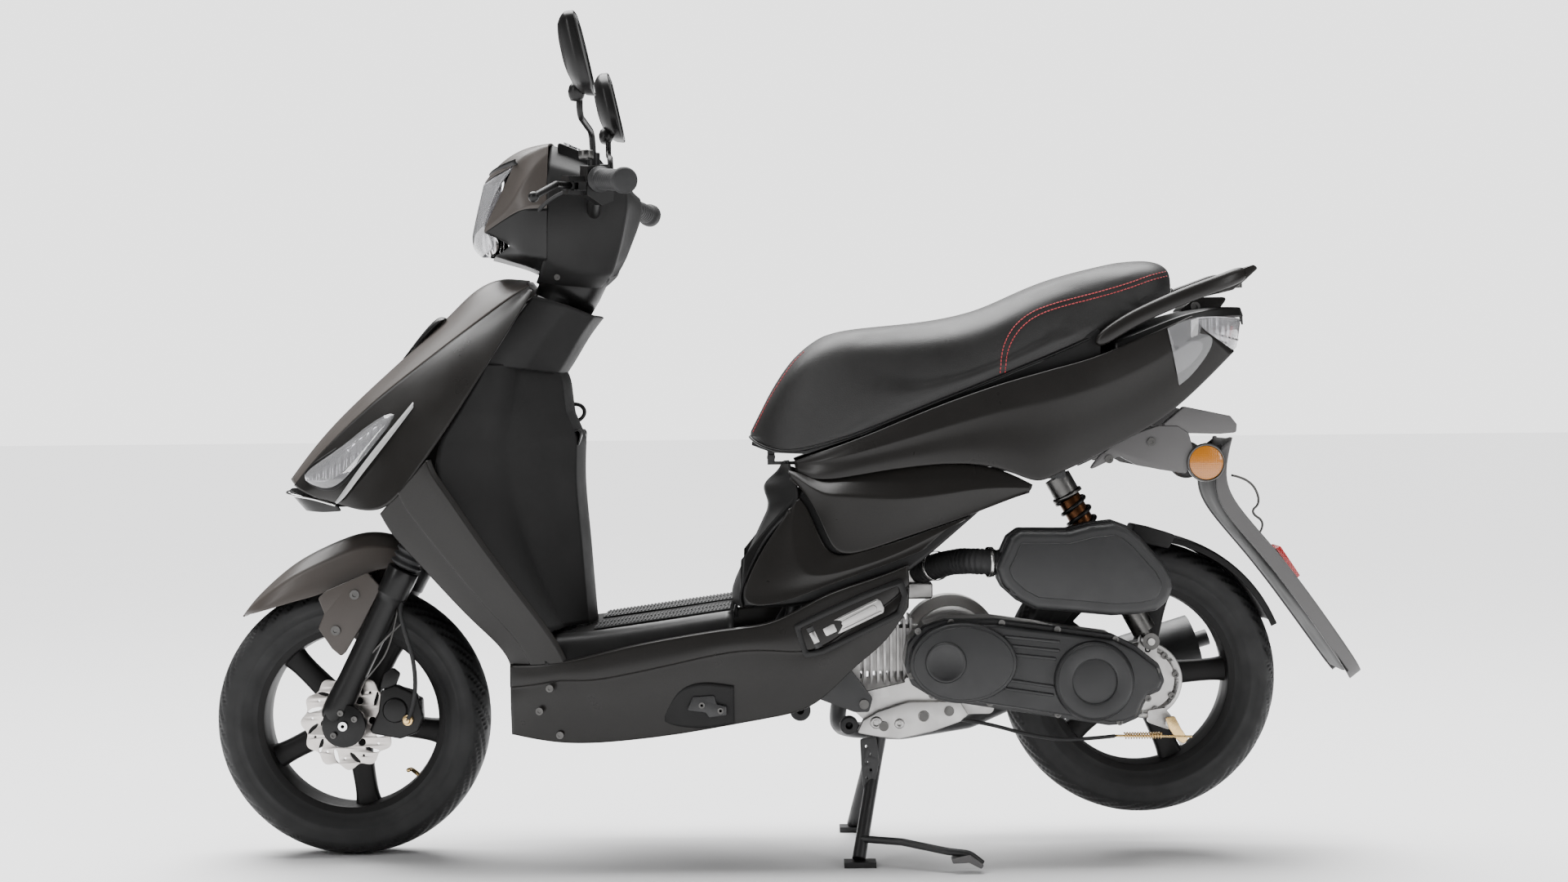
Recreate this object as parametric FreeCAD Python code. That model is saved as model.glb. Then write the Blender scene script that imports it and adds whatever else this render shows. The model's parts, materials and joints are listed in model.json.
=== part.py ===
"""Moped scooter standing on its centre stand, modelled in millimetres.

+X points to the back of the scooter, +Y to the rider's right and +Z up. The origin lies on the
ground under the middle of the scooter. The front tyre and both stand feet touch the ground and
the rear wheel hangs clear of it, as it does on a real scooter on its stand.
"""
import FreeCAD, Part
import math
import os
from FreeCAD import Vector as V

# ---------------------------------------------------------------- driving dimensions
TYRE_R = 229.5          # 110/70-12 tyre, outside radius
TYRE_HALF_W = 50.0
RIM_FLANGE_R = 168.0
BEAD_R = 158.0
RIM_INNER_R = 147.0
RIM_HALF_W = 38.0
SPOKES = 5

FRONT_AXLE_X = -730.0
REAR_AXLE_X = 595.0
REAR_LIFT = 60.5        # the stand holds the rear tyre this far off the ground
TAIL_X = 962.9          # tip of the number plate holder, before its corner is rounded

RAKE = 26.0             # steering axis from the vertical, degrees
STEER_FOOT_X = -710.0   # the steering axis at the height of the front axle
FORK_AHEAD = 41.0       # fork legs ahead of the steering axis
FORK_HALF_W = 85.0      # fork legs from the middle
FORK_TUBE_R = 15.0
FORK_LEG_R = 22.0
STEM_R = 14.0
RUN = 0.3               # clearance between pieces of different bodies
AXLE_R = 7.5
AXLE_RUN = 0.05         # running fit of a shaft in its bore

DISC_R = 80.0
DISC_Y = -58.0
DISC_T = 4.0

GRIP_R = 16.5
BAR_R = 11.0
GRIP_IN = V(-290, -208, 1115)     # inner end of the left grip
GRIP_OUT = V(-240, -338, 1100)    # outer end of the left grip

PIVOT = V(128, 0, 259)            # swing pivot of the engine unit
PIVOT_R = 8.0
STAND_PIVOT = V(160, 0, 222)
STAND_PIVOT_R = 8.0
STAND_HALF_W = 150.0
SHOCK_TOP = V(444, -92, 640)
SHOCK_FOOT = V(602, -92, 357)
EYE_R = 14.0
SHOCK_PIN_R = 6.0
FOOT_BORE_R = 6.8       # the open pivot: the eye is larger than its pin, which leaves room over the travel

SEAT_HINGE = V(-22, 0, 664)
PANEL_T = 3.5
CRANK = V(284, 0, 338)            # crankshaft centre
CLUTCH = V(497, 0, 303)           # clutch centre
CVT_Y = -136.0                    # joint face of the belt case
CVT_DEPTH = 56.0
LUG_Y = 100.0                     # inner face of the frame's pivot lugs

FRONT_AXLE = V(FRONT_AXLE_X, 0, TYRE_R)
REAR_AXLE = V(REAR_AXLE_X, 0, TYRE_R + REAR_LIFT)
UP = V(math.sin(math.radians(RAKE)), 0, math.cos(math.radians(RAKE)))
AHEAD = V(-UP.z, 0, UP.x)
STEER_FOOT = V(STEER_FOOT_X, 0, TYRE_R)
ACROSS = V(0, 1, 0)


# ---------------------------------------------------------------- helpers
def steer(s, ahead=0.0, y=0.0):
    """A point s along the steering axis from axle height, ahead of it, and y to the side."""
    return STEER_FOOT + UP * s + AHEAD * ahead + V(0, y, 0)


def cylinder(start, end, radius):
    axis = end - start
    return Part.makeCylinder(radius, axis.Length, start, axis)


def disc_y(x, z, y0, y1, radius):
    """A cylinder along Y."""
    return Part.makeCylinder(radius, y1 - y0, V(x, y0, z), ACROSS)


def block(x0, x1, y0, y1, z0, z1):
    return Part.makeBox(x1 - x0, y1 - y0, z1 - z0, V(x0, y0, z0))


def fuse(*shapes):
    """One solid from shapes that overlap."""
    return shapes[0].multiFuse(list(shapes[1:])).removeSplitter() if len(shapes) > 1 else shapes[0]


def rounded_face(points, y, radius):
    """A face in the XZ plane at y, with its corners rounded where the edges leave room."""
    pts = [V(x, y, z) for x, z in points]
    count = len(pts)
    edges = []
    ends = []
    for i, corner in enumerate(pts):
        before = pts[i - 1] - corner
        after = pts[(i + 1) % count] - corner
        half = before.getAngle(after) / 2
        cut = min(radius / math.tan(half), 0.45 * before.Length, 0.45 * after.Length)
        start = corner + before.normalize() * cut
        end = corner + after.normalize() * cut
        bisector = (before + after).normalize()
        depth = cut / math.cos(half) - cut * math.tan(half)
        middle = corner + bisector * depth
        ends.append((start, middle, end))
    for i, (start, middle, end) in enumerate(ends):
        edges.append(Part.Arc(start, middle, end).toShape())
        edges.append(Part.makeLine(end, ends[(i + 1) % count][0]))
    return Part.Face(Part.Wire(edges))


def slab(points, y0, y1, radius=0.0):
    """A flat XZ outline given thickness from y0 to y1."""
    if radius:
        face = rounded_face(points, y0, radius)
    else:
        ring = [V(x, y0, z) for x, z in points]
        face = Part.Face(Part.makePolygon(ring + ring[:1]))
    return face.extrude(V(0, y1 - y0, 0))


def other_side(shape):
    return shape.mirror(V(0, 0, 0), ACROSS)


def both_sides(shape):
    """The left-hand piece and its mirror image, as separate solids."""
    return Part.Compound([shape, other_side(shape)])


def loft(rings, ruled=False):
    """A solid through closed rings of points."""
    wires = [Part.makePolygon(list(ring) + [ring[0]]) for ring in rings]
    return Part.makeLoft(wires, True, ruled)


def facet(*points):
    return Part.Face(Part.makePolygon(list(points) + [points[0]]))


def sheet_loft(rows, shift, flat=False):
    """A sheet through rows of points, given its thickness by moving it along shift.

    A flat sheet has plane triangles between its rows, and any other is one smooth surface.
    """
    if not flat:
        return loft([list(row) + [p + shift for p in reversed(row)] for row in rows])
    faces = []
    for row, after in zip(rows, rows[1:]):
        for a, b, c, d in zip(row, row[1:], after[1:], after):
            for corners in ((a, b, c), (a, c, d)):
                faces.append(facet(*corners))
                faces.append(facet(*[p + shift for p in corners]))
        for a, b in ((row[0], after[0]), (row[-1], after[-1])):
            faces.append(facet(a, b, b + shift, a + shift))
    for row in (rows[0], rows[-1]):
        for a, b in zip(row, row[1:]):
            faces.append(facet(a, b, b + shift, a + shift))
    solid = Part.Solid(Part.makeShell(faces))
    return solid if solid.Volume > 0 else solid.reversed()


def bowed_row(start, end, bow, count=5):
    """Points from start to end that swell outwards (to -Y) by bow in the middle."""
    row = []
    for i in range(count):
        t = i / (count - 1)
        point = start + (end - start) * t
        row.append(point + V(0, -bow * 4 * t * (1 - t), 0))
    return row


def side_sheet(edges, bow, ruled=False, thickness=PANEL_T):
    """A left-hand panel between an upper and a lower edge, given as (upper, lower) points."""
    rows = [bowed_row(V(*upper), V(*lower), bow) for upper, lower in edges]
    return sheet_loft(rows, V(0, thickness, 0), ruled)


def rod(points, radius):
    """A round bar through points, with ball corners."""
    shapes = [cylinder(a, b, radius) for a, b in zip(points, points[1:])]
    shapes += [Part.makeSphere(radius, p) for p in points[1:-1]]
    return fuse(*shapes)


def sweep(points, radius, bend):
    """A round bar whose corners are arcs of the given bend radius."""
    edges = []
    start = points[0]
    for before, corner, after in zip(points, points[1:], points[2:]):
        back = (before - corner).normalize()
        on = (after - corner).normalize()
        half = back.getAngle(on) / 2
        cut = min(bend / math.tan(half), 0.45 * (before - corner).Length, 0.45 * (after - corner).Length)
        arc_start = corner + back * cut
        arc_end = corner + on * cut
        middle = corner + (back + on).normalize() * (cut / math.cos(half) - cut * math.tan(half))
        edges.append(Part.makeLine(start, arc_start))
        edges.append(Part.Arc(arc_start, middle, arc_end).toShape())
        start = arc_end
    edges.append(Part.makeLine(start, points[-1]))
    path = Part.Wire(edges)
    ring = Part.Wire(Part.makeCircle(radius, points[0], points[1] - points[0]))
    return path.makePipeShell([ring], True, True)


def spun(profile, centre):
    """A profile of (radius, y) points spun round the Y axis through centre."""
    ring = [V(centre.x + r, y, centre.z) for r, y in profile]
    face = Part.Face(Part.makePolygon(ring + ring[:1]))
    return face.revolve(centre, ACROSS, 360)


os.makedirs("parts", exist_ok=True)


def save(name, shape):
    shape.exportStep("parts/" + name + ".step")
    solids = len(shape.Solids)
    print("%-22s %2d solid(s) %9.1f cm3 valid %s" % (name, solids, shape.Volume / 1000, shape.isValid()))


# ---------------------------------------------------------------- wheels
def tyre(centre):
    crown = TYRE_R
    half = TYRE_HALF_W
    outside = [(BEAD_R, -RIM_HALF_W + 6), (RIM_FLANGE_R + 1, -RIM_HALF_W + 4), (RIM_FLANGE_R + 8, -half + 8),
               (crown - 32, -half), (crown - 16, -half + 4), (crown - 5, -half + 22), (crown, -12)]
    inside = [(crown - 12, 20), (crown - 20, half - 14), (RIM_FLANGE_R + 8, half - 14),
              (BEAD_R, RIM_HALF_W - 20)]
    profile = outside + [(r, -y) for r, y in reversed(outside)]
    profile += [(r, y) for r, y in reversed(inside)] + [(r, -y) for r, y in inside]
    return spun(profile, centre)


def rim(centre, first_spoke, hub_r, hub_y0, hub_y1, bore_r):
    """Cast rim: a barrel with flanges, a hub and tapered spokes."""
    barrel = spun([(RIM_INNER_R, -RIM_HALF_W + 3), (RIM_FLANGE_R, -RIM_HALF_W),
                   (RIM_FLANGE_R, -RIM_HALF_W + 4),
                   (BEAD_R, -RIM_HALF_W + 6), (BEAD_R, -RIM_HALF_W + 20), (RIM_INNER_R + 4, -8),
                   (RIM_INNER_R + 4, 8), (BEAD_R, RIM_HALF_W - 20), (BEAD_R, RIM_HALF_W - 6),
                   (RIM_FLANGE_R, RIM_HALF_W - 4), (RIM_FLANGE_R, RIM_HALF_W),
                   (RIM_INNER_R, RIM_HALF_W - 3)], centre)
    wheel = [barrel, disc_y(centre.x, centre.z, hub_y0, hub_y1, hub_r)]
    root, tip, depth = 22.0, 17.0, 17.0
    for k in range(SPOKES):
        spoke = slab([(hub_r - 8, -root), (RIM_INNER_R + 2, -tip), (RIM_INNER_R + 2, tip), (hub_r - 8, root)],
                     -depth, depth)
        spoke.rotate(V(0, 0, 0), ACROSS, -(first_spoke + 360 / SPOKES * k))
        spoke.translate(centre)
        wheel.append(spoke)
    return fuse(*wheel).cut(disc_y(centre.x, centre.z, hub_y0 - 1, hub_y1 + 1, bore_r))


def brake_disc():
    """Floating steel disc with a scalloped edge and slots, bolted to the hub."""
    plate = disc_y(FRONT_AXLE.x, FRONT_AXLE.z, DISC_Y - DISC_T / 2, DISC_Y + DISC_T / 2, DISC_R)
    lobes = 12
    cuts = [disc_y(FRONT_AXLE.x, FRONT_AXLE.z, DISC_Y - DISC_T, DISC_Y + DISC_T, 26)]
    for k in range(lobes):
        turn = 2 * math.pi * k / lobes
        mid = turn + math.pi / lobes
        for angle, radius, size in ((turn, DISC_R + 5, 9), (mid, DISC_R - 15, 5)):
            x = FRONT_AXLE.x + radius * math.cos(angle)
            z = FRONT_AXLE.z + radius * math.sin(angle)
            cuts.append(disc_y(x, z, DISC_Y - DISC_T, DISC_Y + DISC_T, size))
    return plate.cut(Part.Compound(cuts))


FRONT_HUB_R = 32.0
HUB_Y = -DISC_Y - DISC_T / 2       # the hub's flange meets the disc
save("front_tyre", tyre(FRONT_AXLE))
save("front_rim", rim(FRONT_AXLE, -81, FRONT_HUB_R, -HUB_Y, HUB_Y, AXLE_R + AXLE_RUN))
save("brake_disc", brake_disc())
save("rear_tyre", tyre(REAR_AXLE))
save("rear_rim", fuse(rim(REAR_AXLE, 4, 62, -60, 48, AXLE_R - 1), cylinder(REAR_AXLE + V(0, -125, 0),
                                                                            REAR_AXLE + V(0, 70, 0), AXLE_R)))


# ---------------------------------------------------------------- front fork and steering
LEG_TOP = 265.0                 # top of the sliding legs along the fork
YOKE = 372.0                    # underside of the fork yoke
STEM_TOP = 885.0


def fork_leg(side):
    y = side * FORK_HALF_W
    leg = cylinder(steer(-10, FORK_AHEAD, y), steer(LEG_TOP, FORK_AHEAD, y), FORK_LEG_R)
    collar = cylinder(steer(LEG_TOP - 18, FORK_AHEAD, y), steer(LEG_TOP, FORK_AHEAD, y), FORK_LEG_R + 4)
    boss_in, boss_out = sorted((side * (HUB_Y + 9), side * (FORK_HALF_W + 18)))
    boss = disc_y(FRONT_AXLE.x, FRONT_AXLE.z, boss_in, boss_out, 36)
    leg = fuse(leg, collar, boss)
    bore = cylinder(steer(22, FORK_AHEAD, y), steer(LEG_TOP + 1, FORK_AHEAD, y), FORK_TUBE_R + RUN)
    return leg.cut(bore)


def fork_legs():
    """Both sliding legs joined by the axle that the wheel turns on."""
    axle_half = FORK_HALF_W + 26
    axle = disc_y(FRONT_AXLE.x, FRONT_AXLE.z, -axle_half, axle_half, AXLE_R)
    return fuse(fork_leg(-1), fork_leg(1), axle)


def steering_stem():
    """Stem, yoke and the two chromed fork tubes pressed into it."""
    stem = cylinder(steer(YOKE + 4, 0), steer(STEM_TOP, 0), STEM_R)
    section = ((-26, -40), (10, -112), (68, -112), (68, 112), (10, 112), (-26, 40))
    yoke = loft([[steer(s, a, y) for a, y in section] for s in (YOKE, YOKE + 28)], True)
    shapes = [stem, yoke]
    for side in (-1, 1):
        shapes.append(cylinder(steer(88, FORK_AHEAD, side * FORK_HALF_W),
                               steer(YOKE + 60, FORK_AHEAD, side * FORK_HALF_W), FORK_TUBE_R))
    return fuse(*shapes)


FENDER_ROWS = [  # crown point and left edge point of each rib of the mudguard
    ((-917, 0, 404), (-910, -32, 406)),
    ((-877, 0, 450), (-866, -58, 420)),
    ((-833, 0, 490), (-815, -62, 434)),
    ((-764, 0, 526), (-760, -62, 446)),
    ((-700, 0, 546), (-705, -62, 474)),
    ((-648, 0, 536), (-660, -60, 492)),
    ((-604, 0, 506), (-618, -58, 478))]


def front_fender():
    rows = []
    for crown, edge in FENDER_ROWS:
        top = V(*crown)
        low = V(*edge)
        shoulder = V(top.x * 0.6 + low.x * 0.4, low.y * 0.82, top.z - (top.z - low.z) * 0.34)
        half = [top, shoulder, low]
        rows.append([V(p.x, -p.y, p.z) for p in reversed(half[1:])] + half)
    shell = sheet_loft(rows, V(0, 0, -PANEL_T), True)
    plate = [(-762, 447), (-690, 480), (-668, 458), (-734, 343), (-772, 389)]
    shapes = [shell]
    for side in (-1, 1):
        y0, y1 = sorted((side * 92, side * 87))
        w0, w1 = sorted((side * 92, side * 60.5))
        ear = slab(plate, y0, y1, 4)
        web = slab([(-762, 447), (-756, 449), (-704, 473), (-706, 466), (-758, 442)], w0, w1)
        leg = cylinder(steer(-10, FORK_AHEAD, side * FORK_HALF_W), steer(LEG_TOP, FORK_AHEAD, side * FORK_HALF_W),
                       FORK_LEG_R + 4 + RUN)
        shapes += [ear.cut(leg), web.cut(leg)]
    return fuse(*shapes)


def brake_caliper():
    """Floating caliper that straddles the disc behind the left leg."""
    body = slab([(-700, 210), (-610, 205), (-598, 235), (-612, 285), (-650, 300), (-690, 285)], -84, -46, 9)
    slot = disc_y(FRONT_AXLE.x, FRONT_AXLE.z, DISC_Y - 4, DISC_Y + 4, DISC_R + 6)
    leg_room = disc_y(FRONT_AXLE.x, FRONT_AXLE.z, -110, -40, 37)
    hub_room = disc_y(FRONT_AXLE.x, FRONT_AXLE.z, -60, -40, 50)
    leg = cylinder(steer(-40, FORK_AHEAD, -FORK_HALF_W), steer(240, FORK_AHEAD, -FORK_HALF_W), FORK_LEG_R)
    return body.cut(Part.Compound([slot, leg_room, leg])).cut(hub_room)


save("fork_legs", fork_legs())
save("steering_stem", steering_stem())
save("front_fender", front_fender())
save("brake_caliper", brake_caliper())


# ---------------------------------------------------------------- handlebar and controls
def flip(point):
    return V(point.x, -point.y, point.z)


BAR_MID = steer(905, 0)
GRIP_DIR = (GRIP_OUT - GRIP_IN).normalize()


def handlebar():
    left = [GRIP_OUT - GRIP_DIR * 6, GRIP_IN - GRIP_DIR * 30, V(BAR_MID.x, -70, BAR_MID.z + 8)]
    bar = sweep(left + [flip(p) for p in reversed(left)], BAR_R, 40)
    stem = cylinder(steer(850, 0), steer(STEM_TOP, 0), STEM_R)
    clamp = cylinder(steer(860, 0), steer(920, 0), 22).cut(stem)
    return fuse(bar, clamp)


def grip(bore):
    """Rubber grip with an end flange, on the left."""
    sleeve = cylinder(GRIP_IN, GRIP_OUT, GRIP_R)
    flange = cylinder(GRIP_IN, GRIP_IN + GRIP_DIR * 4, GRIP_R + 7)
    rim_end = cylinder(GRIP_OUT - GRIP_DIR * 12, GRIP_OUT - GRIP_DIR * 4, GRIP_R + 3)
    return fuse(sleeve, flange, rim_end).cut(cylinder(GRIP_IN - GRIP_DIR * 1, GRIP_OUT - GRIP_DIR * 6, bore))


POD_IN = GRIP_IN - GRIP_DIR * 46
POD_OUT = GRIP_IN - GRIP_DIR * 1.5


def pod_point(along, back, up):
    """A point in the left switch pod: along the bar from the grip, behind it and above it."""
    rear = V(1, GRIP_DIR.x / -GRIP_DIR.y, 0).normalize()
    high = rear.cross(GRIP_DIR).normalize()
    high = high if high.z > 0 else high * -1
    return GRIP_IN - GRIP_DIR * along + rear * back + high * up


def switch_pod():
    ring = [(-20, 20), (14, 24), (24, 10), (24, -34), (6, -42), (-20, -26)]
    pod = loft([[pod_point(a, b, c) for b, c in ring] for a in (1.5, 46)], True)
    return pod.cut(cylinder(POD_IN - GRIP_DIR * 4, POD_OUT + GRIP_DIR * 4, BAR_R))


def button_room(along, up):
    return cylinder(pod_point(along, 16, up), pod_point(along, 40, up), 6.5)


def button(along, up):
    """Push button in the left pod, clear of its hole all round."""
    return cylinder(pod_point(along, 18, up), pod_point(along, 29, up), 6.0)


LEVER_PIVOT = pod_point(40, -34, -12)
LEVER_TIP = V(-382, -335, 1076)


def lever_bracket():
    ring = [pod_point(a, b, c) for a, b, c in ((20, -18, 4), (62, -18, 4), (62, -46, 4), (20, -46, 4))]
    low = [p + (pod_point(0, 0, -30) - pod_point(0, 0, 0)) for p in ring]
    return loft([ring, low], True)


def lever_blade():
    """Brake lever with a ball end, on the left."""
    bend = LEVER_PIVOT + V(-22, -45, -2)
    blade = rod([LEVER_PIVOT, bend, LEVER_TIP], 5.5)
    eye = cylinder(LEVER_PIVOT + lever_axis() * -5.5, LEVER_PIVOT + lever_axis() * 5.5, 10)
    hole = cylinder(LEVER_PIVOT + lever_axis() * -9, LEVER_PIVOT + lever_axis() * 9, 3 + RUN)
    return fuse(blade, eye, Part.makeSphere(8.5, LEVER_TIP)).cut(hole)


def lever_axis():
    return (pod_point(0, 0, 1) - pod_point(0, 0, 0)).normalize()


def lever_room():
    """The slot in the bracket that the lever swings in, and its pin hole."""
    centre = LEVER_PIVOT
    return cylinder(centre + lever_axis() * -7, centre + lever_axis() * 7, 34)


def left_pod():
    pin = cylinder(LEVER_PIVOT + lever_axis() * -12, LEVER_PIVOT + lever_axis() * 12, 3)
    body = fuse(switch_pod(), lever_bracket()).cut(lever_room())
    bar_hole = cylinder(POD_IN - GRIP_DIR * 30, POD_OUT + GRIP_DIR * 4, BAR_R)
    horn = button_room(26, -16)
    return fuse(body.cut(bar_hole).cut(horn).cut(handlebar()).cut(mirror_stem()), pin)


MIRROR_FOOT = pod_point(30, -2, 27)
MIRROR_BALL = V(-314, -288, 1232)
MIRROR_MID = V(-310, -330, 1294)
MIRROR_PIN = 10.0                 # the stem's upright end, which the mirror turns on


def mirror_stem():
    foot = cylinder(MIRROR_FOOT - V(0, 0, 8), MIRROR_FOOT + V(0, 0, 14), 10)
    bends = [MIRROR_FOOT + V(-2, -8, 46), MIRROR_BALL - V(0, 0, 26)]
    return fuse(foot, sweep([MIRROR_FOOT, *bends, MIRROR_BALL + V(0, 0, MIRROR_PIN)], 5, 20))


def mirror_head():
    """Mirror housing: a five-sided dish that thins towards its edge, with a ball socket below."""
    outline = [(-66, -34), (-34, -60), (48, -56), (72, -20), (66, 58), (-20, 66), (-62, 40)]
    rings = []
    for depth, size in ((-26, 0.55), (-16, 0.86), (2, 1.0), (10, 1.0)):
        ring = []
        for across, high in outline:
            point = V(depth, across * size, high * size)
            ring.append(MIRROR_MID + V(point.x + point.z * -0.22, point.y, point.z))
        rings.append(ring)
    socket = cylinder(MIRROR_BALL - V(0, 0, 4), MIRROR_BALL + V(0, 0, 26), 12)
    pin_room = cylinder(MIRROR_BALL - V(0, 0, 40), MIRROR_BALL + V(0, 0, MIRROR_PIN + RUN), 5 + RUN)
    return fuse(loft(rings, True), socket).cut(pin_room)


save("handlebar", Part.Compound([handlebar(), both_sides(mirror_stem())]))
save("grip_left", grip(BAR_R))
save("throttle_grip", other_side(grip(BAR_R + RUN)))
save("switch_pods", both_sides(left_pod()))
save("horn_button", button(26, -16))
save("start_button", other_side(button(26, -16)))
save("brake_lever_left", lever_blade())
save("brake_lever_right", other_side(lever_blade()))
save("mirror_left", mirror_head())
save("mirror_right", other_side(mirror_head()))

COWL_ROWS = [  # x, then (half width, height) from the roof to the chin
    (-500, ((0, 1130), (34, 1126), (58, 1108), (70, 1060), (60, 1034), (30, 1020))),
    (-470, ((0, 1166), (42, 1160), (78, 1132), (96, 1066), (80, 1022), (44, 1002))),
    (-430, ((0, 1188), (50, 1180), (96, 1146), (118, 1066), (98, 1012), (56, 978))),
    (-385, ((0, 1195), (54, 1186), (104, 1148), (124, 1060), (104, 1000), (60, 962)))]


def ring_at(x, half, inset=0.0):
    """A closed ring in the YZ plane from the right-hand half of its outline."""
    left = [(-w, z) for w, z in half]
    right = [(w, z) for w, z in reversed(half) if w > 0]
    points = left + right
    middle_z = sum(z for w, z in points) / len(points)
    out = []
    for y, z in points:
        away = V(0, y, z - middle_z)
        reach = away.Length
        out.append(V(x, away.y * (1 - inset / reach), middle_z + away.z * (1 - inset / reach)))
    return out


def headlight_cowl():
    """Front handlebar cover, open at the front for the lamp and at the back for the rear cover."""
    outer = loft([ring_at(x, half) for x, half in COWL_ROWS])
    inner = loft([ring_at(x + dx, half, 5) for (x, half), dx in zip(COWL_ROWS, (-12, 0, 0, 12))])
    bar_slots = [block(-420, -380, -160, 160, 1085, 1145)]
    return outer.cut(inner).cut(Part.Compound(bar_slots))


def headlight_lens():
    front = [ring_at(x, half) for x, half in (
        (-520, ((0, 1075), (26, 1072), (40, 1062), (46, 1040), (40, 1026), (20, 1018))),
        (-501, ((0, 1129), (33, 1125), (57, 1107), (69, 1060), (59, 1035), (30, 1021))))]
    return loft(front, True)


BAR_COVER_ROWS = [  # x, then (half width, height)
    (-384, ((0, 1194), (54, 1185), (103, 1147), (123, 1060), (103, 1000), (60, 966))),
    (-340, ((0, 1178), (58, 1168), (106, 1132), (118, 1060), (96, 1000), (56, 950))),
    (-295, ((0, 1152), (58, 1146), (100, 1114), (104, 1060), (84, 1000), (50, 955))),
    (-262, ((0, 1128), (50, 1122), (84, 1098), (84, 1060), (66, 1036), (36, 1026)))]


def bar_cover():
    """Rear handlebar cover with the column shroud under it."""
    outer = loft([ring_at(x, half) for x, half in BAR_COVER_ROWS])
    inner = loft([ring_at(x + dx, half, 5) for (x, half), dx in zip(BAR_COVER_ROWS, (-12, 0, 0, -4))])
    shell = outer.cut(inner)
    section = ((-52, -40), (-30, -62), (36, -60), (58, -36), (58, 36), (36, 60), (-30, 62), (-52, 40))
    shroud = loft([[steer(s, a, y) for a, y in section] for s in (786, 850)], True)
    shroud_room = cylinder(steer(780, 0), steer(860, 0), 46)
    bars = [cylinder(GRIP_IN - GRIP_DIR * 60, GRIP_IN, BAR_R + 12),
            other_side(cylinder(GRIP_IN - GRIP_DIR * 60, GRIP_IN, BAR_R + 12)),
            block(-420, -340, -160, 160, 1085, 1140),
            block(-340, -240, -160, -90, 1085, 1140), block(-340, -240, 90, 160, 1085, 1140)]
    dash = block(-375, -300, -62, 62, 1130, 1230)
    cowl = loft([ring_at(x, half, -0.5) for x, half in COWL_ROWS])
    return fuse(shell, shroud).cut(shroud_room).cut(Part.Compound(bars)).cut(dash).cut(cowl)


def instrument_panel():
    """Dial housing that fills the window in the rear cover."""
    return slab([(-374, 1178), (-301, 1147), (-301, 1132), (-374, 1132)], -61, 61, 3)


save("headlight_cowl", headlight_cowl())
save("headlight_lens", headlight_lens())
save("bar_cover", Part.Compound([bar_cover().cut(handlebar()), instrument_panel()]))


# ---------------------------------------------------------------- front bodywork
NOSE_ROWS = [  # centre line and left crease of the nose panel
    ((-426, 0, 962), (-418, -90, 953)),
    ((-523, 0, 956), (-468, -90, 921)),
    ((-560, 0, 915), (-556, -90, 857)),
    ((-611, 0, 866), (-610, -90, 816)),
    ((-670, 0, 812), (-670, -90, 770)),
    ((-732, 0, 756), (-730, -88, 716)),
    ((-787, 0, 698), (-775, -84, 667)),
    ((-832, 0, 634), (-811, -78, 627))]

SIDE_ROWS = [  # crease and lower edge of the left nose side panel
    ((-418, -92, 951), (-410, -140, 935)),
    ((-459, -92, 923), (-447, -165, 872)),
    ((-510, -92, 888), (-482, -180, 820)),
    ((-556, -92, 853), (-530, -190, 742)),
    ((-600, -92, 820), (-574, -196, 676)),
    ((-645, -92, 786), (-605, -190, 625)),
    ((-687, -92, 753), (-645, -172, 592)),
    ((-748, -90, 695), (-692, -146, 588)),
    ((-811, -80, 624), (-757, -108, 603))]
SIDE_BOW = 12.0

LEG_PANEL_ROWS = [  # outer ridge and front edge of the left leg panel, from the nose to the floor
    ((-576, -198, 655), (-650, -150, 566)),
    ((-549, -198, 622), (-622, -150, 528)),
    ((-491, -198, 534), (-585, -150, 488)),
    ((-429, -198, 450), (-509, -150, 402)),
    ((-376, -196, 382), (-450, -150, 346)),
    ((-369, -194, 352), (-446, -150, 336))]


def nose_panel():
    rows = []
    for centre, edge in NOSE_ROWS:
        top = V(*centre)
        side = V(*edge)
        mid = V(top.x * 0.75 + side.x * 0.25, side.y * 0.6, top.z * 0.75 + side.z * 0.25)
        rows.append([flip(side), flip(mid), top, mid, side])
    return sheet_loft(rows, V(PANEL_T * 0.7, 0, -PANEL_T * 0.7), True)


def indicator_lens():
    """Clear lens lying on the left nose side panel."""
    first, last = 4, 8
    spans = {4: (0.10, 0.14), 5: (0.10, 0.38), 6: (0.12, 0.62), 7: (0.14, 0.78), 8: (0.14, 0.6)}
    rows = []
    for i in range(first, last + 1):
        upper, lower = V(*SIDE_ROWS[i][0]), V(*SIDE_ROWS[i][1])
        t0, t1 = spans[i]
        row = []
        for k in range(4):
            t = t0 + (t1 - t0) * k / 3
            row.append(upper + (lower - upper) * t - V(0, SIDE_BOW * 4 * t * (1 - t) + 7.5, 0))
        rows.append(row)
    return sheet_loft(rows, V(0, 3, 0), True)


LEG_SHIELD_ROWS = [  # height, then x at the outer edge, halfway and at the console, and half widths
    (812, (-490, -440, -395), (148, 104, 50)),
    (770, (-512, -440, -372), (160, 112, 56)),
    (700, (-556, -450, -352), (178, 122, 60)),
    (640, (-568, -450, -347), (188, 125, 64)),
    (534, (-491, -424, -338), (191, 124, 64)),
    (450, (-429, -392, -332), (191, 122, 64)),
    (392, (-386, -362, -328), (189, 122, 64))]


def leg_shield():
    """Inner leg shield: it stands back in the middle as a console and wraps forward at its edges."""
    rows = []
    for z, xs, ys in LEG_SHIELD_ROWS:
        left = [V(x, -y, z) for x, y in zip(xs, ys)]
        rows.append(left + [flip(p) for p in reversed(left)])
    return sheet_loft(rows, V(-PANEL_T, 0, 0), True)


NECK_ROWS = [  # height at the back and at the front edges, x back, x edge, half widths back and edge
    (816, 826, -380, -486, 52, 138),
    (860, 850, -344, -462, 60, 132),
    (902, 935, -314, -414, 62, 116)]


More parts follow.
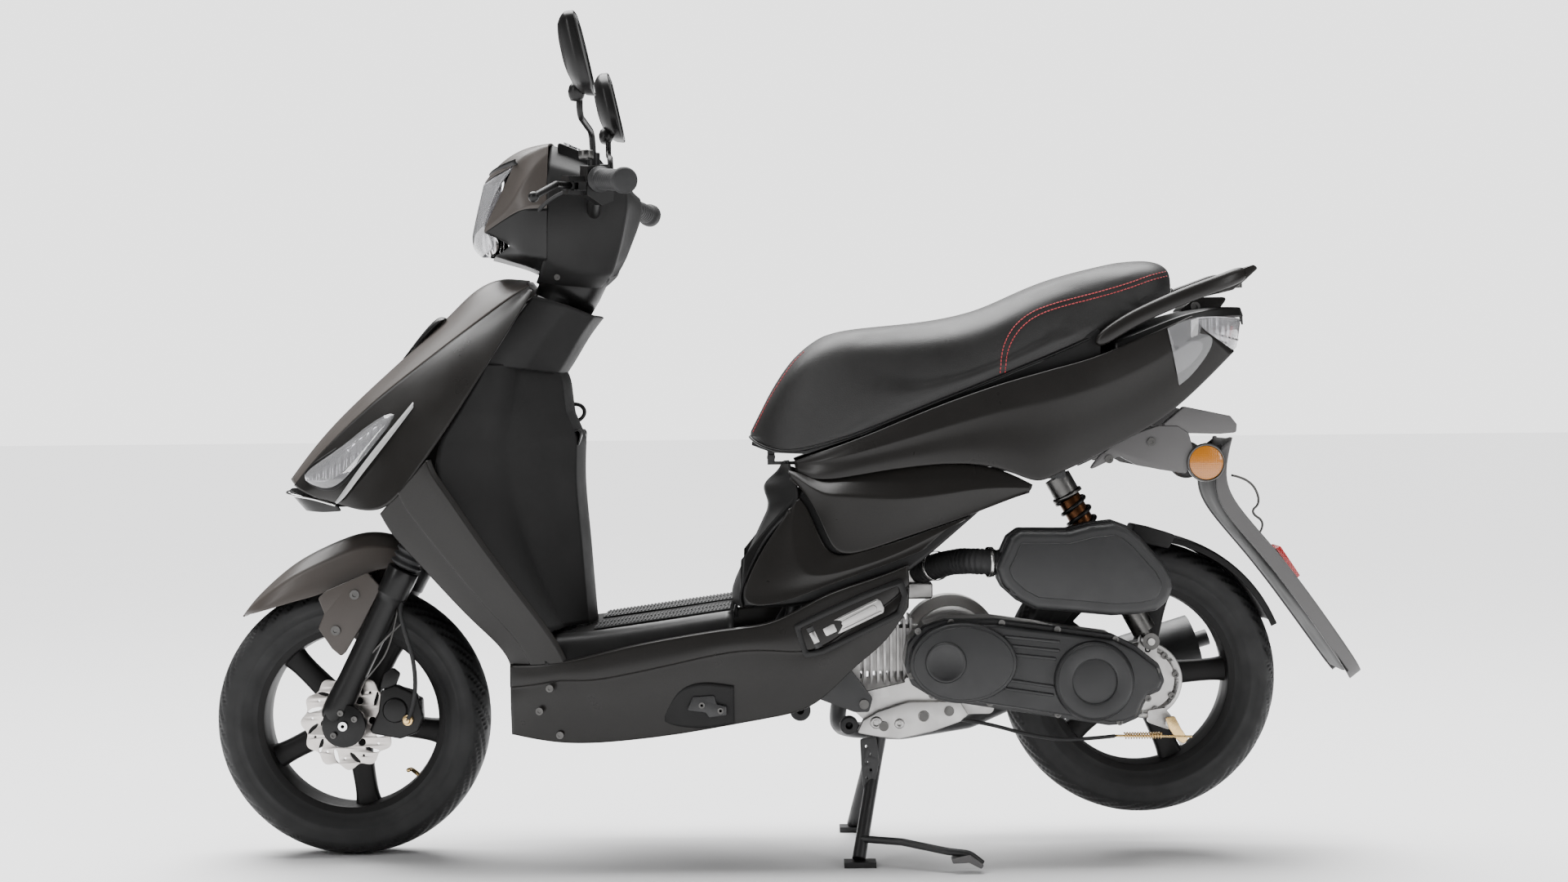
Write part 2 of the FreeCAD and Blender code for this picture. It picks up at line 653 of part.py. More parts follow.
def neck_cover():
    rows = []
    for z_back, z_edge, x_back, x_edge, w_back, w_edge in NECK_ROWS:
        left = [V(x_edge, -w_edge, z_edge), V(x_back, -w_back, z_back)]
        mid = V((x_edge + x_back) / 2 + 8, -(w_edge + w_back) / 2 - 14, (z_edge + z_back) / 2)
        left.insert(1, mid)
        rows.append(left + [flip(p) for p in reversed(left)])
    return sheet_loft(rows, V(-PANEL_T, 0, 0), True)


def chin_trim():
    return slab([(-829, 612), (-806, 620), (-775, 612), (-778, 590), (-802, 588)], -76, 76, 3)


save("nose_panel", nose_panel())
front_sides = both_sides(side_sheet(SIDE_ROWS, SIDE_BOW)).cut(nose_panel())
leg_panel = side_sheet(LEG_PANEL_ROWS, 6)
save("front_side_panels", Part.Compound([front_sides, both_sides(leg_panel)]))
save("front_indicators", both_sides(indicator_lens()))
save("leg_shield", leg_shield())
save("neck_cover", neck_cover())
save("chin_trim", chin_trim())

# ---------------------------------------------------------------- floor and skirts
FLOOR_X0, FLOOR_Z0 = -326.0, 386.0     # front end of the footboard
FLOOR_X1, FLOOR_Z1 = -84.0, 421.0      # rear end of the footboard
FLOOR_T = 4.0
MAT_T = 4.0
RAIL_R = 12.0
RAIL_Y = 118.0


def floor_z(x):
    return FLOOR_Z0 + (x - FLOOR_X0) * (FLOOR_Z1 - FLOOR_Z0) / (FLOOR_X1 - FLOOR_X0)


def floor_board():
    """Footboard: flat on top, falling away to the skirts on both sides."""
    rows = []
    for x in (FLOOR_X0, FLOOR_X1):
        z = floor_z(x)
        half = [(0, z), (158, z), (176, z - 16), (186, z - 44)]
        left = [V(x, -y, h) for y, h in reversed(half[1:])]
        rows.append(left + [flip(p) for p in reversed(left)])
    return sheet_loft(rows, V(0, 0, -FLOOR_T), True)


def floor_mats():
    """Two ribbed rubber strips on each side of the footboard."""
    strips = []
    for y0, y1 in ((-150, -98), (-88, -36), (36, 88), (98, 150)):
        x0, x1 = FLOOR_X0 + 14, FLOOR_X1 - 6
        strips.append(slab([(x0, floor_z(x0)), (x1, floor_z(x1)), (x1, floor_z(x1) + MAT_T),
                            (x0, floor_z(x0) + MAT_T)], y0, y1))
    return Part.Compound(strips)


SKIRT_ROWS = [  # upper and lower edge of the left skirt
    ((-443, -176, 330), (-443, -160, 222)),
    ((-363, -190, 338), (-353, -170, 208)),
    ((-251, -191, 340), (-251, -172, 211)),
    ((-86, -191, 374), (-86, -172, 236)),
    ((-17, -190, 384), (-17, -176, 248)),
    ((54, -188, 436), (49, -180, 264)),
    ((111, -187, 456), (111, -184, 332)),
    ((160, -186, 470), (160, -184, 366)),
    ((196, -184, 484), (196, -182, 425))]
PEG_RECESS = [(21, 395), (35, 352), (178, 420), (182, 458)]
SKIRT_WINDOW = [(-188, 252), (-166, 296), (-137, 306), (-92, 298), (-92, 262)]
PEG_HINGE = V(46, -186, 378)
PEG_DIR = V(130, 0, 62).normalize()
PEG_LONG = 122.0


def skirt():
    panel = side_sheet(SKIRT_ROWS, 5)
    return panel.cut(slab(PEG_RECESS, -260, -100, 6)).cut(slab(SKIRT_WINDOW, -260, -100, 6))


def peg_bracket():
    """Tray behind the folded passenger peg, with the two ears of its hinge."""
    tray = slab([(20, 397), (34, 350), (180, 418), (184, 460)], -170, -166, 5)
    side = PEG_DIR.cross(ACROSS).normalize()
    ears = []
    for offset in (-14.5, 14.5):
        centre = PEG_HINGE + side * offset
        ears.append(cylinder(centre - side * 3.5, centre + side * 3.5, 9))
        base = V(centre.x, -171, centre.z)
        ears.append(cylinder(base, centre, 3.4))
    pin = cylinder(PEG_HINGE - side * 19, PEG_HINGE + side * 19, 3)
    arm = cylinder(V(120, -170, 405), V(120, -RAIL_Y, 405), 9)
    return fuse(tray, *ears, pin, arm)


def peg():
    """Folding passenger peg: a flat pad on a hinge eye."""
    side = PEG_DIR.cross(ACROSS).normalize()
    eye = cylinder(PEG_HINGE - side * 10.5, PEG_HINGE + side * 10.5, 8)
    near = PEG_HINGE + PEG_DIR * 4
    far = PEG_HINGE + PEG_DIR * PEG_LONG
    rings = []
    for point, half in ((near, 9), (near + PEG_DIR * 14, 12.5), (far, 12.5)):
        rings.append([point + side * -half + V(0, -7, 0), point + side * half + V(0, -7, 0),
                      point + side * half + V(0, 7, 0), point + side * -half + V(0, 7, 0)])
    pad = loft(rings, True)
    return fuse(pad, eye).cut(cylinder(PEG_HINGE - side * 20, PEG_HINGE + side * 20, 3 + AXLE_RUN))


save("floor_board", floor_board())
save("floor_mats", floor_mats())
save("side_skirts", both_sides(skirt()))
save("peg_left", peg())
save("peg_right", other_side(peg()))

# ---------------------------------------------------------------- rear bodywork
TUNNEL_ROWS = [  # height, x in the middle and at the sides, half widths
    (436, -92, -76, 86, 128),
    (494, -64, -52, 84, 130),
    (574, -27, 2, 82, 132),
    (616, -38, 40, 70, 134),
    (648, -10, 4, 60, 108)]

SIDE_COVER_ROWS = [  # upper and lower edge of the left side cover
    ((-70, -134, 480), (-66, -160, 424)),
    ((-20, -138, 545), (-17, -176, 428)),
    ((21, -141, 594), (31, -180, 446)),
    ((62, -144, 618), (67, -180, 462)),
    ((131, -150, 636), (125, -180, 482)),
    ((200, -154, 646), (196, -178, 500)),
    ((262, -156, 652), (262, -174, 548)),
    ((340, -158, 648), (340, -170, 588)),
    ((396, -160, 624), (396, -164, 612))]

TAIL_ROWS = [  # upper and lower edge of the left tail cover
    ((18, -112, 658), (20, -124, 642)),
    ((54, -132, 672), (54, -146, 626)),
    ((127, -154, 697), (127, -158, 642)),
    ((244, -162, 747), (244, -166, 658)),
    ((351, -162, 782), (351, -168, 654)),
    ((404, -160, 796), (408, -166, 620)),
    ((470, -154, 814), (458, -160, 646)),
    ((534, -146, 838), (534, -148, 680)),
    ((609, -128, 868), (609, -130, 716)),
    ((640, -118, 876), (640, -118, 742))]


def tunnel_cover():
    rows = []
    for z, x_mid, x_side, w_mid, w_side in TUNNEL_ROWS:
        left = [V(x_side, -w_side, z), V(x_mid, -w_mid, z)]
        rows.append(left + [flip(p) for p in reversed(left)])
    return sheet_loft(rows, V(PANEL_T, 0, 0), True)


def tail_lamp():
    """Lamp housing and lens that close the tail."""
    rings = []
    for x, top, bottom, half in ((646, 890, 768, 112), (700, 892, 800, 92), (762, 888, 846, 58)):
        rings.append([V(x, -half, top), V(x, half, top),
                      V(x, half * 0.85, bottom), V(x, -half * 0.85, bottom)])
    return loft(rings, True)


def tail_underside():
    """Under-tail panel between the tail covers, over the rear wheel."""
    rows = []
    for x, z, half in ((492, 668, 142), (534, 690, 138), (638, 748, 108)):
        rows.append([V(x, -half, z), V(x, half, z)])
    return sheet_loft(rows, V(0, 0, -PANEL_T), True)


RAIL_ARM = [(497, 846), (561, 893), (614, 918), (670, 942), (727, 957), (772, 975), (779, 969), (757, 951),
            (738, 940), (670, 920), (614, 895), (576, 869), (540, 850)]
RAIL_PLATE = [(700, 950), (772, 975), (779, 969), (757, 951), (742, 920), (724, 918), (716, 938)]


def grab_rail():
    arm = slab(RAIL_ARM, -152, -128, 5)
    bridge = slab(RAIL_PLATE, -130, 130, 5)
    stay = block(660, 735, -40, 40, 894, 920)
    return fuse(arm, other_side(arm), bridge, stay)


HOLDER = [(660, 740), (622, 712), (640, 640), (680, 622), (712, 586), (734, 541), (804, 465), (886, 356),
          (912, 330), (934, 314), (TAIL_X, 300), (TAIL_X - 8, 318), (914, 366), (856, 450), (806, 514),
          (724, 618),
          (740, 700)]
HOLDER_HALF_W = 80.0


def plate_holder():
    """Rear mudguard flap: a channel, open towards the wheel."""
    body = slab(HOLDER, -HOLDER_HALF_W, HOLDER_HALF_W, 3)
    hollow = slab(HOLDER, -HOLDER_HALF_W + 4, HOLDER_HALF_W - 4, 3)
    hollow.translate(V(-4.5, 0, -3))
    return body.cut(hollow).cut(block(600, 1000, -200, 200, 742, 800))


def holder_arms():
    arm = slab([(500, 640), (539, 676), (618, 712), (650, 712), (672, 671), (664, 633), (581, 650), (553, 662)],
               -90, -80.5, 6)
    boss = disc_y(696, 652, -90, -80.5, 26)
    return both_sides(fuse(arm, boss))


save("tunnel_cover", tunnel_cover())
side_cover = side_sheet(SIDE_COVER_ROWS, 6)
save("side_covers", both_sides(side_cover))
tail_cover = side_sheet(TAIL_ROWS, 5)
save("tail_covers", Part.Compound([both_sides(tail_cover), tail_underside()]))
save("tail_lamp", tail_lamp())
save("grab_rail", grab_rail())
save("plate_holder", Part.Compound([plate_holder(), holder_arms()]))
save("reflectors", Part.Compound([both_sides(disc_y(696, 652, -96, -90.5, 32)),
                                  slab([(818, 502), (832, 508), (866, 456), (858, 449)], -32, 32, 2)]))

# ---------------------------------------------------------------- seat, storage and tank
SEAT_ROWS = [  # x, half width, underside and top
    (-54, 44, 690, 714),
    (-20, 80, 678, 778),
    (36, 112, 676, 852),
    (130, 140, 708, 879),
    (228, 150, 752, 887),
    (326, 148, 786, 907),
    (417, 140, 822, 947),
    (510, 128, 868, 972),
    (600, 112, 912, 991),
    (646, 80, 934, 972)]
SEAT_PAN_T = 5.0


def seat_cushion():
    rings = []
    for x, half, low, top in SEAT_ROWS:
        side = [(half, low), (half, top - (top - low) * 0.3), (half * 0.72, top - 3)]
        left = [V(x, -y, z) for y, z in side]
        rings.append(left + [V(x, 0, top)] + [flip(p) for p in reversed(left)])
    floor = [[V(x, -200, low), V(x, 200, low)] for x, half, low, top in SEAT_ROWS]
    below = sheet_loft(floor, V(0, 0, -60), True)
    return loft(rings).cut(below)


def seat_pan():
    rows = []
    for x, half, low, top in SEAT_ROWS[:-1]:
        rows.append([V(x, -half + 8, low), V(x, half - 8, low)])
    pan = sheet_loft(rows, V(0, 0, -SEAT_PAN_T), True)
    knuckle = disc_y(SEAT_HINGE.x, SEAT_HINGE.z, -20, 20, 7)
    x, z = SEAT_HINGE.x, SEAT_HINGE.z
    web = slab([(x - 6, z), (x - 6, z + 11), (x + 6, z + 11), (x + 6, z)], -20, 20)
    return fuse(pan, web, knuckle).cut(disc_y(SEAT_HINGE.x, SEAT_HINGE.z, -30, 30, 3 + AXLE_RUN))


def storage_bucket():
    outside = [(116, 538), (236, 538), (252, 640), (392, 640), (392, 792), (326, 770), (228, 734), (130, 692),
               (116, 684)]
    wall = 3.0
    inside = [(119, 541), (234, 541), (250, 643), (389, 643), (389, 830), (119, 830)]
    return slab(outside, -98, 98).cut(slab(inside, -98 + wall, 98 - wall))


def fuel_tank():
    outline = [(430, 706), (520, 722), (600, 766), (630, 800), (630, 872), (540, 840), (430, 790)]
    tank = slab(outline, -84, 84, 14)
    cap = cylinder(V(560, 0, 835), V(552, 0, 862), 24)
    return fuse(tank, cap)


save("seat_cushion", seat_cushion())
save("seat_pan", seat_pan())
save("storage_bucket", storage_bucket())
save("fuel_tank", fuel_tank())
save("battery", block(-280, -168, -62, 62, 306, 372))

# ---------------------------------------------------------------- frame
HEAD_LOW, HEAD_TOP = 412.0, 600.0
HEAD_R = 25.0


def frame_spine():
    """Head tube, down tube and the cross tubes that tie the rails together."""
    head = cylinder(steer(HEAD_LOW), steer(HEAD_TOP), HEAD_R)
    down = sweep([steer(500, -10), V(-425, 0, 560), V(-385, 0, 330), V(-300, 0, 290)], 20, 60)
    cross = [disc_y(-310, 290, -RAIL_Y + RAIL_R, RAIL_Y - RAIL_R, 14), disc_y(-60, 290, -RAIL_Y + RAIL_R,
                                                                              RAIL_Y - RAIL_R, 12)]
    spine = fuse(head, down, *cross)
    return spine.cut(cylinder(steer(HEAD_LOW - 5), steer(HEAD_TOP + 5), STEM_R + AXLE_RUN))


def seat_bracket():
    """Tongue that reaches forward from a cross tube to the ears of the seat hinge."""
    x, z = SEAT_HINGE.x, SEAT_HINGE.z
    tongue = slab([(x - 6, z - 12), (x - 6, z - 8), (104, z - 8), (104, 628), (92, 628), (92, z - 12)], -34, 34)
    ears = [block(x - 6, x + 6, y, y + 8, z - 8, z + 4) for y in (-34, 26)]
    bar = disc_y(98, 628, -RAIL_Y + RAIL_R - 3, RAIL_Y - RAIL_R + 3, 9)
    return fuse(tongue, *ears, bar, disc_y(x, z, -36, 36, 3))


def frame_rail():
    """One bent tube from the footboard to the tail, with the lug that carries the engine."""
    route = [V(-310, -RAIL_Y, 290), V(-60, -RAIL_Y, 290), V(10, -RAIL_Y, 400), V(40, -RAIL_Y, 560),
             V(110, -RAIL_Y, 640), V(440, -RAIL_Y + 6, 668), V(626, -RAIL_Y + 18, 790)]
    tube = sweep(route, RAIL_R, 70)
    lug = slab([(-30, 300), (0, 392), (60, 380), (142, 268), (136, 246), (112, 246)], -LUG_Y - 12, -LUG_Y, 5)
    x, z = SHOCK_TOP.x, SHOCK_TOP.z
    lug_outline = [(x - 16, z - 12), (x - 16, z + 30), (x + 16, z + 30), (x + 16, z - 12)]
    shock_lug = slab(lug_outline, -RAIL_Y - 6, -RAIL_Y + 1, 4)
    pin = disc_y(x, z, -RAIL_Y, SHOCK_TOP.y + 17, 5)
    return fuse(tube, lug, shock_lug, pin)


def pivot_bolt():
    half = LUG_Y + 14
    return disc_y(PIVOT.x, PIVOT.z, -half, half, PIVOT_R)


save("frame_spine", Part.Compound([frame_spine(), seat_bracket().cut(both_sides(frame_rail()))]))
save("frame_rails", Part.Compound([both_sides(frame_rail().cut(pivot_bolt())), pivot_bolt(),
                                   both_sides(peg_bracket())]))

# ---------------------------------------------------------------- engine unit
CASE = [(193, 327), (200, 366), (226, 392), (258, 402), (340, 402), (530, 374), (562, 352), (604, 324),
        (614, 290),
        (589, 278), (571, 240), (523, 229), (328, 259), (241, 273), (203, 297)]
CASE_IN_Y = -72.0


def belt_cover():
    """Outer cover of the belt drive, hollow, with a round bulge over each pulley."""
    lip = slab(CASE, CVT_Y - 26, CVT_Y, 12)
    bulges = [disc_y(CRANK.x, CRANK.z, CVT_Y - CVT_DEPTH, CVT_Y - 20, 80),
              disc_y(CLUTCH.x, CLUTCH.z, CVT_Y - CVT_DEPTH, CVT_Y - 20, 66)]
    bridge = slab([(300, 392), (490, 366), (500, 246), (300, 276)], CVT_Y - CVT_DEPTH + 10, CVT_Y - 20, 8)
    outside = fuse(lip, *bulges, bridge)
    wall = 4.0
    small = [disc_y(CRANK.x, CRANK.z, CVT_Y - CVT_DEPTH + wall, CVT_Y + 1, 80 - wall - 8),
             disc_y(CLUTCH.x, CLUTCH.z, CVT_Y - CVT_DEPTH + wall, CVT_Y + 1, 66 - wall),
             slab([(300, 384), (490, 358), (496, 252), (300, 284)], CVT_Y - CVT_DEPTH + 14, CVT_Y + 1, 6)]
    return outside.cut(fuse(*small))


def crankcase():
    """Case half that reaches back to the rear axle, the crank chamber and the two hangers."""
    case = slab(CASE, CVT_Y, CASE_IN_Y, 12)
    chamber = disc_y(CRANK.x, CRANK.z, CASE_IN_Y - 2, 72, 66)
    sump = slab([(222, 300), (222, 236), (345, 236), (345, 300)], CASE_IN_Y, 60, 10)
    shapes = [case, chamber, sump]
    for y in (-96, 84):
        hanger = [(112, 262), (126, 276), (230, 300), (240, 240), (150, 210), (112, 246)]
        shapes.append(slab(hanger, y, y + 12, 5))
    for y in (-96, 62):
        shapes.append(slab([(196, 300), (250, 300), (250, 240), (200, 238)], y, y + 34, 4))
    shapes.append(slab([(580, 330), (588, 365), (617, 365), (614, 310)], SHOCK_FOOT.y + 14, CASE_IN_Y + 6, 6))
    body = fuse(*shapes)
    holes = [disc_y(PIVOT.x, PIVOT.z, -100, 100, PIVOT_R + AXLE_RUN),
             disc_y(REAR_AXLE.x, REAR_AXLE.z, -140, -60, AXLE_R + AXLE_RUN),
             disc_y(CRANK.x, CRANK.z, CVT_Y - 1, CVT_Y + 30, 9),
             disc_y(CLUTCH.x, CLUTCH.z, CVT_Y - 1, CVT_Y + 30, 9)]
    shafts = [disc_y(STAND_PIVOT.x, STAND_PIVOT.z, -96, 96, STAND_PIVOT_R),
              disc_y(SHOCK_FOOT.x, SHOCK_FOOT.z, SHOCK_FOOT.y - 14, CASE_IN_Y, SHOCK_PIN_R)]
    return fuse(body.cut(Part.Compound(holes)), *shafts)


def cylinder_block():
    """Finned cylinder and head, lying forward."""
    shapes = [block(122, 226, -34, 34, 304, 376), block(88, 124, -46, 46, 292, 386)]
    for k in range(8):
        x = 130 + 11 * k
        shapes.append(block(x, x + 4, -52, 52, 284, 394))
    return fuse(*shapes).cut(crankcase())


def fan_cover():
    shell = disc_y(CRANK.x, CRANK.z, 73, 112, 84)
    shell = shell.cut(disc_y(CRANK.x, CRANK.z, 72, 108, 80)).cut(disc_y(CRANK.x, CRANK.z, 100, 120, 40))
    return shell.cut(crankcase())


def pulley(centre, radius):
    """Two cones with a belt groove between them, on a stub shaft."""
    y = CVT_Y - 42
    body = spun([(0, y), (22, y), (radius, y + 8), (radius, y + 12), (24, y + 15), (24, y + 23),
                 (radius, y + 26), (radius, y + 30),
                 (22, y + 38), (0, y + 38)], centre)
    return fuse(body, disc_y(centre.x, centre.z, y + 30, CVT_Y + 24, 8.9))


def drive_belt():
    """V-belt around both pulleys."""
    run = CLUTCH - CRANK
    normal = V(-run.z, 0, run.x).normalize()
    r0, r1 = 38.0, 44.0

    def loop(extra):
        a, b = r0 + extra, r1 + extra
        ends = [Part.makeLine(CRANK + normal * a, CLUTCH + normal * b),
                Part.Arc(CLUTCH + normal * b, CLUTCH + V(run.x, 0, run.z).normalize() * b,
                         CLUTCH - normal * b).toShape(),
                Part.makeLine(CLUTCH - normal * b, CRANK - normal * a),
                Part.Arc(CRANK - normal * a, CRANK - V(run.x, 0, run.z).normalize() * a,
                         CRANK + normal * a).toShape()]
        return Part.Face(Part.Wire(ends))
    y = CVT_Y - 42 + 16.5
    ring = loop(0).cut(loop(-7)).extrude(V(0, 5, 0))
    ring.translate(V(0, y, 0))
    return ring


def exhaust():
    pipe = sweep([V(100, 20, 287), V(84, 26, 214), V(100, 104, 186), V(200, 127, 178), V(320, 134, 196),
                  V(404, 140, 232)], 14, 50)
    start, end = V(396, 140, 232), V(716, 146, 330)
    can = cylinder(start, end, 48)
    tip = cylinder(end - (end - start).normalize() * 4, end + (end - start).normalize() * 26, 14)
    return fuse(pipe, can, tip)


AIRBOX_IN_Y = -120.0
AIRBOX = [(338, 488), (351, 453), (403, 419), (530, 407), (601, 415), (628, 451), (623, 481), (576, 535),
          (532, 561),
          (492, 557), (457, 548), (378, 549), (351, 515)]


def airbox():
    body = slab(AIRBOX, -184, AIRBOX_IN_Y, 14)
    holes = [disc_y(496, 542, -190, -176, 5), disc_y(604, 462, -190, -176, 5)]
    feet = [slab([(400, 394), (400, 430), (430, 430), (430, 390)], -134, AIRBOX_IN_Y, 4),
            slab([(540, 373), (540, 420), (560, 420), (560, 356)], -134, AIRBOX_IN_Y, 4)]
    return fuse(body.cut(Part.Compound(holes)), *feet)


def intake():
    """Carburettor and the hose to the airbox."""
    hose = sweep([V(352, -140, 492), V(318, -120, 492), V(270, -62, 488), V(236, -10, 470)], 20, 30)
    carb = block(196, 248, -34, 30, 424, 498)
    manifold = cylinder(V(210, 0, 440), V(180, 0, 402), 14)
    return fuse(carb, manifold, hose).cut(airbox())


def hugger():
    """Inner mudguard over the rear tyre, carried by the airbox."""
    outer, inner = TYRE_R + 16, TYRE_R + 12
    bore = disc_y(REAR_AXLE.x, REAR_AXLE.z, -61, 61, inner)
    ring = disc_y(REAR_AXLE.x, REAR_AXLE.z, -60, 60, outer).cut(bore)
    wedge = slab([(560, 300), (560, 640), (760, 640), (790, 480)], -80, 80)
    plate = ring.common(wedge)
    web = slab([(566, 528), (572, 548), (620, 536), (616, 500)], AIRBOX_IN_Y + 0.2, -58, 3)
    clear = disc_y(REAR_AXLE.x, REAR_AXLE.z, -120, 61, inner)
    return fuse(plate, web.cut(clear))


BRAKE_CAM = V(632, -96, 222)


def brake_arm():
    """Drum brake lever on its cam, below the axle."""
    arm = slab([(626, 232), (640, 230), (660, 190), (650, 184)], -100, -96, 3)
    return fuse(arm, disc_y(BRAKE_CAM.x, BRAKE_CAM.z, -104, -80.5, 7))


def brake_plate():
    """Drum back plate, fixed to the case, with the boss of the brake cam."""
    plate = disc_y(REAR_AXLE.x, REAR_AXLE.z, CASE_IN_Y, -61, 58)
    boss = slab([(600, 240), (628, 244), (646, 222), (634, 208), (600, 220)], -79.5, CASE_IN_Y + 8, 3)
    plate = fuse(plate, boss)
    return plate.cut(disc_y(REAR_AXLE.x, REAR_AXLE.z, -90, -50, AXLE_R + AXLE_RUN)).cut(crankcase())


save("belt_cover", belt_cover())
save("crankcase", Part.Compound([crankcase(), brake_plate()]))
save("cylinder_block", Part.Compound([cylinder_block(), fan_cover()]))
save("drive_pulley", pulley(CRANK, 52))
save("driven_pulley", pulley(CLUTCH, 54))
save("drive_belt", drive_belt())
save("exhaust", exhaust())
save("air_intake", Part.Compound([airbox(), intake(), hugger()]))
save("brake_arm", brake_arm())

# ---------------------------------------------------------------- rear shock absorber
SHOCK_DIR = (SHOCK_FOOT - SHOCK_TOP).normalize()
SHOCK_LONG = (SHOCK_FOOT - SHOCK_TOP).Length


def shock_point(along):
    return SHOCK_TOP + SHOCK_DIR * along


def eye(centre, bore, half):
    return disc_y(centre.x, centre.z, centre.y - half, centre.y + half, EYE_R).cut(
        disc_y(centre.x, centre.z, centre.y - half - 1, centre.y + half + 1, bore))


def shock_upper():
    cup = cylinder(shock_point(12), shock_point(46), 22)
    damper = cylinder(shock_point(46), shock_point(176), 17)
    bored = fuse(cup, damper).cut(cylinder(shock_point(60), shock_point(180), 6 + RUN))
    pin_room = disc_y(SHOCK_TOP.x, SHOCK_TOP.z, SHOCK_TOP.y - 40, SHOCK_TOP.y + 40, 5 + AXLE_RUN)
    return fuse(bored, eye(SHOCK_TOP, 5 + AXLE_RUN, 12)).cut(pin_room)


def shock_lower():
    seat = cylinder(shock_point(SHOCK_LONG - 62), shock_point(SHOCK_LONG - 20), 20)
    shaft = cylinder(shock_point(122), shock_point(SHOCK_LONG - 55), 6)
    room = disc_y(SHOCK_FOOT.x, SHOCK_FOOT.z, SHOCK_FOOT.y - 40, SHOCK_FOOT.y + 40, FOOT_BORE_R)
    link = cylinder(shock_point(SHOCK_LONG - 24), shock_point(SHOCK_LONG - 10), 9)
    return fuse(seat, shaft, link, eye(SHOCK_FOOT, FOOT_BORE_R, 11)).cut(room)


def shock_spring():
    """The coil spring as the plain tube that it fills."""
    start, end = shock_point(46.5), shock_point(SHOCK_LONG - 62.5)
    return cylinder(start, end, 26).cut(cylinder(start - SHOCK_DIR, end + SHOCK_DIR, 19))


save("shock_upper", shock_upper())
save("shock_lower", shock_lower())
save("shock_spring", shock_spring())

# ---------------------------------------------------------------- centre stand
FOOT_X = 116.0


def centre_stand():
    tube = disc_y(STAND_PIVOT.x, STAND_PIVOT.z, -80, 80, 14)
    shapes = [tube]
    for side in (-1, 1):
        knee = V(146, side * 66, 150)
        foot = V(FOOT_X, side * STAND_HALF_W, 12)
        shapes.append(rod([V(STAND_PIVOT.x, side * 62, STAND_PIVOT.z), knee, foot], 11))
        y0, y1 = sorted((side * (STAND_HALF_W - 16), side * (STAND_HALF_W + 18)))
        shapes.append(block(FOOT_X - 24, FOOT_X + 28, y0, y1, 0, 9))
    shapes.append(cylinder(V(146, -66, 150), V(146, 66, 150), 10))
    lever = [V(FOOT_X + 6, -STAND_HALF_W + 12, 42), V(185, -176, 44), V(257, -206, 34), V(292, -208, 30),
             V(312, -208, 14)]
    shapes.append(sweep(lever, 6, 26))
    body = fuse(*shapes).cut(disc_y(STAND_PIVOT.x, STAND_PIVOT.z, -90, 90, STAND_PIVOT_R + AXLE_RUN))
    return body.common(block(-200, 600, -400, 400, 0, 600))


save("centre_stand", centre_stand())
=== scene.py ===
# %% [markdown]
# # A step-through scooter, built round a fixed CAD frame
#
# The CAD model says where every part is and how it moves. This lesson gives those parts their looks:
# smooth body panels, tyres with tread, a padded seat, clear lamps, springs, hoses and screws.
# Lengths are written in millimetres and turned into metres by the helpers, and a few places, such as
# the axles, are read from the boxes of the CAD parts.

# %% Load the frame
import math
import json

import bmesh
import bpy
from mathutils import Matrix, Vector


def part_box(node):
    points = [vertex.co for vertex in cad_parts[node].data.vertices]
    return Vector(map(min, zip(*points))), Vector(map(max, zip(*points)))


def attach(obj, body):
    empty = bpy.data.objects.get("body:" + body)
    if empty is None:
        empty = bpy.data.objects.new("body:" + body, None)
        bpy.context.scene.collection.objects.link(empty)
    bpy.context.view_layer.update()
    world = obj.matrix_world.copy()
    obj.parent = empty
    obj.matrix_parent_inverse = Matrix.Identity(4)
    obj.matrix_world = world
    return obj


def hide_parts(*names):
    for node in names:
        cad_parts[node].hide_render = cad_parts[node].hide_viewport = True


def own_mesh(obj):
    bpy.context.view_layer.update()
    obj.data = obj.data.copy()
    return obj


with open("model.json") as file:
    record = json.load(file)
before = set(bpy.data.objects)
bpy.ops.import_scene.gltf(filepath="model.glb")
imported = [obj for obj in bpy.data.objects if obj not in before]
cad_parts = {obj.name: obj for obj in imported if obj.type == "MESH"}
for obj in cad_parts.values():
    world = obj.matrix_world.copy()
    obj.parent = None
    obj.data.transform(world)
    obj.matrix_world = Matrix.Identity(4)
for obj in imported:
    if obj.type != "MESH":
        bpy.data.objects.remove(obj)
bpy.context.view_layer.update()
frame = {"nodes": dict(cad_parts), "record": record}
MM = 0.001
scene = bpy.context.scene


# %% [markdown]
# ## Places
# A few places are needed all the time: the axles, the steering axis and the middle plane. They are
# read from the frame, so that the looks follow the design if it changes.

# %% Places read from the frame
def middle(node):
    low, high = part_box(node)
    return (low + high) / 2


def joint(name):
    return next(j for j in frame["record"]["behaviour"]["joints"] if j["name"] == name)


def on_plane(point):
    return Vector((point.x, 0, point.z))


FRONT_AXLE = on_plane(middle("front_rim"))
REAR_AXLE = on_plane(middle("rear_rim"))
TYRE_R = (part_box("front_tyre")[1].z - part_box("front_tyre")[0].z) / 2
STEER_UP = Vector(joint("steering")["axis"]).normalized()
STEER_AHEAD = Vector((-STEER_UP.z, 0, STEER_UP.x))
STEER_FOOT = Vector(joint("steering")["pos_m"]) - STEER_UP * 0.5
print("axles %.3f m apart" % (REAR_AXLE - FRONT_AXLE).x)


def mm(x, y, z):
    return Vector((x, y, z)) * MM


def along_fork(s, ahead=0.0, y=0.0):
    """A point s mm up the steering axis from axle height, with mm ahead of it and to the side."""
    return STEER_FOOT + STEER_UP * s * MM + STEER_AHEAD * ahead * MM + Vector((0, y * MM, 0))


def flip(point):
    return Vector((point[0], -point[1], point[2]))


# %% [markdown]
# ## Meshes
# Body panels are cages: rows of points that a Subdivision Surface rounds off. A crease keeps a styling
# line sharp, and Solidify gives the sheet its wall. Round things are profiles turned about an axis,
# and flat things are outlines given a thickness.

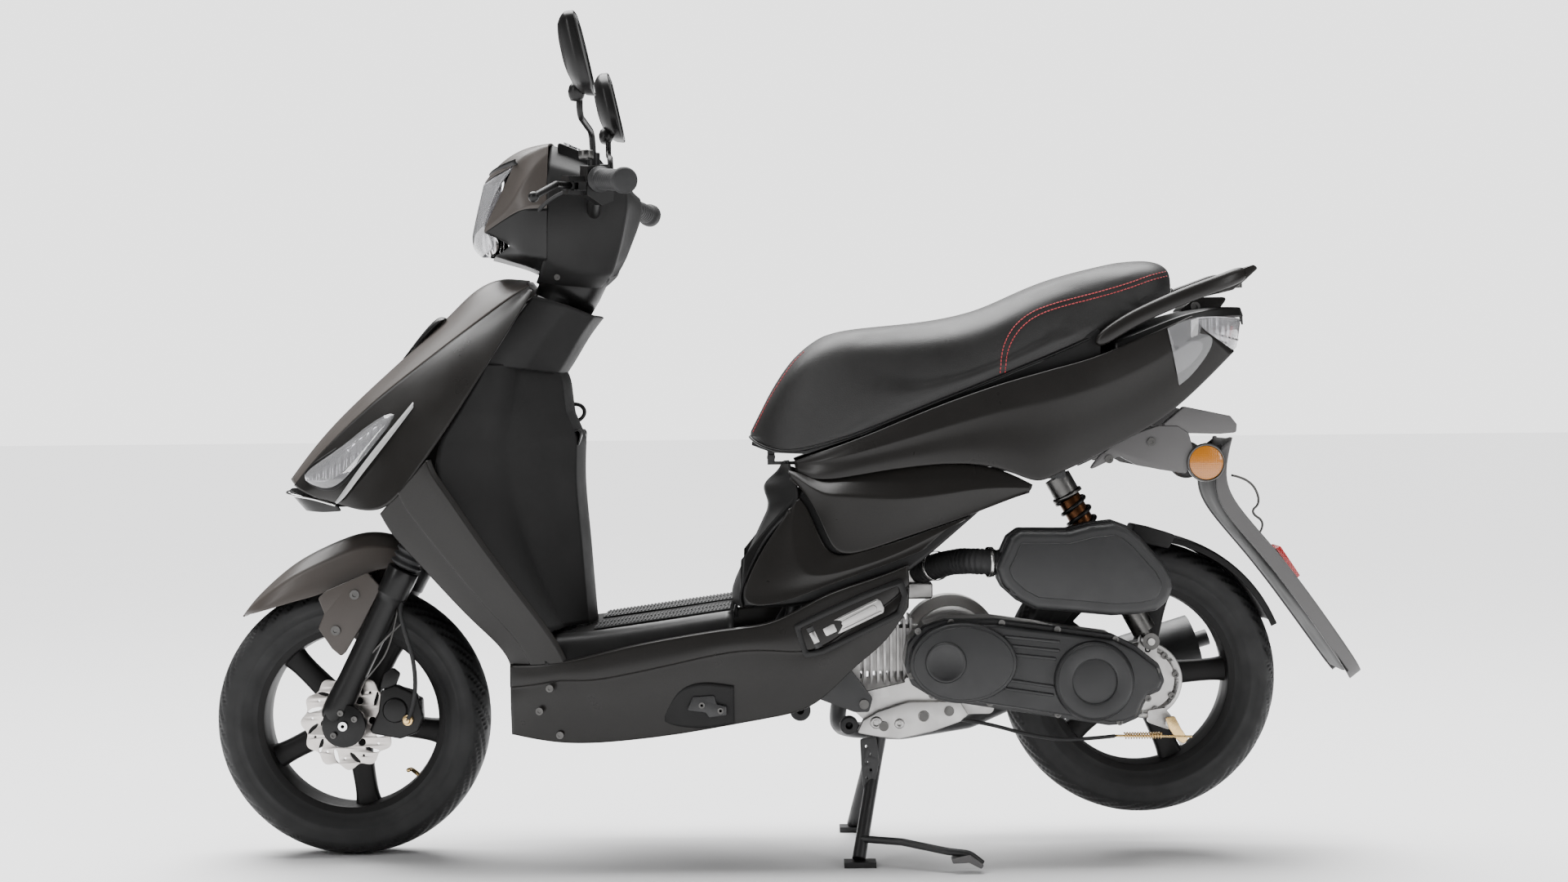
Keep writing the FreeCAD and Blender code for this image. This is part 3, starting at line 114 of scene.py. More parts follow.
# %% Make an object from points and faces
def add_object(name, verts, faces, smooth=True):
    mesh = bpy.data.meshes.new(name)
    mesh.from_pydata([tuple(v) for v in verts], [], faces)
    mesh.update()
    mesh.polygons.foreach_set("use_smooth", [smooth] * len(mesh.polygons))
    obj = bpy.data.objects.new(name, mesh)
    scene.collection.objects.link(obj)
    return obj


def face_away(obj, inside):
    """Turn a sheet so that its faces look away from a point inside the scooter."""
    total = sum((p.center - inside).dot(p.normal) * p.area for p in obj.data.polygons)
    if total < 0:
        obj.data.flip_normals()


def finish_piece(obj, body, look, replaces=()):
    obj.data.materials.clear()
    obj.data.materials.append(look)
    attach(obj, body)
    if replaces:
        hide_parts(*replaces)
    return obj


# %% Modifiers used again and again
def subdivide(obj, levels=2):
    mod = obj.modifiers.new("subdivision", "SUBSURF")
    mod.levels = mod.render_levels = levels
    return obj


def wall(obj, thickness):
    mod = obj.modifiers.new("wall", "SOLIDIFY")
    mod.thickness = thickness * MM
    mod.offset = -1
    return obj


def soften_edges(obj, width, segments=2, angle=35):
    mod = obj.modifiers.new("bevel", "BEVEL")
    mod.width = width * MM
    mod.segments = segments
    mod.limit_method = "ANGLE"
    mod.angle_limit = math.radians(angle)
    mod.harden_normals = False
    return obj


# %% Cages from rows of points
def cage(name, rows, loop=False, sharp_cols=(), sharp_rows=(), sharpness=0.8):
    """A grid through rows of points. Sharp columns and rows become creased styling lines."""
    count, width = len(rows), len(rows[0])
    verts = [p for row in rows for p in row]
    faces = []
    for i in range(count - 1):
        for j in range(width if loop else width - 1):
            k = (j + 1) % width
            faces.append((i * width + j, i * width + k, (i + 1) * width + k, (i + 1) * width + j))
    obj = add_object(name, verts, faces)
    crease = obj.data.attributes.new("crease_edge", "FLOAT", "EDGE")
    for edge in obj.data.edges:
        (i0, j0), (i1, j1) = (divmod(v, width) for v in edge.vertices)
        if (j0 == j1 and j0 in sharp_cols) or (i0 == i1 and i0 in sharp_rows):
            crease.data[edge.index].value = sharpness
    if not loop:
        corners = obj.data.attributes.new("crease_vert", "FLOAT", "POINT")
        for k in (0, width - 1, (count - 1) * width, count * width - 1):
            corners.data[k].value = 1.0
    return obj


def bow(upper, lower, depth, count=5, peak=0.5):
    """Points from an upper to a lower edge that swell to the left by depth."""
    row = []
    for i in range(count):
        t = i / (count - 1)
        swell = math.sin(math.pi * t ** (math.log(0.5) / math.log(peak)))
        row.append(Vector(upper).lerp(Vector(lower), t) - Vector((0, depth * swell, 0)))
    return row


def panel(name, rows, body, look, slot, replaces=(), inside=None, thick=3.0, levels=3, **sharp):
    obj = cage(name, rows, **sharp)
    points = [p for row in rows for p in row]
    if inside is None:
        inside = sum(points, Vector()) / len(points)
        inside.y = 0
    face_away(obj, inside)
    wall(subdivide(obj, levels), thick)
    return finish_piece(obj, body, look, replaces)


def panel_pair(name, rows, body, look, slot, replaces=(), **options):
    """The same panel on both sides of the scooter."""
    panel(name + "_left", rows, body, look, slot, replaces, **options)
    other = [[flip(p) for p in row] for row in rows]
    panel(name + "_right", other, body, look, slot, replaces, **options)


# %% Turned, flat and tubular shapes
def turned(name, profile, centre, axis=(0, 1, 0), steps=48, closed=False):
    """A profile of (radius, distance along the axis) in mm, turned about the axis through centre."""
    axis = Vector(axis).normalized()
    side = axis.orthogonal().normalized()
    other = axis.cross(side)
    rings = []
    for k in range(steps):
        a = 2 * math.pi * k / steps
        out = side * math.cos(a) + other * math.sin(a)
        rings.append([centre + out * r * MM + axis * d * MM for r, d in profile])
    count = len(profile)
    verts = [p for ring in rings for p in ring]
    faces = []
    for k in range(steps):
        n = (k + 1) % steps
        for j in range(count if closed else count - 1):
            m = (j + 1) % count
            faces.append((k * count + j, n * count + j, n * count + m, k * count + m))
    obj = add_object(name, verts, faces)
    clean(obj)
    return obj


def clean(obj, distance=1e-6):
    """Merge doubles and turn every face outwards."""
    bm = bmesh.new()
    bm.from_mesh(obj.data)
    bmesh.ops.remove_doubles(bm, verts=bm.verts, dist=distance)
    bmesh.ops.dissolve_degenerate(bm, edges=bm.edges, dist=distance)
    bmesh.ops.recalc_face_normals(bm, faces=bm.faces)
    bm.to_mesh(obj.data)
    bm.free()
    obj.data.polygons.foreach_set("use_smooth", [True] * len(obj.data.polygons))
    return obj


def round_corners(outline, radius, steps=4):
    """An outline of (x, z) with each corner replaced by an arc."""
    out = []
    count = len(outline)
    for i in range(count):
        corner = Vector(outline[i])
        before = Vector(outline[i - 1]) - corner
        after = Vector(outline[(i + 1) % count]) - corner
        half = before.angle(after) / 2
        cut = min(radius / math.tan(half), 0.45 * before.length, 0.45 * after.length)
        start = corner + before.normalized() * cut
        end = corner + after.normalized() * cut
        for k in range(steps + 1):
            t = k / steps
            out.append(start.lerp(corner, t).lerp(corner.lerp(end, t), t))
    return out


def plate(name, outline, y0, y1, radius=4.0, edge=1.5, segments=3):
    """An outline in the side view given a thickness in Y, with rounded corners and edges."""
    ring = round_corners(outline, radius) if radius else [Vector(p) for p in outline]
    count = len(ring)
    verts = [mm(p.x, y, p.y) for y in (y0, y1) for p in ring]
    faces = [tuple(range(count)), tuple(range(2 * count - 1, count - 1, -1))]
    for i in range(count):
        k = (i + 1) % count
        faces.append((i, i + count, k + count, k))
    obj = clean(add_object(name, verts, faces), 1e-5)
    if edge:
        soften_edges(obj, edge, segments)
    return obj


def tube(name, points, radius, steps=10, order=3, ends=True, spacing=4.0):
    """A round tube along the smooth line that a few points pull on."""
    line = smooth_line(points, order, spacing)
    rings = []
    side = (line[1] - line[0]).orthogonal().normalized()
    for i, p in enumerate(line):
        ahead = (line[min(i + 1, len(line) - 1)] - line[max(i - 1, 0)]).normalized()
        side = (side - ahead * side.dot(ahead)).normalized()
        other = ahead.cross(side)
        turns = [2 * math.pi * k / steps for k in range(steps)]
        rings.append([p + (side * math.cos(a) + other * math.sin(a)) * radius * MM for a in turns])
    obj = cage(name, rings, loop=True)
    obj.data.attributes.remove(obj.data.attributes["crease_edge"])
    if ends:
        bm = bmesh.new()
        bm.from_mesh(obj.data)
        bmesh.ops.holes_fill(bm, edges=bm.edges, sides=0)
        bmesh.ops.recalc_face_normals(bm, faces=bm.faces)
        bm.to_mesh(obj.data)
        bm.free()
        obj.data.polygons.foreach_set("use_smooth", [True] * len(obj.data.polygons))
    return obj


def smooth_line(points, order=3, spacing=4.0):
    """Points along a NURBS line that the given points (in metres) pull on."""
    curve = bpy.data.curves.new("route", "CURVE")
    curve.dimensions = "3D"
    curve.resolution_u = 12
    spline = curve.splines.new("NURBS")
    spline.points.add(len(points) - 1)
    for control, p in zip(spline.points, points):
        control.co = (*p, 1)
    spline.order_u = order
    spline.use_endpoint_u = True
    carrier = bpy.data.objects.new("route", curve)
    scene.collection.objects.link(carrier)
    mesh = bpy.data.meshes.new_from_object(carrier)
    line = [v.co.copy() for v in mesh.vertices]
    bpy.data.objects.remove(carrier)
    bpy.data.meshes.remove(mesh)
    bpy.data.curves.remove(curve)
    return line


def join(name, parts):
    """One object from several finished ones: their modifiers are applied first."""
    graph = bpy.context.evaluated_depsgraph_get()
    meshes = []
    for part in parts:
        graph.update()
        mesh = bpy.data.meshes.new_from_object(part.evaluated_get(graph))
        meshes.append(mesh)
    bm = bmesh.new()
    for mesh in meshes:
        bm.from_mesh(mesh)
    out = bpy.data.meshes.new(name)
    bm.to_mesh(out)
    bm.free()
    for part, mesh in zip(parts, meshes):
        bpy.data.meshes.remove(mesh)
        bpy.data.objects.remove(part)
    obj = bpy.data.objects.new(name, out)
    scene.collection.objects.link(obj)
    out.polygons.foreach_set("use_smooth", [True] * len(out.polygons))
    return obj


def sharp_by_angle(obj, angle=35):
    """Flat and round faces side by side: edges sharper than the angle are shaded sharp."""
    obj.data.set_sharp_from_angle(angle=math.radians(angle))
    return obj


# %% [markdown]
# ## Finishes
# Every finish is a small node tree on Object coordinates. Real plastic is never one flat colour:
# moulded grain scatters the highlight, colour drifts a little from place to place, and the roughness
# wanders. The helper below builds those three, and each finish adds what is its own.

# %% The shader helper
class Finish:
    """A Principled material with object coordinates and a few shorthand nodes."""

    def __init__(self, name, colour, roughness, metallic=0.0, **sockets):
        self.material = bpy.data.materials.new(name)
        self.material.use_nodes = True
        self.tree = self.material.node_tree
        self.shader = self.tree.nodes["Principled BSDF"]
        self.colour = colour
        self.shader.inputs["Base Color"].default_value = (*colour, 1)
        self.shader.inputs["Roughness"].default_value = roughness
        self.shader.inputs["Metallic"].default_value = metallic
        for key, value in sockets.items():
            self.shader.inputs[key.replace("_", " ").title().replace("Ior", "IOR")].default_value = value
        self.place = self.tree.nodes.new("ShaderNodeTexCoord").outputs["Object"]
        self.height = None

    def node(self, kind, inputs=None, **settings):
        made = self.tree.nodes.new("ShaderNode" + kind)
        for key, value in settings.items():
            setattr(made, key, value)
        for key, value in (inputs or {}).items():
            if isinstance(value, bpy.types.NodeSocket):
                self.tree.links.new(value, made.inputs[key])
            else:
                made.inputs[key].default_value = value
        return made

    def noise(self, scale, detail=3.0, where=None):
        return self.node("TexNoise", {"Vector": where or self.place, "Scale": scale, "Detail": detail}).outputs["Fac"]

    def range(self, value, low, high, start=0.3, stop=0.7):
        return self.node("MapRange", {"Value": value, "From Min": start, "From Max": stop,
                                      "To Min": low, "To Max": high}).outputs["Result"]

    def drift(self, amount, scale=9.0):
        """Let the colour drift lighter and darker by amount, in large soft patches."""
        dark = [c * (1 - amount) for c in self.colour]
        light = [min(1, c * (1 + amount)) for c in self.colour]
        mix = self.node("Mix", {"Factor": self.noise(scale), "A": (*dark, 1), "B": (*light, 1)}, data_type="RGBA")
        self.tree.links.new(mix.outputs[2], self.shader.inputs["Base Color"])
        return self

    def dull(self, low, high, scale=14.0, detail=5.0):
        """Let the roughness wander between two values."""
        self.tree.links.new(self.range(self.noise(scale, detail), low, high), self.shader.inputs["Roughness"])
        return self

    def bump(self, height, distance, strength=1.0):
        """Add a height pattern, in mm, on top of the ones already there."""
        settings = {"Height": height, "Distance": distance * MM, "Strength": strength}
        if self.height:
            settings["Normal"] = self.height
        self.height = self.node("Bump", settings).outputs["Normal"]
        self.tree.links.new(self.height, self.shader.inputs["Normal"])
        return self

    def grain(self, scale, distance, detail=2.0):
        return self.bump(self.noise(scale, detail), distance)


# %% Painted and moulded plastics
def satin_panel(name, colour, roughness, shine=0.24):
    """Painted body plastic: metal flakes under satin lacquer, with a very slight orange peel."""
    look = Finish(name, colour, roughness, specular_ior_level=shine, coat_weight=0.05, coat_roughness=0.16)
    look.drift(0.07).dull(roughness - 0.04, roughness + 0.05)
    flake = look.node("TexVoronoi", {"Vector": look.place, "Scale": 1600.0}).outputs["Distance"]
    look.tree.links.new(look.range(flake, 0.3, 0.0, 0.2, 0.5), look.shader.inputs["Metallic"])
    return look.grain(160, 0.03)


def grained_plastic(name, colour, roughness, scale=900.0, depth=0.06):
    """Bare moulded plastic with a fine leather-like grain from the tool."""
    look = Finish(name, colour, roughness, specular_ior_level=0.26)
    look.drift(0.10).dull(roughness - 0.06, roughness + 0.08)
    cells = look.node("TexVoronoi", {"Vector": look.place, "Scale": scale}, feature="SMOOTH_F1").outputs["Distance"]
    return look.bump(cells, depth).grain(scale / 5, depth)


NOSE = satin_panel("taupe_metallic", (0.060, 0.052, 0.047), 0.36).material
PANEL = satin_panel("graphite_satin", (0.0120, 0.0110, 0.0102), 0.31).material
TAIL_LOOK = satin_panel("tail_satin", (0.0135, 0.0125, 0.0118), 0.31).material
BLACK = grained_plastic("black_moulding", (0.0070, 0.0068, 0.0068), 0.58).material
BLACK_FINE = grained_plastic("black_fine_moulding", (0.0062, 0.0060, 0.0060), 0.32, 1800, 0.03).material
GREY = satin_panel("grey_moulding", (0.115, 0.112, 0.112), 0.38).material
STRIP = satin_panel("silver_strip", (0.42, 0.42, 0.42), 0.28).material

# %% [markdown]
# Rubber, vinyl and metal need other patterns. Rubber is dull with a faint bloom, vinyl has a pebble
# grain, cast metal is pitted, turned metal shows fine lines, and the black case paint is crackled.


# %% Rubber, vinyl and metals
def rubber(name, colour=(0.018, 0.018, 0.0185), roughness=0.62):
    look = Finish(name, colour, roughness, specular_ior_level=0.35)
    return look.drift(0.25, 22).dull(roughness - 0.08, roughness + 0.1, 30).grain(700, 0.05, 4)


def seat_vinyl():
    look = Finish("seat_vinyl", (0.0125, 0.0120, 0.0118), 0.46, specular_ior_level=0.36)
    look.drift(0.12).dull(0.40, 0.52)
    pebble = look.node("TexVoronoi", {"Vector": look.place, "Scale": 620.0}, feature="SMOOTH_F1")
    crease = look.node("TexVoronoi", {"Vector": look.place, "Scale": 330.0}, feature="DISTANCE_TO_EDGE")
    lines = look.range(crease.outputs["Distance"], 0, 1, 0.0, 0.12)
    return look.bump(pebble.outputs["Distance"], 0.10).bump(lines, 0.09)


def cast_metal(name, colour, roughness):
    look = Finish(name, colour, roughness, 1.0)
    return look.drift(0.12, 18).dull(roughness - 0.08, roughness + 0.12, 40).grain(420, 0.12, 5)


def turned_metal(name, colour, roughness, centre):
    """Fine rings about an axle, as a lathe or a grinding wheel leaves them."""
    look = Finish(name, colour, roughness, 1.0)
    place = look.node("Mapping", {"Vector": look.place, "Location": tuple(-c for c in centre)}).outputs["Vector"]
    rings = look.node("TexWave", {"Vector": place, "Scale": 260.0, "Distortion": 0.6, "Detail": 2.0},
                      wave_type="RINGS", rings_direction="Y").outputs["Fac"]
    return look.drift(0.06, 30).dull(roughness - 0.05, roughness + 0.08, 60).bump(rings, 0.015)


def plated(name, colour, roughness):
    look = Finish(name, colour, roughness, 1.0)
    return look.drift(0.10, 60).dull(roughness * 0.7, roughness * 1.4, 90).grain(300, 0.02)


def crackle_paint(name, colour, roughness):
    look = Finish(name, colour, roughness, specular_ior_level=0.5)
    cells = look.node("TexVoronoi", {"Vector": look.place, "Scale": 700.0}, feature="DISTANCE_TO_EDGE")
    look.drift(0.15, 12).dull(roughness - 0.05, roughness + 0.1, 30)
    return look.bump(look.range(cells.outputs["Distance"], 0, 1, 0, 0.2), 0.06).grain(350, 0.05)


RUBBER = rubber("rubber").material
TYRE = rubber("tyre_rubber", (0.0105, 0.0105, 0.0108), 0.58).material
VINYL = seat_vinyl().material
ALLOY = cast_metal("cast_alloy", (0.50, 0.49, 0.48), 0.42).material
CASE_LOOK = crackle_paint("case_paint", (0.0100, 0.0100, 0.0106), 0.42).material
FRAME_PAINT = crackle_paint("frame_paint", (0.014, 0.014, 0.0145), 0.36).material
RIM_PAINT = satin_panel("rim_paint", (0.0095, 0.0092, 0.0092), 0.48, 0.12).material
DISC_STEEL = turned_metal("disc_steel", (0.66, 0.62, 0.59), 0.34, FRONT_AXLE).material
STEEL = plated("bright_steel", (0.62, 0.61, 0.60), 0.24).material
DARK_STEEL = plated("black_zinc_screw", (0.10, 0.098, 0.095), 0.34).material
CHROME = plated("chrome", (0.80, 0.80, 0.80), 0.09).material
GOLD = plated("yellow_zinc", (0.74, 0.52, 0.24), 0.26).material
COPPER = plated("bronze_damper", (0.085, 0.036, 0.016), 0.34).material
RED = Finish("red_switch", (0.62, 0.012, 0.014), 0.32, coat_weight=0.3).drift(0.1).grain(900, 0.02).material
THREAD = Finish("red_thread", (0.46, 0.012, 0.02), 0.62, sheen_weight=0.3).drift(0.15, 200).grain(2500, 0.05).material


# %% [markdown]
# Clear lamp covers are glass-like plastic. Reflectors are moulded prisms: a small repeating pattern
# of cells. Each cell is painted lighter in its middle and darker at its edge, a painted glint of the
# light that the prisms send back.

# %% Lenses and reflectors
def clear_lens(name, tint=(0.84, 0.84, 0.86)):
    look = Finish(name, tint, 0.06, transmission_weight=0.86, ior=1.45, coat_weight=0.5, coat_roughness=0.03)
    return look.grain(60, 0.04)


def lamp_bowl(name):
    """Vacuum-plated plastic with flutes down it, which break the light into bright and dark bars."""
    look = plated(name, (0.74, 0.73, 0.74), 0.14)
    flutes = look.node("TexWave", {"Vector": look.place, "Scale": 26.0, "Distortion": 0.3},
                       bands_direction="X").outputs["Fac"]
    return look.bump(flutes, 2.5)


def prism_reflector(name, colour, centre):
    look = Finish(name, colour, 0.18, coat_weight=0.9, coat_roughness=0.05)
    place = look.node("Mapping", {"Vector": look.place, "Location": tuple(-c for c in centre)}).outputs["Vector"]
    cells = look.node("TexVoronoi", {"Vector": place, "Scale": 330.0, "Randomness": 0.0}).outputs["Distance"]
    # Painted glint: each cell's colour is lighter in its middle and darker at its edge, for the light that the prisms
    # send back.
    light = look.node("Mix", {"Factor": look.range(cells, 0, 1, 0.1, 0.6), "A": (*[min(1, c * 1.5) for c in colour], 1),
                              "B": (*[c * 0.55 for c in colour], 1)}, data_type="RGBA")
    look.tree.links.new(light.outputs[2], look.shader.inputs["Base Color"])
    return look.bump(cells, 0.8)


LENS = clear_lens("clear_lens").material
MIRROR_GLASS = Finish("mirror_glass", (0.86, 0.88, 0.88), 0.02, 1.0).drift(0.01).material
REFLECTOR_BOWL = lamp_bowl("lamp_bowl").material
AMBER = prism_reflector("amber_prisms", (0.86, 0.28, 0.01), middle("reflectors")).material
RED_PRISM = prism_reflector("red_prisms", (0.60, 0.01, 0.012), middle("reflectors")).material
print(len(bpy.data.materials), "finishes")


# %% [markdown]
# ## Wheels
# The tyre is one closed ring. Its tread is cut by moving points inwards: on each shoulder a row of
# hooked grooves leans away from the rolling direction, so that water is thrown outwards. Real grooves
# in the mesh catch the light at the tyre's edge, which a bump map can't do.

# %% Tyres with a directional tread
TREAD_STEPS = 864
GROOVES = 24


def groove_depth(angle, across):
    """How deep, in mm, the tread is cut at an angle round the wheel and a distance from the middle."""
    side = 1 if across > 0 else -1
    out = abs(across) / 50
    if out < 0.16 or out > 0.97:
        return 0.0
    turn = angle * GROOVES / (2 * math.pi) + (0.25 if side > 0 else -0.25)
    hook = turn - 1.35 * out ** 1.7
    near = abs((hook % 1.0) - 0.5)
    long_cut = max(0.0, 1 - near / 0.085)
    short = abs(((hook + 0.5) % 1.0) - 0.5)
    short_cut = max(0.0, 1 - short / 0.06) if out > 0.52 else 0.0
    fade = min(1.0, (out - 0.16) / 0.08, (0.97 - out) / 0.08)
    return 3.6 * min(1.0, 1.6 * max(long_cut, short_cut)) * fade


def tyre(name, centre, body, node):
    outline = [(159, -37), (166, -41), (172, -45.5), (180, -47.5), (183, -49.3), (185, -48.2), (194, -49.6)]
    for k in range(29):
        a = math.radians(-76 + 152 * k / 28)
        outline.append((194 + 35.5 * math.cos(a) ** 0.82, 50 * math.sin(a) / math.sin(math.radians(76))))
    outline += [(r, -y) for r, y in reversed(outline[:7])]
    inner = [(150, 34), (176, 40), (206, 30), (216, 0), (206, -30), (176, -40), (150, -34)]
    profile = outline + inner
    verts, faces = [], []
    for step in range(TREAD_STEPS):
        angle = 2 * math.pi * step / TREAD_STEPS
        for index, (radius, across) in enumerate(profile):
            if 7 <= index < 36:
                radius -= groove_depth(angle, across)
            r = radius * MM * TYRE_R / 0.2295
            verts.append(centre + Vector((math.cos(angle) * r, across * MM, math.sin(angle) * r)))
    count = len(profile)
    for step in range(TREAD_STEPS):
        after = (step + 1) % TREAD_STEPS
        for j in range(count):
            k = (j + 1) % count
            faces.append((step * count + j, step * count + k, after * count + k, after * count + j))
    obj = clean(add_object(name, verts, faces))
    finish_piece(obj, body, TYRE, [node])
    print(name, len(obj.data.polygons), "faces")


tyre("tyre_front", FRONT_AXLE, "front_wheel", "front_tyre")
tyre("tyre_rear", REAR_AXLE, "rear_wheel", "rear_tyre")

# %% [markdown]
# The cast rims have five broad flat spokes. Each spoke starts as a six-sided bar whose rings widen at
# the hub and at the barrel, and a subdivision rounds it, as the radii of a casting do.


# %% Rims
def spoke(name, centre, angle, root, tip):
    out = Vector((math.cos(angle), 0, math.sin(angle)))
    side = Vector((-out.z, 0, out.x))
    rings = []
    for radius, half, deep in ((30, root + 7, 17), (44, root + 1, 16), (90, (root + tip) / 2, 14.5),
                               (132, tip + 1, 14), (150, tip + 6, 17)):
        shape = ((-1, -0.62), (-0.62, -1), (0.62, -1), (1, -0.62), (1, 0.62), (0.62, 1), (-0.62, 1), (-1, 0.62))
        rings.append([centre + (out * radius + side * half * a + Vector((0, deep * b, 0))) * MM for a, b in shape])
    obj = cage(name, rings, loop=True)
    return subdivide(clean(obj), 2)


def rim(name, centre, body, node, first_spoke, hub):
    barrel = [(147, -35), (168, -38), (168.6, -36.6), (168, -34), (158, -32), (158, -18), (151, -8), (151, 8),
              (158, 18), (158, 32), (168, 34), (168.6, 36.6), (168, 38), (147, 35), (146, 20), (144, 6), (144, -6),
              (146, -20)]
    parts = [soften_edges(turned(name + "_barrel", barrel, centre, steps=144, closed=True), 1.0, 2)]
    parts.append(soften_edges(turned(name + "_hub", hub, centre, steps=72), 1.2, 2))
    for k in range(5):
        angle = math.radians(first_spoke + 72 * k)
        parts.append(spoke(name + "_spoke", centre, angle, 20.5, 17.5))
    obj = join(name, parts)
    sharp_by_angle(obj, 50)
    finish_piece(obj, body, RIM_PAINT, [node])


rim("rim_front", FRONT_AXLE, "front_wheel", "front_rim", -81.5,
    [(8, -50), (30, -50), (32, -47), (33, -20), (36, 0), (33, 20), (32, 47), (30, 50), (8, 50)])
rim("rim_rear", REAR_AXLE, "rear_wheel", "rear_rim", 4.0,
    [(8, -60), (60, -60), (63, -57), (64, -30), (58, -24), (46, 30), (40, 62), (30, 66), (8, 66)])

# %% [markdown]
# The brake disc is a wavy plate with slanted slots. Blender fills a flat curve that has holes in it and
# gives it thickness, so the outline and its holes are drawn and nothing has to be cut.


# %% Filled plates with holes
def plate_with_holes(name, loops, centre, thickness, bevel=0.4):
    """Closed loops of (x, z) in mm about the centre: the first is the outline, the rest are holes."""
    curve = bpy.data.curves.new(name, "CURVE")
    curve.dimensions = "2D"
    curve.fill_mode = "BOTH"
    curve.extrude = thickness * MM / 2 - bevel * MM
    curve.bevel_depth = bevel * MM
    curve.bevel_resolution = 1
    for loop in loops:
        spline = curve.splines.new("POLY")
        spline.points.add(len(loop) - 1)
        for point, (x, z) in zip(spline.points, loop):
            point.co = (x * MM, z * MM, 0, 1)
        spline.use_cyclic_u = True
    carrier = bpy.data.objects.new(name, curve)
    scene.collection.objects.link(carrier)
    mesh = bpy.data.meshes.new_from_object(carrier)
    bpy.data.objects.remove(carrier)
    bpy.data.curves.remove(curve)
    mesh.transform(Matrix.Translation(centre) @ Matrix.Rotation(math.radians(90), 4, "X"))
    obj = bpy.data.objects.new(name, mesh)
    scene.collection.objects.link(obj)
    clean(obj, 1e-6)
    return sharp_by_angle(obj, 30)


def ring_points(radius, count, centre=(0, 0)):
    turn = [2 * math.pi * k / count for k in range(count)]
    return [(centre[0] + radius * math.cos(a), centre[1] + radius * math.sin(a)) for a in turn]


def slot_points(inner, outer, start, lean, width, steps=7):
    """A slanted slot with round ends, from an inner to an outer radius."""
    loop = []
    for side in (1, -1):
        for k in range(steps):
            t = k / (steps - 1) if side > 0 else 1 - k / (steps - 1)
            radius = inner + (outer - inner) * t
            swell = width * math.sqrt(max(0.02, 1 - (2 * t - 1) ** 4)) / 2
            a = start + lean * t + side * swell / radius
            loop.append((radius * math.cos(a), radius * math.sin(a)))
    return loop


def wave_disc():
    lobes, steps = 12, 240
    edge = []
    for k in range(steps):
        a = 2 * math.pi * k / steps
        edge.append(((75.5 + 4.2 * math.cos(lobes * a)) * math.cos(a), (75.5 + 4.2 * math.cos(lobes * a)) * math.sin(a)))
    loops = [edge, ring_points(30, 48)]
    for k in range(lobes):
        a = 2 * math.pi * (k + 0.1) / lobes
        loops.append(slot_points(50, 71, a, 0.22, 8.5))
        loops.append(ring_points(2.6, 12, (61 * math.cos(a + 0.36), 61 * math.sin(a + 0.36))))
        if k % 2 == 0:
            loops.append(ring_points(7, 16, (40 * math.cos(a), 40 * math.sin(a))))
    centre = FRONT_AXLE + Vector((0, middle("brake_disc").y, 0))
    return plate_with_holes("wave_disc", loops, centre, 4.0)


finish_piece(wave_disc(), "front_wheel", DISC_STEEL, ["brake_disc"])

# %% [markdown]
# ## Screws, bolts and other things that repeat
# A scooter is held together by dozens of screws. One Geometry Nodes tree makes them all: it takes a
# cloud of points whose normals say where each screw faces, puts a head on every point, and realises
# the copies. The head's radius and height are named inputs, so one tree makes small screws and bolts.


# %% A Geometry Nodes tree for screw heads
def screw_tree():
    tree = bpy.data.node_groups.new("Screw heads", "GeometryNodeTree")
    face = tree.interface
    face.new_socket("Geometry", in_out="INPUT", socket_type="NodeSocketGeometry")
    for label, value in (("Head radius", 0.004), ("Head height", 0.002), ("Socket radius", 0.0018)):
        face.new_socket(label, in_out="INPUT", socket_type="NodeSocketFloat").default_value = value
    face.new_socket("Finish", in_out="INPUT", socket_type="NodeSocketMaterial")
    face.new_socket("Geometry", in_out="OUTPUT", socket_type="NodeSocketGeometry")
    nodes, links = tree.nodes, tree.links
    given, out = nodes.new("NodeGroupInput"), nodes.new("NodeGroupOutput")

    def cylinder(radius, depth, sides):
        made = nodes.new("GeometryNodeMeshCylinder")
        made.inputs["Vertices"].default_value = sides
        links.new(given.outputs[radius], made.inputs["Radius"])
        links.new(given.outputs[depth], made.inputs["Depth"])
        return made

    head = cylinder("Head radius", "Head height", 20)
    hole = cylinder("Socket radius", "Head height", 6)
    lift = nodes.new("GeometryNodeTransform")
    shift = nodes.new("ShaderNodeCombineXYZ")
    links.new(given.outputs["Head height"], shift.inputs["Z"])
    links.new(hole.outputs["Mesh"], lift.inputs["Geometry"])
    half = nodes.new("ShaderNodeVectorMath")
    half.operation = "SCALE"
    half.inputs["Scale"].default_value = 0.5
    links.new(shift.outputs[0], half.inputs[0])
    links.new(half.outputs[0], lift.inputs["Translation"])
    bore = nodes.new("GeometryNodeMeshBoolean")
    bore.operation = "DIFFERENCE"
    links.new(head.outputs["Mesh"], bore.inputs["Mesh 1"])
    links.new(lift.outputs[0], bore.inputs["Mesh 2"])
    normal = nodes.new("GeometryNodeInputNamedAttribute")
    normal.data_type = "FLOAT_VECTOR"
    normal.inputs["Name"].default_value = "facing"
    turn = nodes.new("FunctionNodeAlignRotationToVector")
    turn.axis = "Z"
    links.new(normal.outputs[0], turn.inputs["Vector"])
    place = nodes.new("GeometryNodeInstanceOnPoints")
    links.new(given.outputs["Geometry"], place.inputs["Points"])
    links.new(bore.outputs["Mesh"], place.inputs["Instance"])
    links.new(turn.outputs[0], place.inputs["Rotation"])
    real = nodes.new("GeometryNodeRealizeInstances")
    links.new(place.outputs[0], real.inputs[0])
    paint = nodes.new("GeometryNodeSetMaterial")
    links.new(real.outputs[0], paint.inputs["Geometry"])
    links.new(given.outputs["Finish"], paint.inputs["Material"])
    links.new(paint.outputs[0], out.inputs[0])
    return tree


SCREW_TREE = screw_tree()


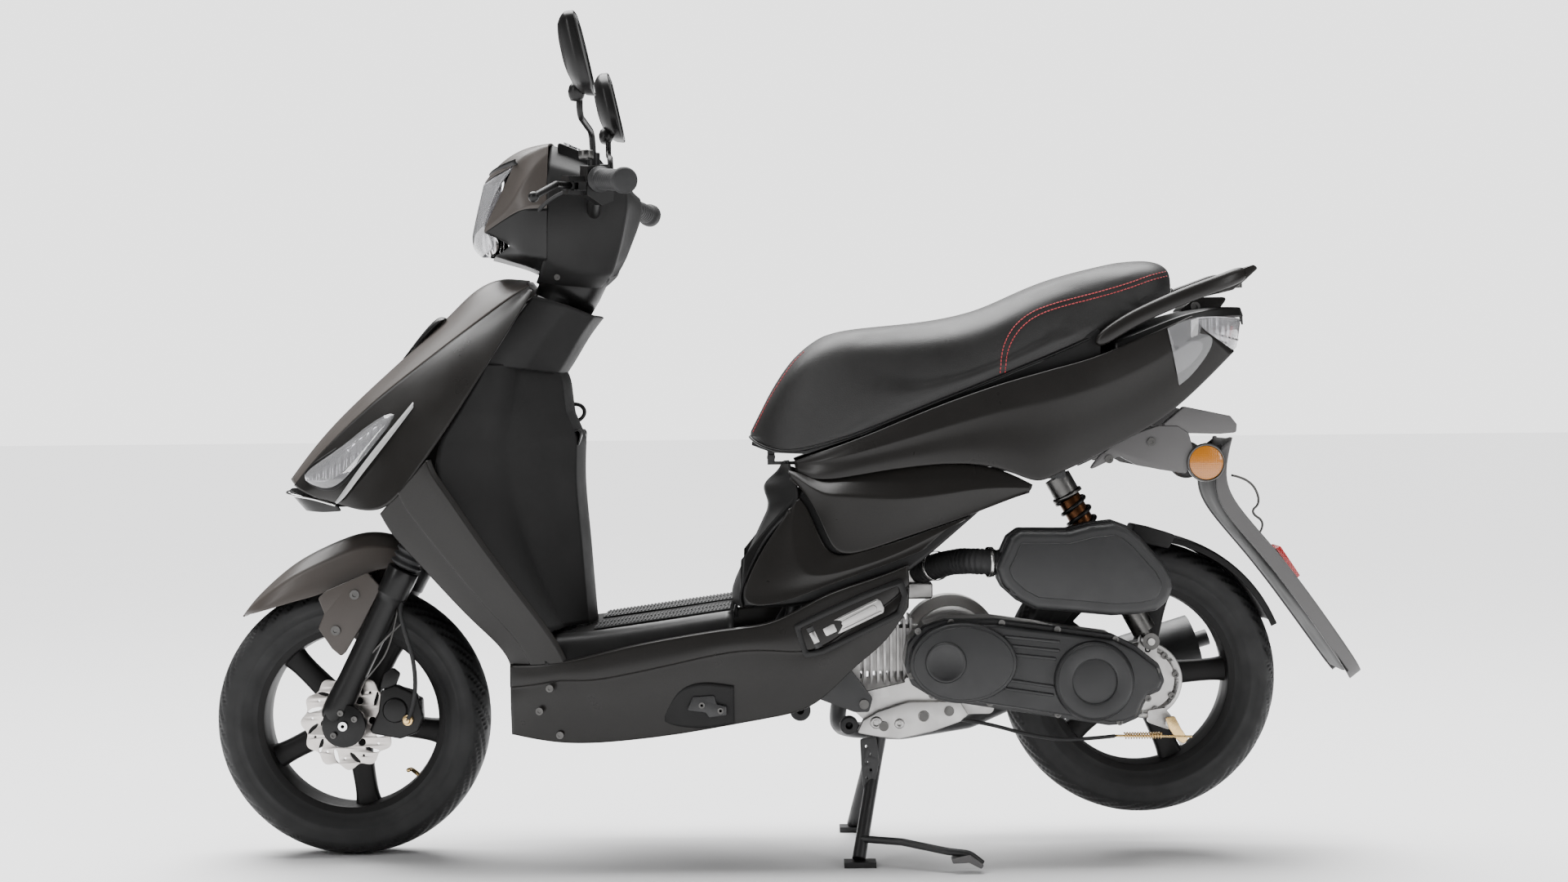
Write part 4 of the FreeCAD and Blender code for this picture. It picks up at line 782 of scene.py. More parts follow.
def run_tree(obj, tree, inputs):
    """Give an object a Geometry Nodes modifier, bake its result to a plain mesh and remove it."""
    mod = obj.modifiers.new("nodes", "NODES")
    mod.node_group = tree
    for item in tree.interface.items_tree:
        if item.in_out == "INPUT" and item.name in inputs:
            mod[item.identifier] = inputs[item.name]
    graph = bpy.context.evaluated_depsgraph_get()
    graph.update()
    mesh = bpy.data.meshes.new_from_object(obj.evaluated_get(graph))
    obj.modifiers.remove(mod)
    old = obj.data
    obj.data = mesh
    bpy.data.meshes.remove(old)
    return obj


def screws(name, places, radius, height, look, body, socket=0.45):
    """places is a list of (point in metres, direction it faces)."""
    cloud = add_object(name, [p for p, n in places], [])
    facing = cloud.data.attributes.new("facing", "FLOAT_VECTOR", "POINT")
    for item, (p, n) in zip(facing.data, places):
        item.vector = Vector(n).normalized()
    run_tree(cloud, SCREW_TREE, {"Head radius": radius * MM, "Head height": height * MM,
                                 "Socket radius": radius * socket * MM, "Finish": look})
    clean(cloud)
    sharp_by_angle(cloud, 30)
    return finish_piece(cloud, body, look)


def both(places):
    return places + [(flip(p), flip(n)) for p, n in places]


# %% [markdown]
# ## Fork, brake and mudguard
# The lower legs slide, so they ride on the fork. The ribbed rubber gaiters sit between the legs and the
# yoke.

# %% Fork legs
def fork_leg(side):
    y = side * 85
    profile = [(0, -12), (19, -12), (23, -4), (24, 12), (23, 40), (21.5, 60), (21.5, 205), (22.5, 214), (25.5, 218),
               (26, 240), (26.5, 246), (26.5, 264), (24, 266), (0, 266)]
    leg = turned("leg", profile, along_fork(0, 41, y), STEER_UP, 48)
    soften_edges(leg, 1.2, 2)
    boss = turned("boss", [(0, -16), (27, -16), (34, -12), (36, -4), (36, 12), (0, 12)],
                  FRONT_AXLE + mm(0, side * 93, 0), (0, side, 0), 48)
    rib = plate("rib", [(-752, 268), (-722, 262), (-700, 318), (-712, 326)], y - 7, y + 7, 6, 3)
    return [leg, soften_edges(boss, 1.5, 2), rib]


legs = join("fork_sliders", fork_leg(-1) + fork_leg(1) + [turned(
    "axle", [(0, -111), (8, -111), (8, 111), (0, 111)], FRONT_AXLE, (0, 1, 0), 32)])
sharp_by_angle(legs, 45)
finish_piece(legs, "fork_slider", BLACK_FINE, ["fork_legs"])

axle_ends = [(FRONT_AXLE + mm(0, -111, 0), (0, -1, 0)), (FRONT_AXLE + mm(0, 111, 0), (0, 1, 0))]
screws("front_axle_bolt", axle_ends, 7.5, 3, CHROME, "fork_slider")
boss_bolts = [(FRONT_AXLE + mm(22 * math.cos(a), -109, 22 * math.sin(a)), (0, -1, 0)) for a in (0.55, 1.75, 3.9)]
screws("leg_boss_bolts", boss_bolts, 5, 4, DARK_STEEL, "fork_slider", 0.5)


# %% Gaiters
def gaiter(name, side):
    ribs = 8
    profile = [(17, 0)]
    for k in range(ribs):
        low = 4 + 92 * k / ribs
        profile += [(21.5, low), (26, low + 3), (26, low + 6), (21.5, low + 9)]
    profile += [(23, 98), (27, 99), (27, 105), (17, 106)]
    obj = turned(name, profile, along_fork(266, 41, side * 85), STEER_UP, 40, closed=True)
    finish_piece(obj, "steering", RUBBER)
    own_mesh(obj)


gaiter("gaiter_left", -1)
gaiter("gaiter_right", 1)


# %% Caliper, banjo bolt and brake hose
def caliper():
    outer = plate("outer", [(-694, 214), (-640, 204), (-612, 214), (-602, 240), (-612, 278), (-646, 294), (-672, 284),
                            (-676, 250)], -84, -64, 9, 5, 4)
    inner = plate("inner", [(-680, 222), (-616, 222), (-608, 250), (-622, 282), (-650, 290), (-668, 270)],
                  -54, -47, 7, 2.5)
    bridge = plate("bridge", [(-628, 226), (-604, 228), (-606, 268), (-622, 276)], -80, -47, 5, 3)
    piston = turned("piston", [(0, -4), (19, -4), (21, -1), (21, 6), (0, 6)], mm(-648, -84, 252), (0, 1, 0), 40)
    ear = plate("ear", [(-676, 286), (-650, 286), (-640, 312), (-652, 322), (-668, 312)], -76, -68, 6, 2)
    return join("caliper", [outer, inner, bridge, soften_edges(piston, 1.5, 2), ear])


finish_piece(caliper(), "fork_slider", BLACK_FINE, ["brake_caliper"])
banjo = turned("banjo_fitting", [(0, -9), (5, -9), (6, -8), (6, -3), (9, -3), (9, 3), (6, 3), (6, 6), (0, 6)],
               mm(-626, -88, 236), (0.3, 1, 0), 24)
finish_piece(soften_edges(banjo, 0.5, 2), "fork_slider", GOLD)

hose_down = tube("brake_hose_lower", [mm(-626, -94, 236), mm(-612, -98, 268), mm(-612, -98, 330), mm(-630, -98, 390),
                                      mm(-640, -94, 430), mm(-622, -78, 470)], 3.6, 10)
finish_piece(hose_down, "fork_slider", RUBBER)
guides = [tube("guide", [mm(-706, -88, 318), mm(-690, -100, 340), mm(-662, -100, 372), mm(-630, -96, 400)], 1.6, 8),
          tube("guide", [mm(-700, -88, 300), mm(-680, -102, 318), mm(-650, -102, 360), mm(-640, -98, 420)], 1.6, 8)]
finish_piece(join("hose_guides", guides), "fork_slider", DARK_STEEL)

# %% [markdown]
# The tyre valves are brass elbows, bright against the black rims.

# %% Valves
for label, axle, body, turn in (("valve_front", FRONT_AXLE, "front_wheel", -43), ("valve_rear", REAR_AXLE, "rear_wheel", 150)):
    out = Vector((math.cos(math.radians(turn)), 0, math.sin(math.radians(turn))))
    bend = [axle + out * 0.148, axle + out * 0.136, axle + out * 0.128 + mm(0, -8, 0), axle + out * 0.127 + mm(0, -26, 0)]
    finish_piece(tube(label, bend, 3.6, 12), body, GOLD)


# %% Mudguard
FENDER_ROWS = [  # crown, then the left edge of the mudguard
    ((-917, 0, 404), (-910, -22, 406)),
    ((-900, 0, 427), (-889, -50, 411)),
    ((-877, 0, 451), (-864, -60, 418)),
    ((-833, 0, 490), (-815, -64, 433)),
    ((-790, 0, 514), (-779, -64, 441)),
    ((-740, 0, 536), (-738, -64, 458)),
    ((-700, 0, 547), (-704, -64, 474)),
    ((-648, 0, 538), (-664, -62, 490)),
    ((-604, 0, 508), (-618, -58, 478))]


def mudguard():
    rows = []
    for crown, edge in FENDER_ROWS:
        top, low = Vector(crown), Vector(edge)
        ridge = Vector((top.x, low.y * 0.34, top.z - 1))
        shoulder = Vector((top.x * 0.6 + low.x * 0.4, low.y * 0.86, top.z - (top.z - low.z) * 0.32))
        flank = Vector((top.x * 0.2 + low.x * 0.8, low.y, top.z - (top.z - low.z) * 0.75))
        half = [ridge, shoulder, flank, low]
        rows.append([p for p in reversed(half)] + [top] + [flip(p) for p in half])
    rows = [[p * MM for p in row] for row in rows]
    panel("mudguard_front", rows, "fork_slider", NOSE, "nose_plastic", ["front_fender"], inside=mm(-720, 0, 330),
          levels=3, sharp_cols=(2, 6), sharpness=0.55)


def mudguard_bracket(name, side):
    outline = [(-772, 440), (-758, 452), (-716, 470), (-690, 482), (-667, 457), (-700, 394), (-727, 350), (-735, 343),
               (-750, 356), (-772, 389), (-762, 414)]
    y0, y1 = sorted((side * 93, side * 88))
    web0, web1 = sorted((side * 90, side * 60))
    parts = [plate(name, outline, y0, y1, 5, 2.0),
             plate(name, [(-764, 448), (-756, 452), (-702, 476), (-704, 470), (-758, 442)], web0, web1, 2, 0.8)]
    return finish_piece(join(name, parts), "fork_slider", NOSE)


mudguard()
mudguard_bracket("mudguard_bracket_left", -1)
mudguard_bracket("mudguard_bracket_right", 1)
bracket_bolts = [(mm(-711, -94, 445), (0, -1, 0)), (mm(-743, -94, 386), (0, -1, 0))]
screws("mudguard_bolts", both(bracket_bolts), 8, 4, DARK_STEEL, "fork_slider", 0.5)


# %% [markdown]
# ## Nose and leg shield
# The nose is two side panels with a lighter panel between them. Each panel is a cage of rows from the
# handlebar down to the chin. A crease along the outer column keeps the line where the two meet.

# %% Nose panel
NOSE_ROWS = [  # centre line and left crease of the nose panel
    ((-426, 0, 962), (-418, -90, 953)),
    ((-474, 0, 975), (-444, -91, 938)),
    ((-523, 0, 956), (-476, -92, 915)),
    ((-560, 0, 914), (-540, -93, 868)),
    ((-611, 0, 866), (-604, -93, 820)),
    ((-670, 0, 812), (-670, -92, 770)),
    ((-732, 0, 756), (-730, -90, 716)),
    ((-787, 0, 699), (-777, -85, 668)),
    ((-836, 0, 632), (-811, -78, 627))]


def nose_panel():
    rows = []
    for centre, edge in NOSE_ROWS:
        top, side = Vector(centre), Vector(edge)
        ridge = top.lerp(side, 0.30) + Vector((0, 0, 5))
        flank = top.lerp(side, 0.78) + Vector((-3, 0, 4))
        half = [ridge, flank, side]
        rows.append([flip(p) for p in reversed(half)] + [top] + half)
    rows = [[p * MM for p in row] for row in rows]
    panel("nose_panel_top", rows, "chassis", NOSE, "nose_plastic", ["nose_panel"], inside=mm(-500, 0, 700),
          sharp_cols=(2, 4), sharpness=0.5)


nose_panel()

# %% [markdown]
# A small scoop stands on the nose, just ahead of the handlebar. It is a low hollow blister.

# %% Scoop
SCOOP = ((-28, 0.0), (-25, 0.55), (-12, 1.0), (12, 1.0), (25, 0.55), (28, 0.0))  # half width, height
scoop_rows = []
for y, rise in SCOOP:
    scoop_rows.append([mm(-566, y, 902), mm(-578, y, 896 + 13 * rise), mm(-598, y * 0.9, 876 + 15 * rise),
                       mm(-622, y * 0.7, 854 + 7 * rise), mm(-640, y * 0.5, 836)])
panel("nose_scoop", scoop_rows, "chassis", BLACK_FINE, "black_plastic", inside=mm(-560, 0, 820), thick=2.0)


# %% Side panels of the nose
SIDE_ROWS = [  # crease, then rear or lower edge, of the left side panel
    ((-418, -92, 952), (-406, -136, 944)),
    ((-440, -93, 938), (-428, -156, 905)),
    ((-462, -94, 922), (-452, -168, 864)),
    ((-510, -94, 888), (-482, -182, 815)),
    ((-556, -94, 855), (-525, -191, 745)),
    ((-600, -94, 821), (-572, -197, 676)),
    ((-645, -94, 787), (-612, -192, 622)),
    ((-687, -93, 753), (-650, -174, 584)),
    ((-748, -91, 697), (-700, -146, 588)),
    ((-783, -85, 662), (-732, -122, 598)),
    ((-812, -79, 626), (-762, -104, 602))]


def side_rows(table, depth, count=6, peak=0.5):
    return [[p * MM for p in bow(upper, lower, depth, count, peak)] for upper, lower in table]


panel_pair("nose_side", side_rows(SIDE_ROWS, 15, 6, 0.42), "chassis", PANEL, "panel_plastic",
           ["front_side_panels"], inside=mm(-500, 0, 600), sharp_cols=(0,), sharpness=0.6)

# %% [markdown]
# Below them, the leg panels run from the nose to the floor. Their outer edge is a bright rounded
# ridge, and a step runs along the lower third.

# %% Leg panels
LEG_ROWS = [  # outer ridge, then front edge, of the left leg panel
    ((-574, -198, 668), (-654, -170, 582)),
    ((-566, -199, 645), (-640, -160, 552)),
    ((-549, -199, 622), (-622, -152, 529)),
    ((-491, -199, 534), (-585, -148, 487)),
    ((-429, -199, 450), (-512, -148, 406)),
    ((-392, -198, 402), (-470, -148, 370)),
    ((-368, -196, 364), (-447, -150, 338)),
    ((-356, -188, 334), (-447, -157, 318))]


def leg_panel_rows():
    rows = []
    for ridge, front in LEG_ROWS:
        a, b = Vector(ridge), Vector(front)
        step = a.lerp(b, 0.60)
        rows.append([a + Vector((7, 5, 2)), a + Vector((0, -1, 0)), a.lerp(b, 0.14) - Vector((0, 4, 0)),
                     a.lerp(b, 0.36) - Vector((0, 5, 0)), step - Vector((0, 7, 0)), step + Vector((0, -2, 0)),
                     a.lerp(b, 0.84) - Vector((0, 3, 0)), b])
    return [[p * MM for p in row] for row in rows]


panel_pair("leg_panel", leg_panel_rows(), "chassis", PANEL, "panel_plastic", inside=mm(-450, 0, 560),
           sharp_cols=(1, 4, 5), sharpness=0.55)


# %% [markdown]
# The inner leg shield is bare black plastic. It stands back in the middle as a console, with a ledge
# over an open pocket, and wraps forward at its edges.

# %% Leg shield and neck
SHIELD_ROWS = [  # height, x at the outer edge, halfway and at the console, and the half widths there
    (822, (-484, -436, -380), (146, 100, 50)),
    (800, (-493, -436, -368), (152, 104, 52)),
    (770, (-512, -440, -366), (160, 110, 56)),
    (742, (-528, -444, -362), (168, 116, 58)),
    (700, (-554, -450, -344), (178, 122, 60)),
    (640, (-568, -450, -347), (188, 125, 64)),
    (585, (-530, -436, -343), (190, 125, 64)),
    (534, (-491, -424, -338), (191, 124, 64)),
    (450, (-429, -392, -332), (191, 122, 64)),
    (392, (-386, -362, -327), (189, 122, 64))]


def leg_shield():
    rows = []
    for z, xs, ys in SHIELD_ROWS:
        outer, half, console = [Vector((x, -y, z)) for x, y in zip(xs, ys)]
        front = Vector((console.x + 13, 0, z))
        left = [outer, outer.lerp(half, 0.5) + Vector((10, -6, 0)), half, half.lerp(console, 0.82), console,
                console.lerp(front, 0.4)]
        rows.append([p * MM for p in left] + [front * MM] + [flip(p * MM) for p in reversed(left)])
    panel("leg_shield_inner", rows, "chassis", BLACK, "black_plastic", ["leg_shield"], inside=mm(-620, 0, 600),
          sharp_cols=(2, 4, 8, 10), sharp_rows=(3, 4), sharpness=0.6)


leg_shield()

NECK_ROWS = [  # z back, z edge, x back, x edge, half width back, half width edge
    (806, 822, -376, -488, 52, 140),
    (836, 838, -356, -478, 56, 138),
    (872, 876, -336, -452, 60, 132),
    (902, 935, -312, -408, 62, 118)]


def neck_cover():
    rows = []
    for z_back, z_edge, x_back, x_edge, w_back, w_edge in NECK_ROWS:
        edge, back = Vector((x_edge, -w_edge, z_edge)), Vector((x_back, -w_back, z_back))
        mid = edge.lerp(back, 0.5) + Vector((8, -14, 0))
        left = [edge, edge.lerp(mid, 0.5) + Vector((2, -5, 0)), mid, mid.lerp(back, 0.7), back]
        rows.append([p * MM for p in left] + [mm(x_back + 14, 0, z_back)] + [flip(p * MM) for p in reversed(left)])
    panel("neck_inner_cover", rows, "chassis", BLACK, "black_plastic", ["neck_cover"], inside=mm(-520, 0, 850),
          sharp_cols=(2, 4, 6, 8), sharpness=0.6)


neck_cover()

# %% [markdown]
# The key switch sits on the console beside a small hook for a bag, above the pocket.

# %% Key switch and hook
key = turned("key_switch", [(0, -10), (15, -10), (17, -6), (17, 2), (13, 4), (12, 3), (0, 3)], mm(-364, -22, 752),
             (1, 0, 0.12), 40)
finish_piece(soften_edges(key, 0.8, 2), "chassis", STEEL)
hook = tube("bag_hook", [mm(-372, 24, 756), mm(-350, 24, 758), mm(-338, 24, 748), mm(-340, 24, 734), mm(-350, 24, 728)],
            3.4, 12)
finish_piece(hook, "chassis", BLACK_FINE)
panel("pocket_lip", [[mm(-352, y, 712), mm(-340, y, 716), mm(-336, y, 704), mm(-342, y, 688)]
                     for y in (-58, -50, 0, 50, 58)], "chassis", BLACK_FINE, "black_plastic",
      inside=mm(-400, 0, 700), thick=2.5)


# %% [markdown]
# ## Front indicators
# Each indicator is a long clear cover let into the side panel. Behind it are a bowl of bright plastic
# and a clear tube. A black border frames it, and a silver strip runs under it.

# %% Indicators
LENS_ROWS = [  # upper and lower edge of the left indicator
    ((-612, -106, 760), (-626, -120, 744)),
    ((-641, -108, 757), (-644, -134, 722)),
    ((-676, -108, 730), (-680, -140, 678)),
    ((-712, -107, 700), (-706, -138, 648)),
    ((-748, -105, 674), (-732, -130, 624)),
    ((-780, -98, 655), (-757, -116, 621)),
    ((-790, -94, 642), (-782, -106, 632))]


def shifted(table, dx, dy, dz):
    return [tuple(tuple(Vector(p) + Vector((dx, dy, dz))) for p in pair) for pair in table]


def grown(table, amount):
    """Move the two edges of a strip apart, for a border round it."""
    out = []
    for upper, lower in table:
        up, low = Vector(upper), Vector(lower)
        away = (up - low).normalized() * amount
        out.append((tuple(up + away), tuple(low - away)))
    return out


panel_pair("indicator_border", side_rows(shifted(grown(LENS_ROWS, 6), 0, -1.0, 0), 7), "chassis", BLACK_FINE,
           "gloss_black", inside=mm(-600, 0, 600), thick=2.5)
panel_pair("indicator_bowl", side_rows(shifted(grown(LENS_ROWS, -2), 0, -2.5, 0), 6), "chassis", REFLECTOR_BOWL,
           "clear_lens", inside=mm(-600, 0, 600), thick=1.2)
panel_pair("indicator_lens", side_rows(shifted(LENS_ROWS, 0, -6.5, 0), 8), "chassis", LENS, "clear_lens",
           ["front_indicators"], inside=mm(-600, 0, 600), thick=1.6)

STRIP_ROWS = [
    ((-603, -138, 762), (-601, -142, 754)),
    ((-634, -146, 724), (-630, -149, 715)),
    ((-662, -150, 690), (-657, -152, 680)),
    ((-694, -146, 650), (-689, -149, 641)),
    ((-722, -132, 614), (-718, -136, 605)),
    ((-734, -124, 600), (-731, -127, 597))]
panel_pair("indicator_strip", side_rows(shifted(STRIP_ROWS, 0, -6, 0), 2, 4), "chassis", STRIP, "light_grey",
           inside=mm(-600, 0, 600), thick=2.0)

for side, label in ((-1, "left"), (1, "right")):
    rod_line = [mm(-632, side * 118, 750), mm(-672, side * 122, 722), mm(-716, side * 120, 684)]
    finish_piece(tube("indicator_rod_" + label, rod_line, 4.2, 12), "chassis", LENS)
    bulb = turned("indicator_bulb_" + label, [(0, -14), (6, -13), (9, -8), (10, 0), (9, 8), (6, 13), (0, 14)],
                  mm(-738, side * 112, 644), (0.7, 0, 0.7), 24)
    finish_piece(bulb, "chassis", REFLECTOR_BOWL)

# %% Chin
CHIN_ROWS = [((-834, -10, 617), (-806, -6, 584)), ((-826, -60, 614), (-800, -56, 583)),
             ((-806, -82, 611), (-786, -78, 583)), ((-772, -96, 606), (-762, -92, 581)),
             ((-736, -112, 596), (-730, -108, 584))]
chin_half = [[p * MM for p in bow(a, b, 2, 4)] for a, b in CHIN_ROWS]
chin = [[flip(p) for p in row] for row in reversed(chin_half)] + chin_half
panel("chin", chin, "chassis", BLACK_FINE, "gloss_black", ["chin_trim"], inside=mm(-740, 0, 600))
EDGE = [mm(-736, -118, 594), mm(-772, -101, 604), mm(-808, -86, 609), mm(-830, -58, 612), mm(-838, 0, 614)]
finish_piece(tube("chin_edge", EDGE + [flip(p) for p in reversed(EDGE[:-1])], 2.2, 8), "chassis", CHROME)

# %% [markdown]
# ## Handlebar covers
# The head of the scooter is a hood with a lamp in front and a second cover behind. The hood's front
# edge follows the lens, so its rows start on the lens outline and run back to the seam.

# %% Cowl
HOOD = [  # rows from the lens back to the seam: roof middle, shoulder, lens corner, diagonal, arrow's lower edge
    ((-508, 0, 1126), (-486, -42, 1138), (-441, -82, 1153), (-491, -90, 1046), (-491, -88, 1040)),
    ((-486, 0, 1156), (-466, -46, 1162), (-424, -86, 1166), (-450, -106, 1074), (-448, -107, 1066)),
    ((-454, 0, 1178), (-440, -50, 1180), (-410, -90, 1174), (-428, -112, 1116), (-424, -118, 1077)),
    ((-420, 0, 1191), (-412, -54, 1188), (-398, -92, 1180), (-402, -108, 1150), (-402, -121, 1077)),
    ((-384, 0, 1195), (-384, -56, 1191), (-384, -92, 1183), (-384, -102, 1166), (-384, -123, 1077))]
CHEEK = [  # rows from the lens back to the seam, each from the arrow's lower edge to the middle of the chin
    ((-491, -88, 1040), (-466, -86, 1029), (-450, -80, 1019), (-477, -54, 1003), (-488, 0, 999)),
    ((-448, -107, 1066), (-444, -102, 1042), (-438, -92, 1012), (-462, -56, 998), (-472, 0, 995)),
    ((-424, -118, 1077), (-424, -113, 1042), (-422, -100, 1000), (-441, -58, 991), (-452, 0, 989)),
    ((-402, -121, 1077), (-402, -117, 1040), (-403, -102, 996), (-419, -57, 985), (-430, 0, 983)),
    ((-384, -123, 1077), (-385, -119, 1036), (-387, -101, 994), (-403, -56, 978), (-413, 0, 975))]


def mirrored_rows(table):
    """Rows that run from the middle to the left become rows from right to left."""
    rows = []
    for row in table:
        left = [Vector(p) * MM for p in row]
        rows.append([flip(p) for p in reversed(left[1:])] + left)
    return rows


panel("cowl_hood", mirrored_rows(HOOD), "steering", NOSE, "nose_plastic", ["headlight_cowl"],
      inside=mm(-400, 0, 1080), sharp_cols=(1, 2, 6, 7), sharpness=0.85)
for label, turn in (("left", lambda p: p), ("right", flip)):
    cheek = [[turn(Vector(p) * MM) for p in row] for row in CHEEK]
    panel("cowl_cheek_" + label, cheek, "steering", BLACK_FINE, "black_plastic", inside=mm(-400, 0, 1080),
          sharp_cols=(2, 3), sharpness=0.7)

BROW = [((-500, 0, 1140), (-492, 0, 1130)), ((-480, -42, 1152), (-474, -42, 1142)), ((-440, -88, 1161), (-436, -88, 1152))]
brow = [[Vector(a) * MM, (Vector(a) + Vector(b)) / 2 * MM - mm(3, 0, 0), Vector(b) * MM] for a, b in BROW]
brow = [[flip(p) for p in row] for row in reversed(brow[1:])] + brow
panel("cowl_brow", brow, "steering", BLACK_FINE, "gloss_black", inside=mm(-400, 0, 1080), thick=3)

# %% [markdown]
# The head lamp has a clear cover, a bright bowl and a lamp bulb. Only the cover is in the design, so the
# bowl and the bulb stay inside it.

# %% Head lamp
LAMP = [  # rows from the top down, each from the middle to the left edge
    ((-508, 0, 1124), (-492, -36, 1130), (-444, -80, 1149)),
    ((-514, 0, 1098), (-499, -44, 1102), (-464, -85, 1124)),
    ((-521, 0, 1066), (-508, -46, 1068), (-483, -86, 1084)),
    ((-526, 0, 1040), (-514, -44, 1042), (-492, -82, 1052)),
    ((-527, 0, 1020), (-513, -40, 1020), (-477, -75, 1026)),
    ((-510, 0, 1004), (-500, -36, 1006), (-482, -60, 1014))]
panel("head_lamp_lens", mirrored_rows(LAMP), "steering", LENS, "clear_lens", ["headlight_lens"],
      inside=mm(-400, 0, 1080), thick=2.0, sharp_rows=(3,), sharpness=0.6)
BOWL = [[tuple(Vector(p) + Vector((9 + 8 * (k == 0), 3, -2))) for k, p in enumerate(row)] for row in LAMP]
panel("head_lamp_bowl", mirrored_rows(BOWL), "steering", REFLECTOR_BOWL, "clear_lens", inside=mm(-380, 0, 1080),
      thick=1.5)
bulb = turned("head_lamp_bulb", [(0, -16), (8, -14), (12, -6), (12, 8), (8, 12), (0, 14)], mm(-492, 0, 1072), (1, 0, 0), 32)
finish_piece(bulb, "steering", LENS)

# %% Rear handlebar cover
REAR_COVER = [  # rows from the seam back, each from the roof's middle down the left to the chin's
    ((-383, 0, 1193), (-383, -54, 1188), (-384, -102, 1150), (-384, -117, 1116), (-384, -122, 1076),
     (-386, -118, 1034), (-392, -100, 996), (-406, -58, 968), (-416, 0, 962)),
    ((-340, 0, 1178), (-340, -56, 1172), (-340, -102, 1138), (-338, -114, 1106), (-338, -118, 1068),
     (-340, -110, 1022), (-352, -88, 974), (-372, -52, 946), (-382, 0, 940)),
    ((-296, 0, 1154), (-294, -56, 1149), (-290, -96, 1120), (-286, -104, 1092), (-286, -102, 1060),
     (-288, -92, 1016), (-300, -70, 968), (-326, -44, 944), (-336, 0, 940)),
    ((-264, 0, 1134), (-262, -50, 1130), (-258, -82, 1110), (-254, -86, 1088), (-258, -82, 1060),
     (-266, -72, 1020), (-282, -56, 974), (-302, -36, 952), (-308, 0, 950)),
    ((-250, 0, 1112), (-249, -34, 1110), (-249, -54, 1102), (-249, -58, 1086), (-256, -54, 1062),
     (-264, -46, 1028), (-276, -34, 992), (-290, -20, 972), (-296, 0, 966)),
    ((-240, 0, 1104), (-238, 0, 1098), (-236, 0, 1088), (-236, 0, 1076), (-240, 0, 1060),
     (-250, 0, 1034), (-262, 0, 1004), (-274, 0, 980), (-282, 0, 972))]
panel("handlebar_rear_cover", mirrored_rows(REAR_COVER), "steering", BLACK, "black_plastic", ["bar_cover"],
      inside=mm(-340, 0, 1060), sharp_cols=(2, 6, 10, 14), sharp_rows=(3, 4), sharpness=0.6)
shroud = turned("column_shroud", [(40, 0), (50, -6), (53, 30), (53, 70), (48, 74), (40, 74)], along_fork(776), STEER_UP,
                48, closed=True)
finish_piece(shroud, "steering", BLACK_FINE)

# %% Instrument panel
dash = plate("instrument_housing", [(-372, 1192), (-300, 1162), (-296, 1150), (-300, 1142), (-370, 1160)], -64, 64, 5, 3, 4)
finish_piece(dash, "steering", BLACK_FINE)
glass = plate("instrument_glass", [(-362, 1192.5), (-306, 1168), (-307, 1165), (-363, 1188)], -56, 56, 2, 1)
finish_piece(glass, "steering", LENS)
for y in (-28, 28):
    dial = turned("dial_ring", [(20, -2), (23, -2), (23, 2), (20, 2)], mm(-334, y, 1178), (0.4, 0, 0.917), 40, closed=True)
    dial.name = "dial_ring_left" if y < 0 else "dial_ring_right"
    finish_piece(dial, "steering", CHROME)

# %% [markdown]
# ## Grips, mirrors and levers
# A rubber grip has rings that stop the hand sliding and a flange at each end. The profile is written
# once and turned about the bar. The throttle side is the mirror of the left one.


# %% Grips
def grip(name, side, body, node, bore):
    start, end = mm(-290, -208, 1115), mm(-240, -338, 1100)
    direction = (end - start).normalized()
    length = (end - start).length / MM
    profile = [(bore, 0), (19.5, 0), (21, 2), (21, 5), (17.5, 8)]
    ribs = 13
    for k in range(ribs):
        at = 14 + (length - 38) * k / ribs
        wide = (length - 38) / ribs
        profile += [(15.8, at), (17.0, at + wide * 0.22), (17.0, at + wide * 0.72), (15.8, at + wide * 0.94)]
    profile += [(16.6, length - 20), (19.5, length - 17), (20.5, length - 13), (20.5, length - 3), (18, length),
                (8, length + 1), (0, length + 1), (0, length - 5), (bore, length - 6)]
    if side > 0:
        start, direction = flip(start), flip(direction)
    obj = turned(name, profile, start, direction, 48, closed=True)
    return finish_piece(soften_edges(obj, 0.6, 2), body, RUBBER, [node])


grip("grip_rubber_left", -1, "steering", "grip_left", 12)
grip("grip_rubber_right", 1, "throttle", "throttle_grip", 12)


# %% Mirrors
def mirror_ring(centre, outline, side, depth, size):
    """The outline at one depth, leaning back towards the top. Across grows towards the outside."""
    return [centre + Vector((depth - 0.22 * b * size, side * a * size, b * size)) * MM for a, b in outline]


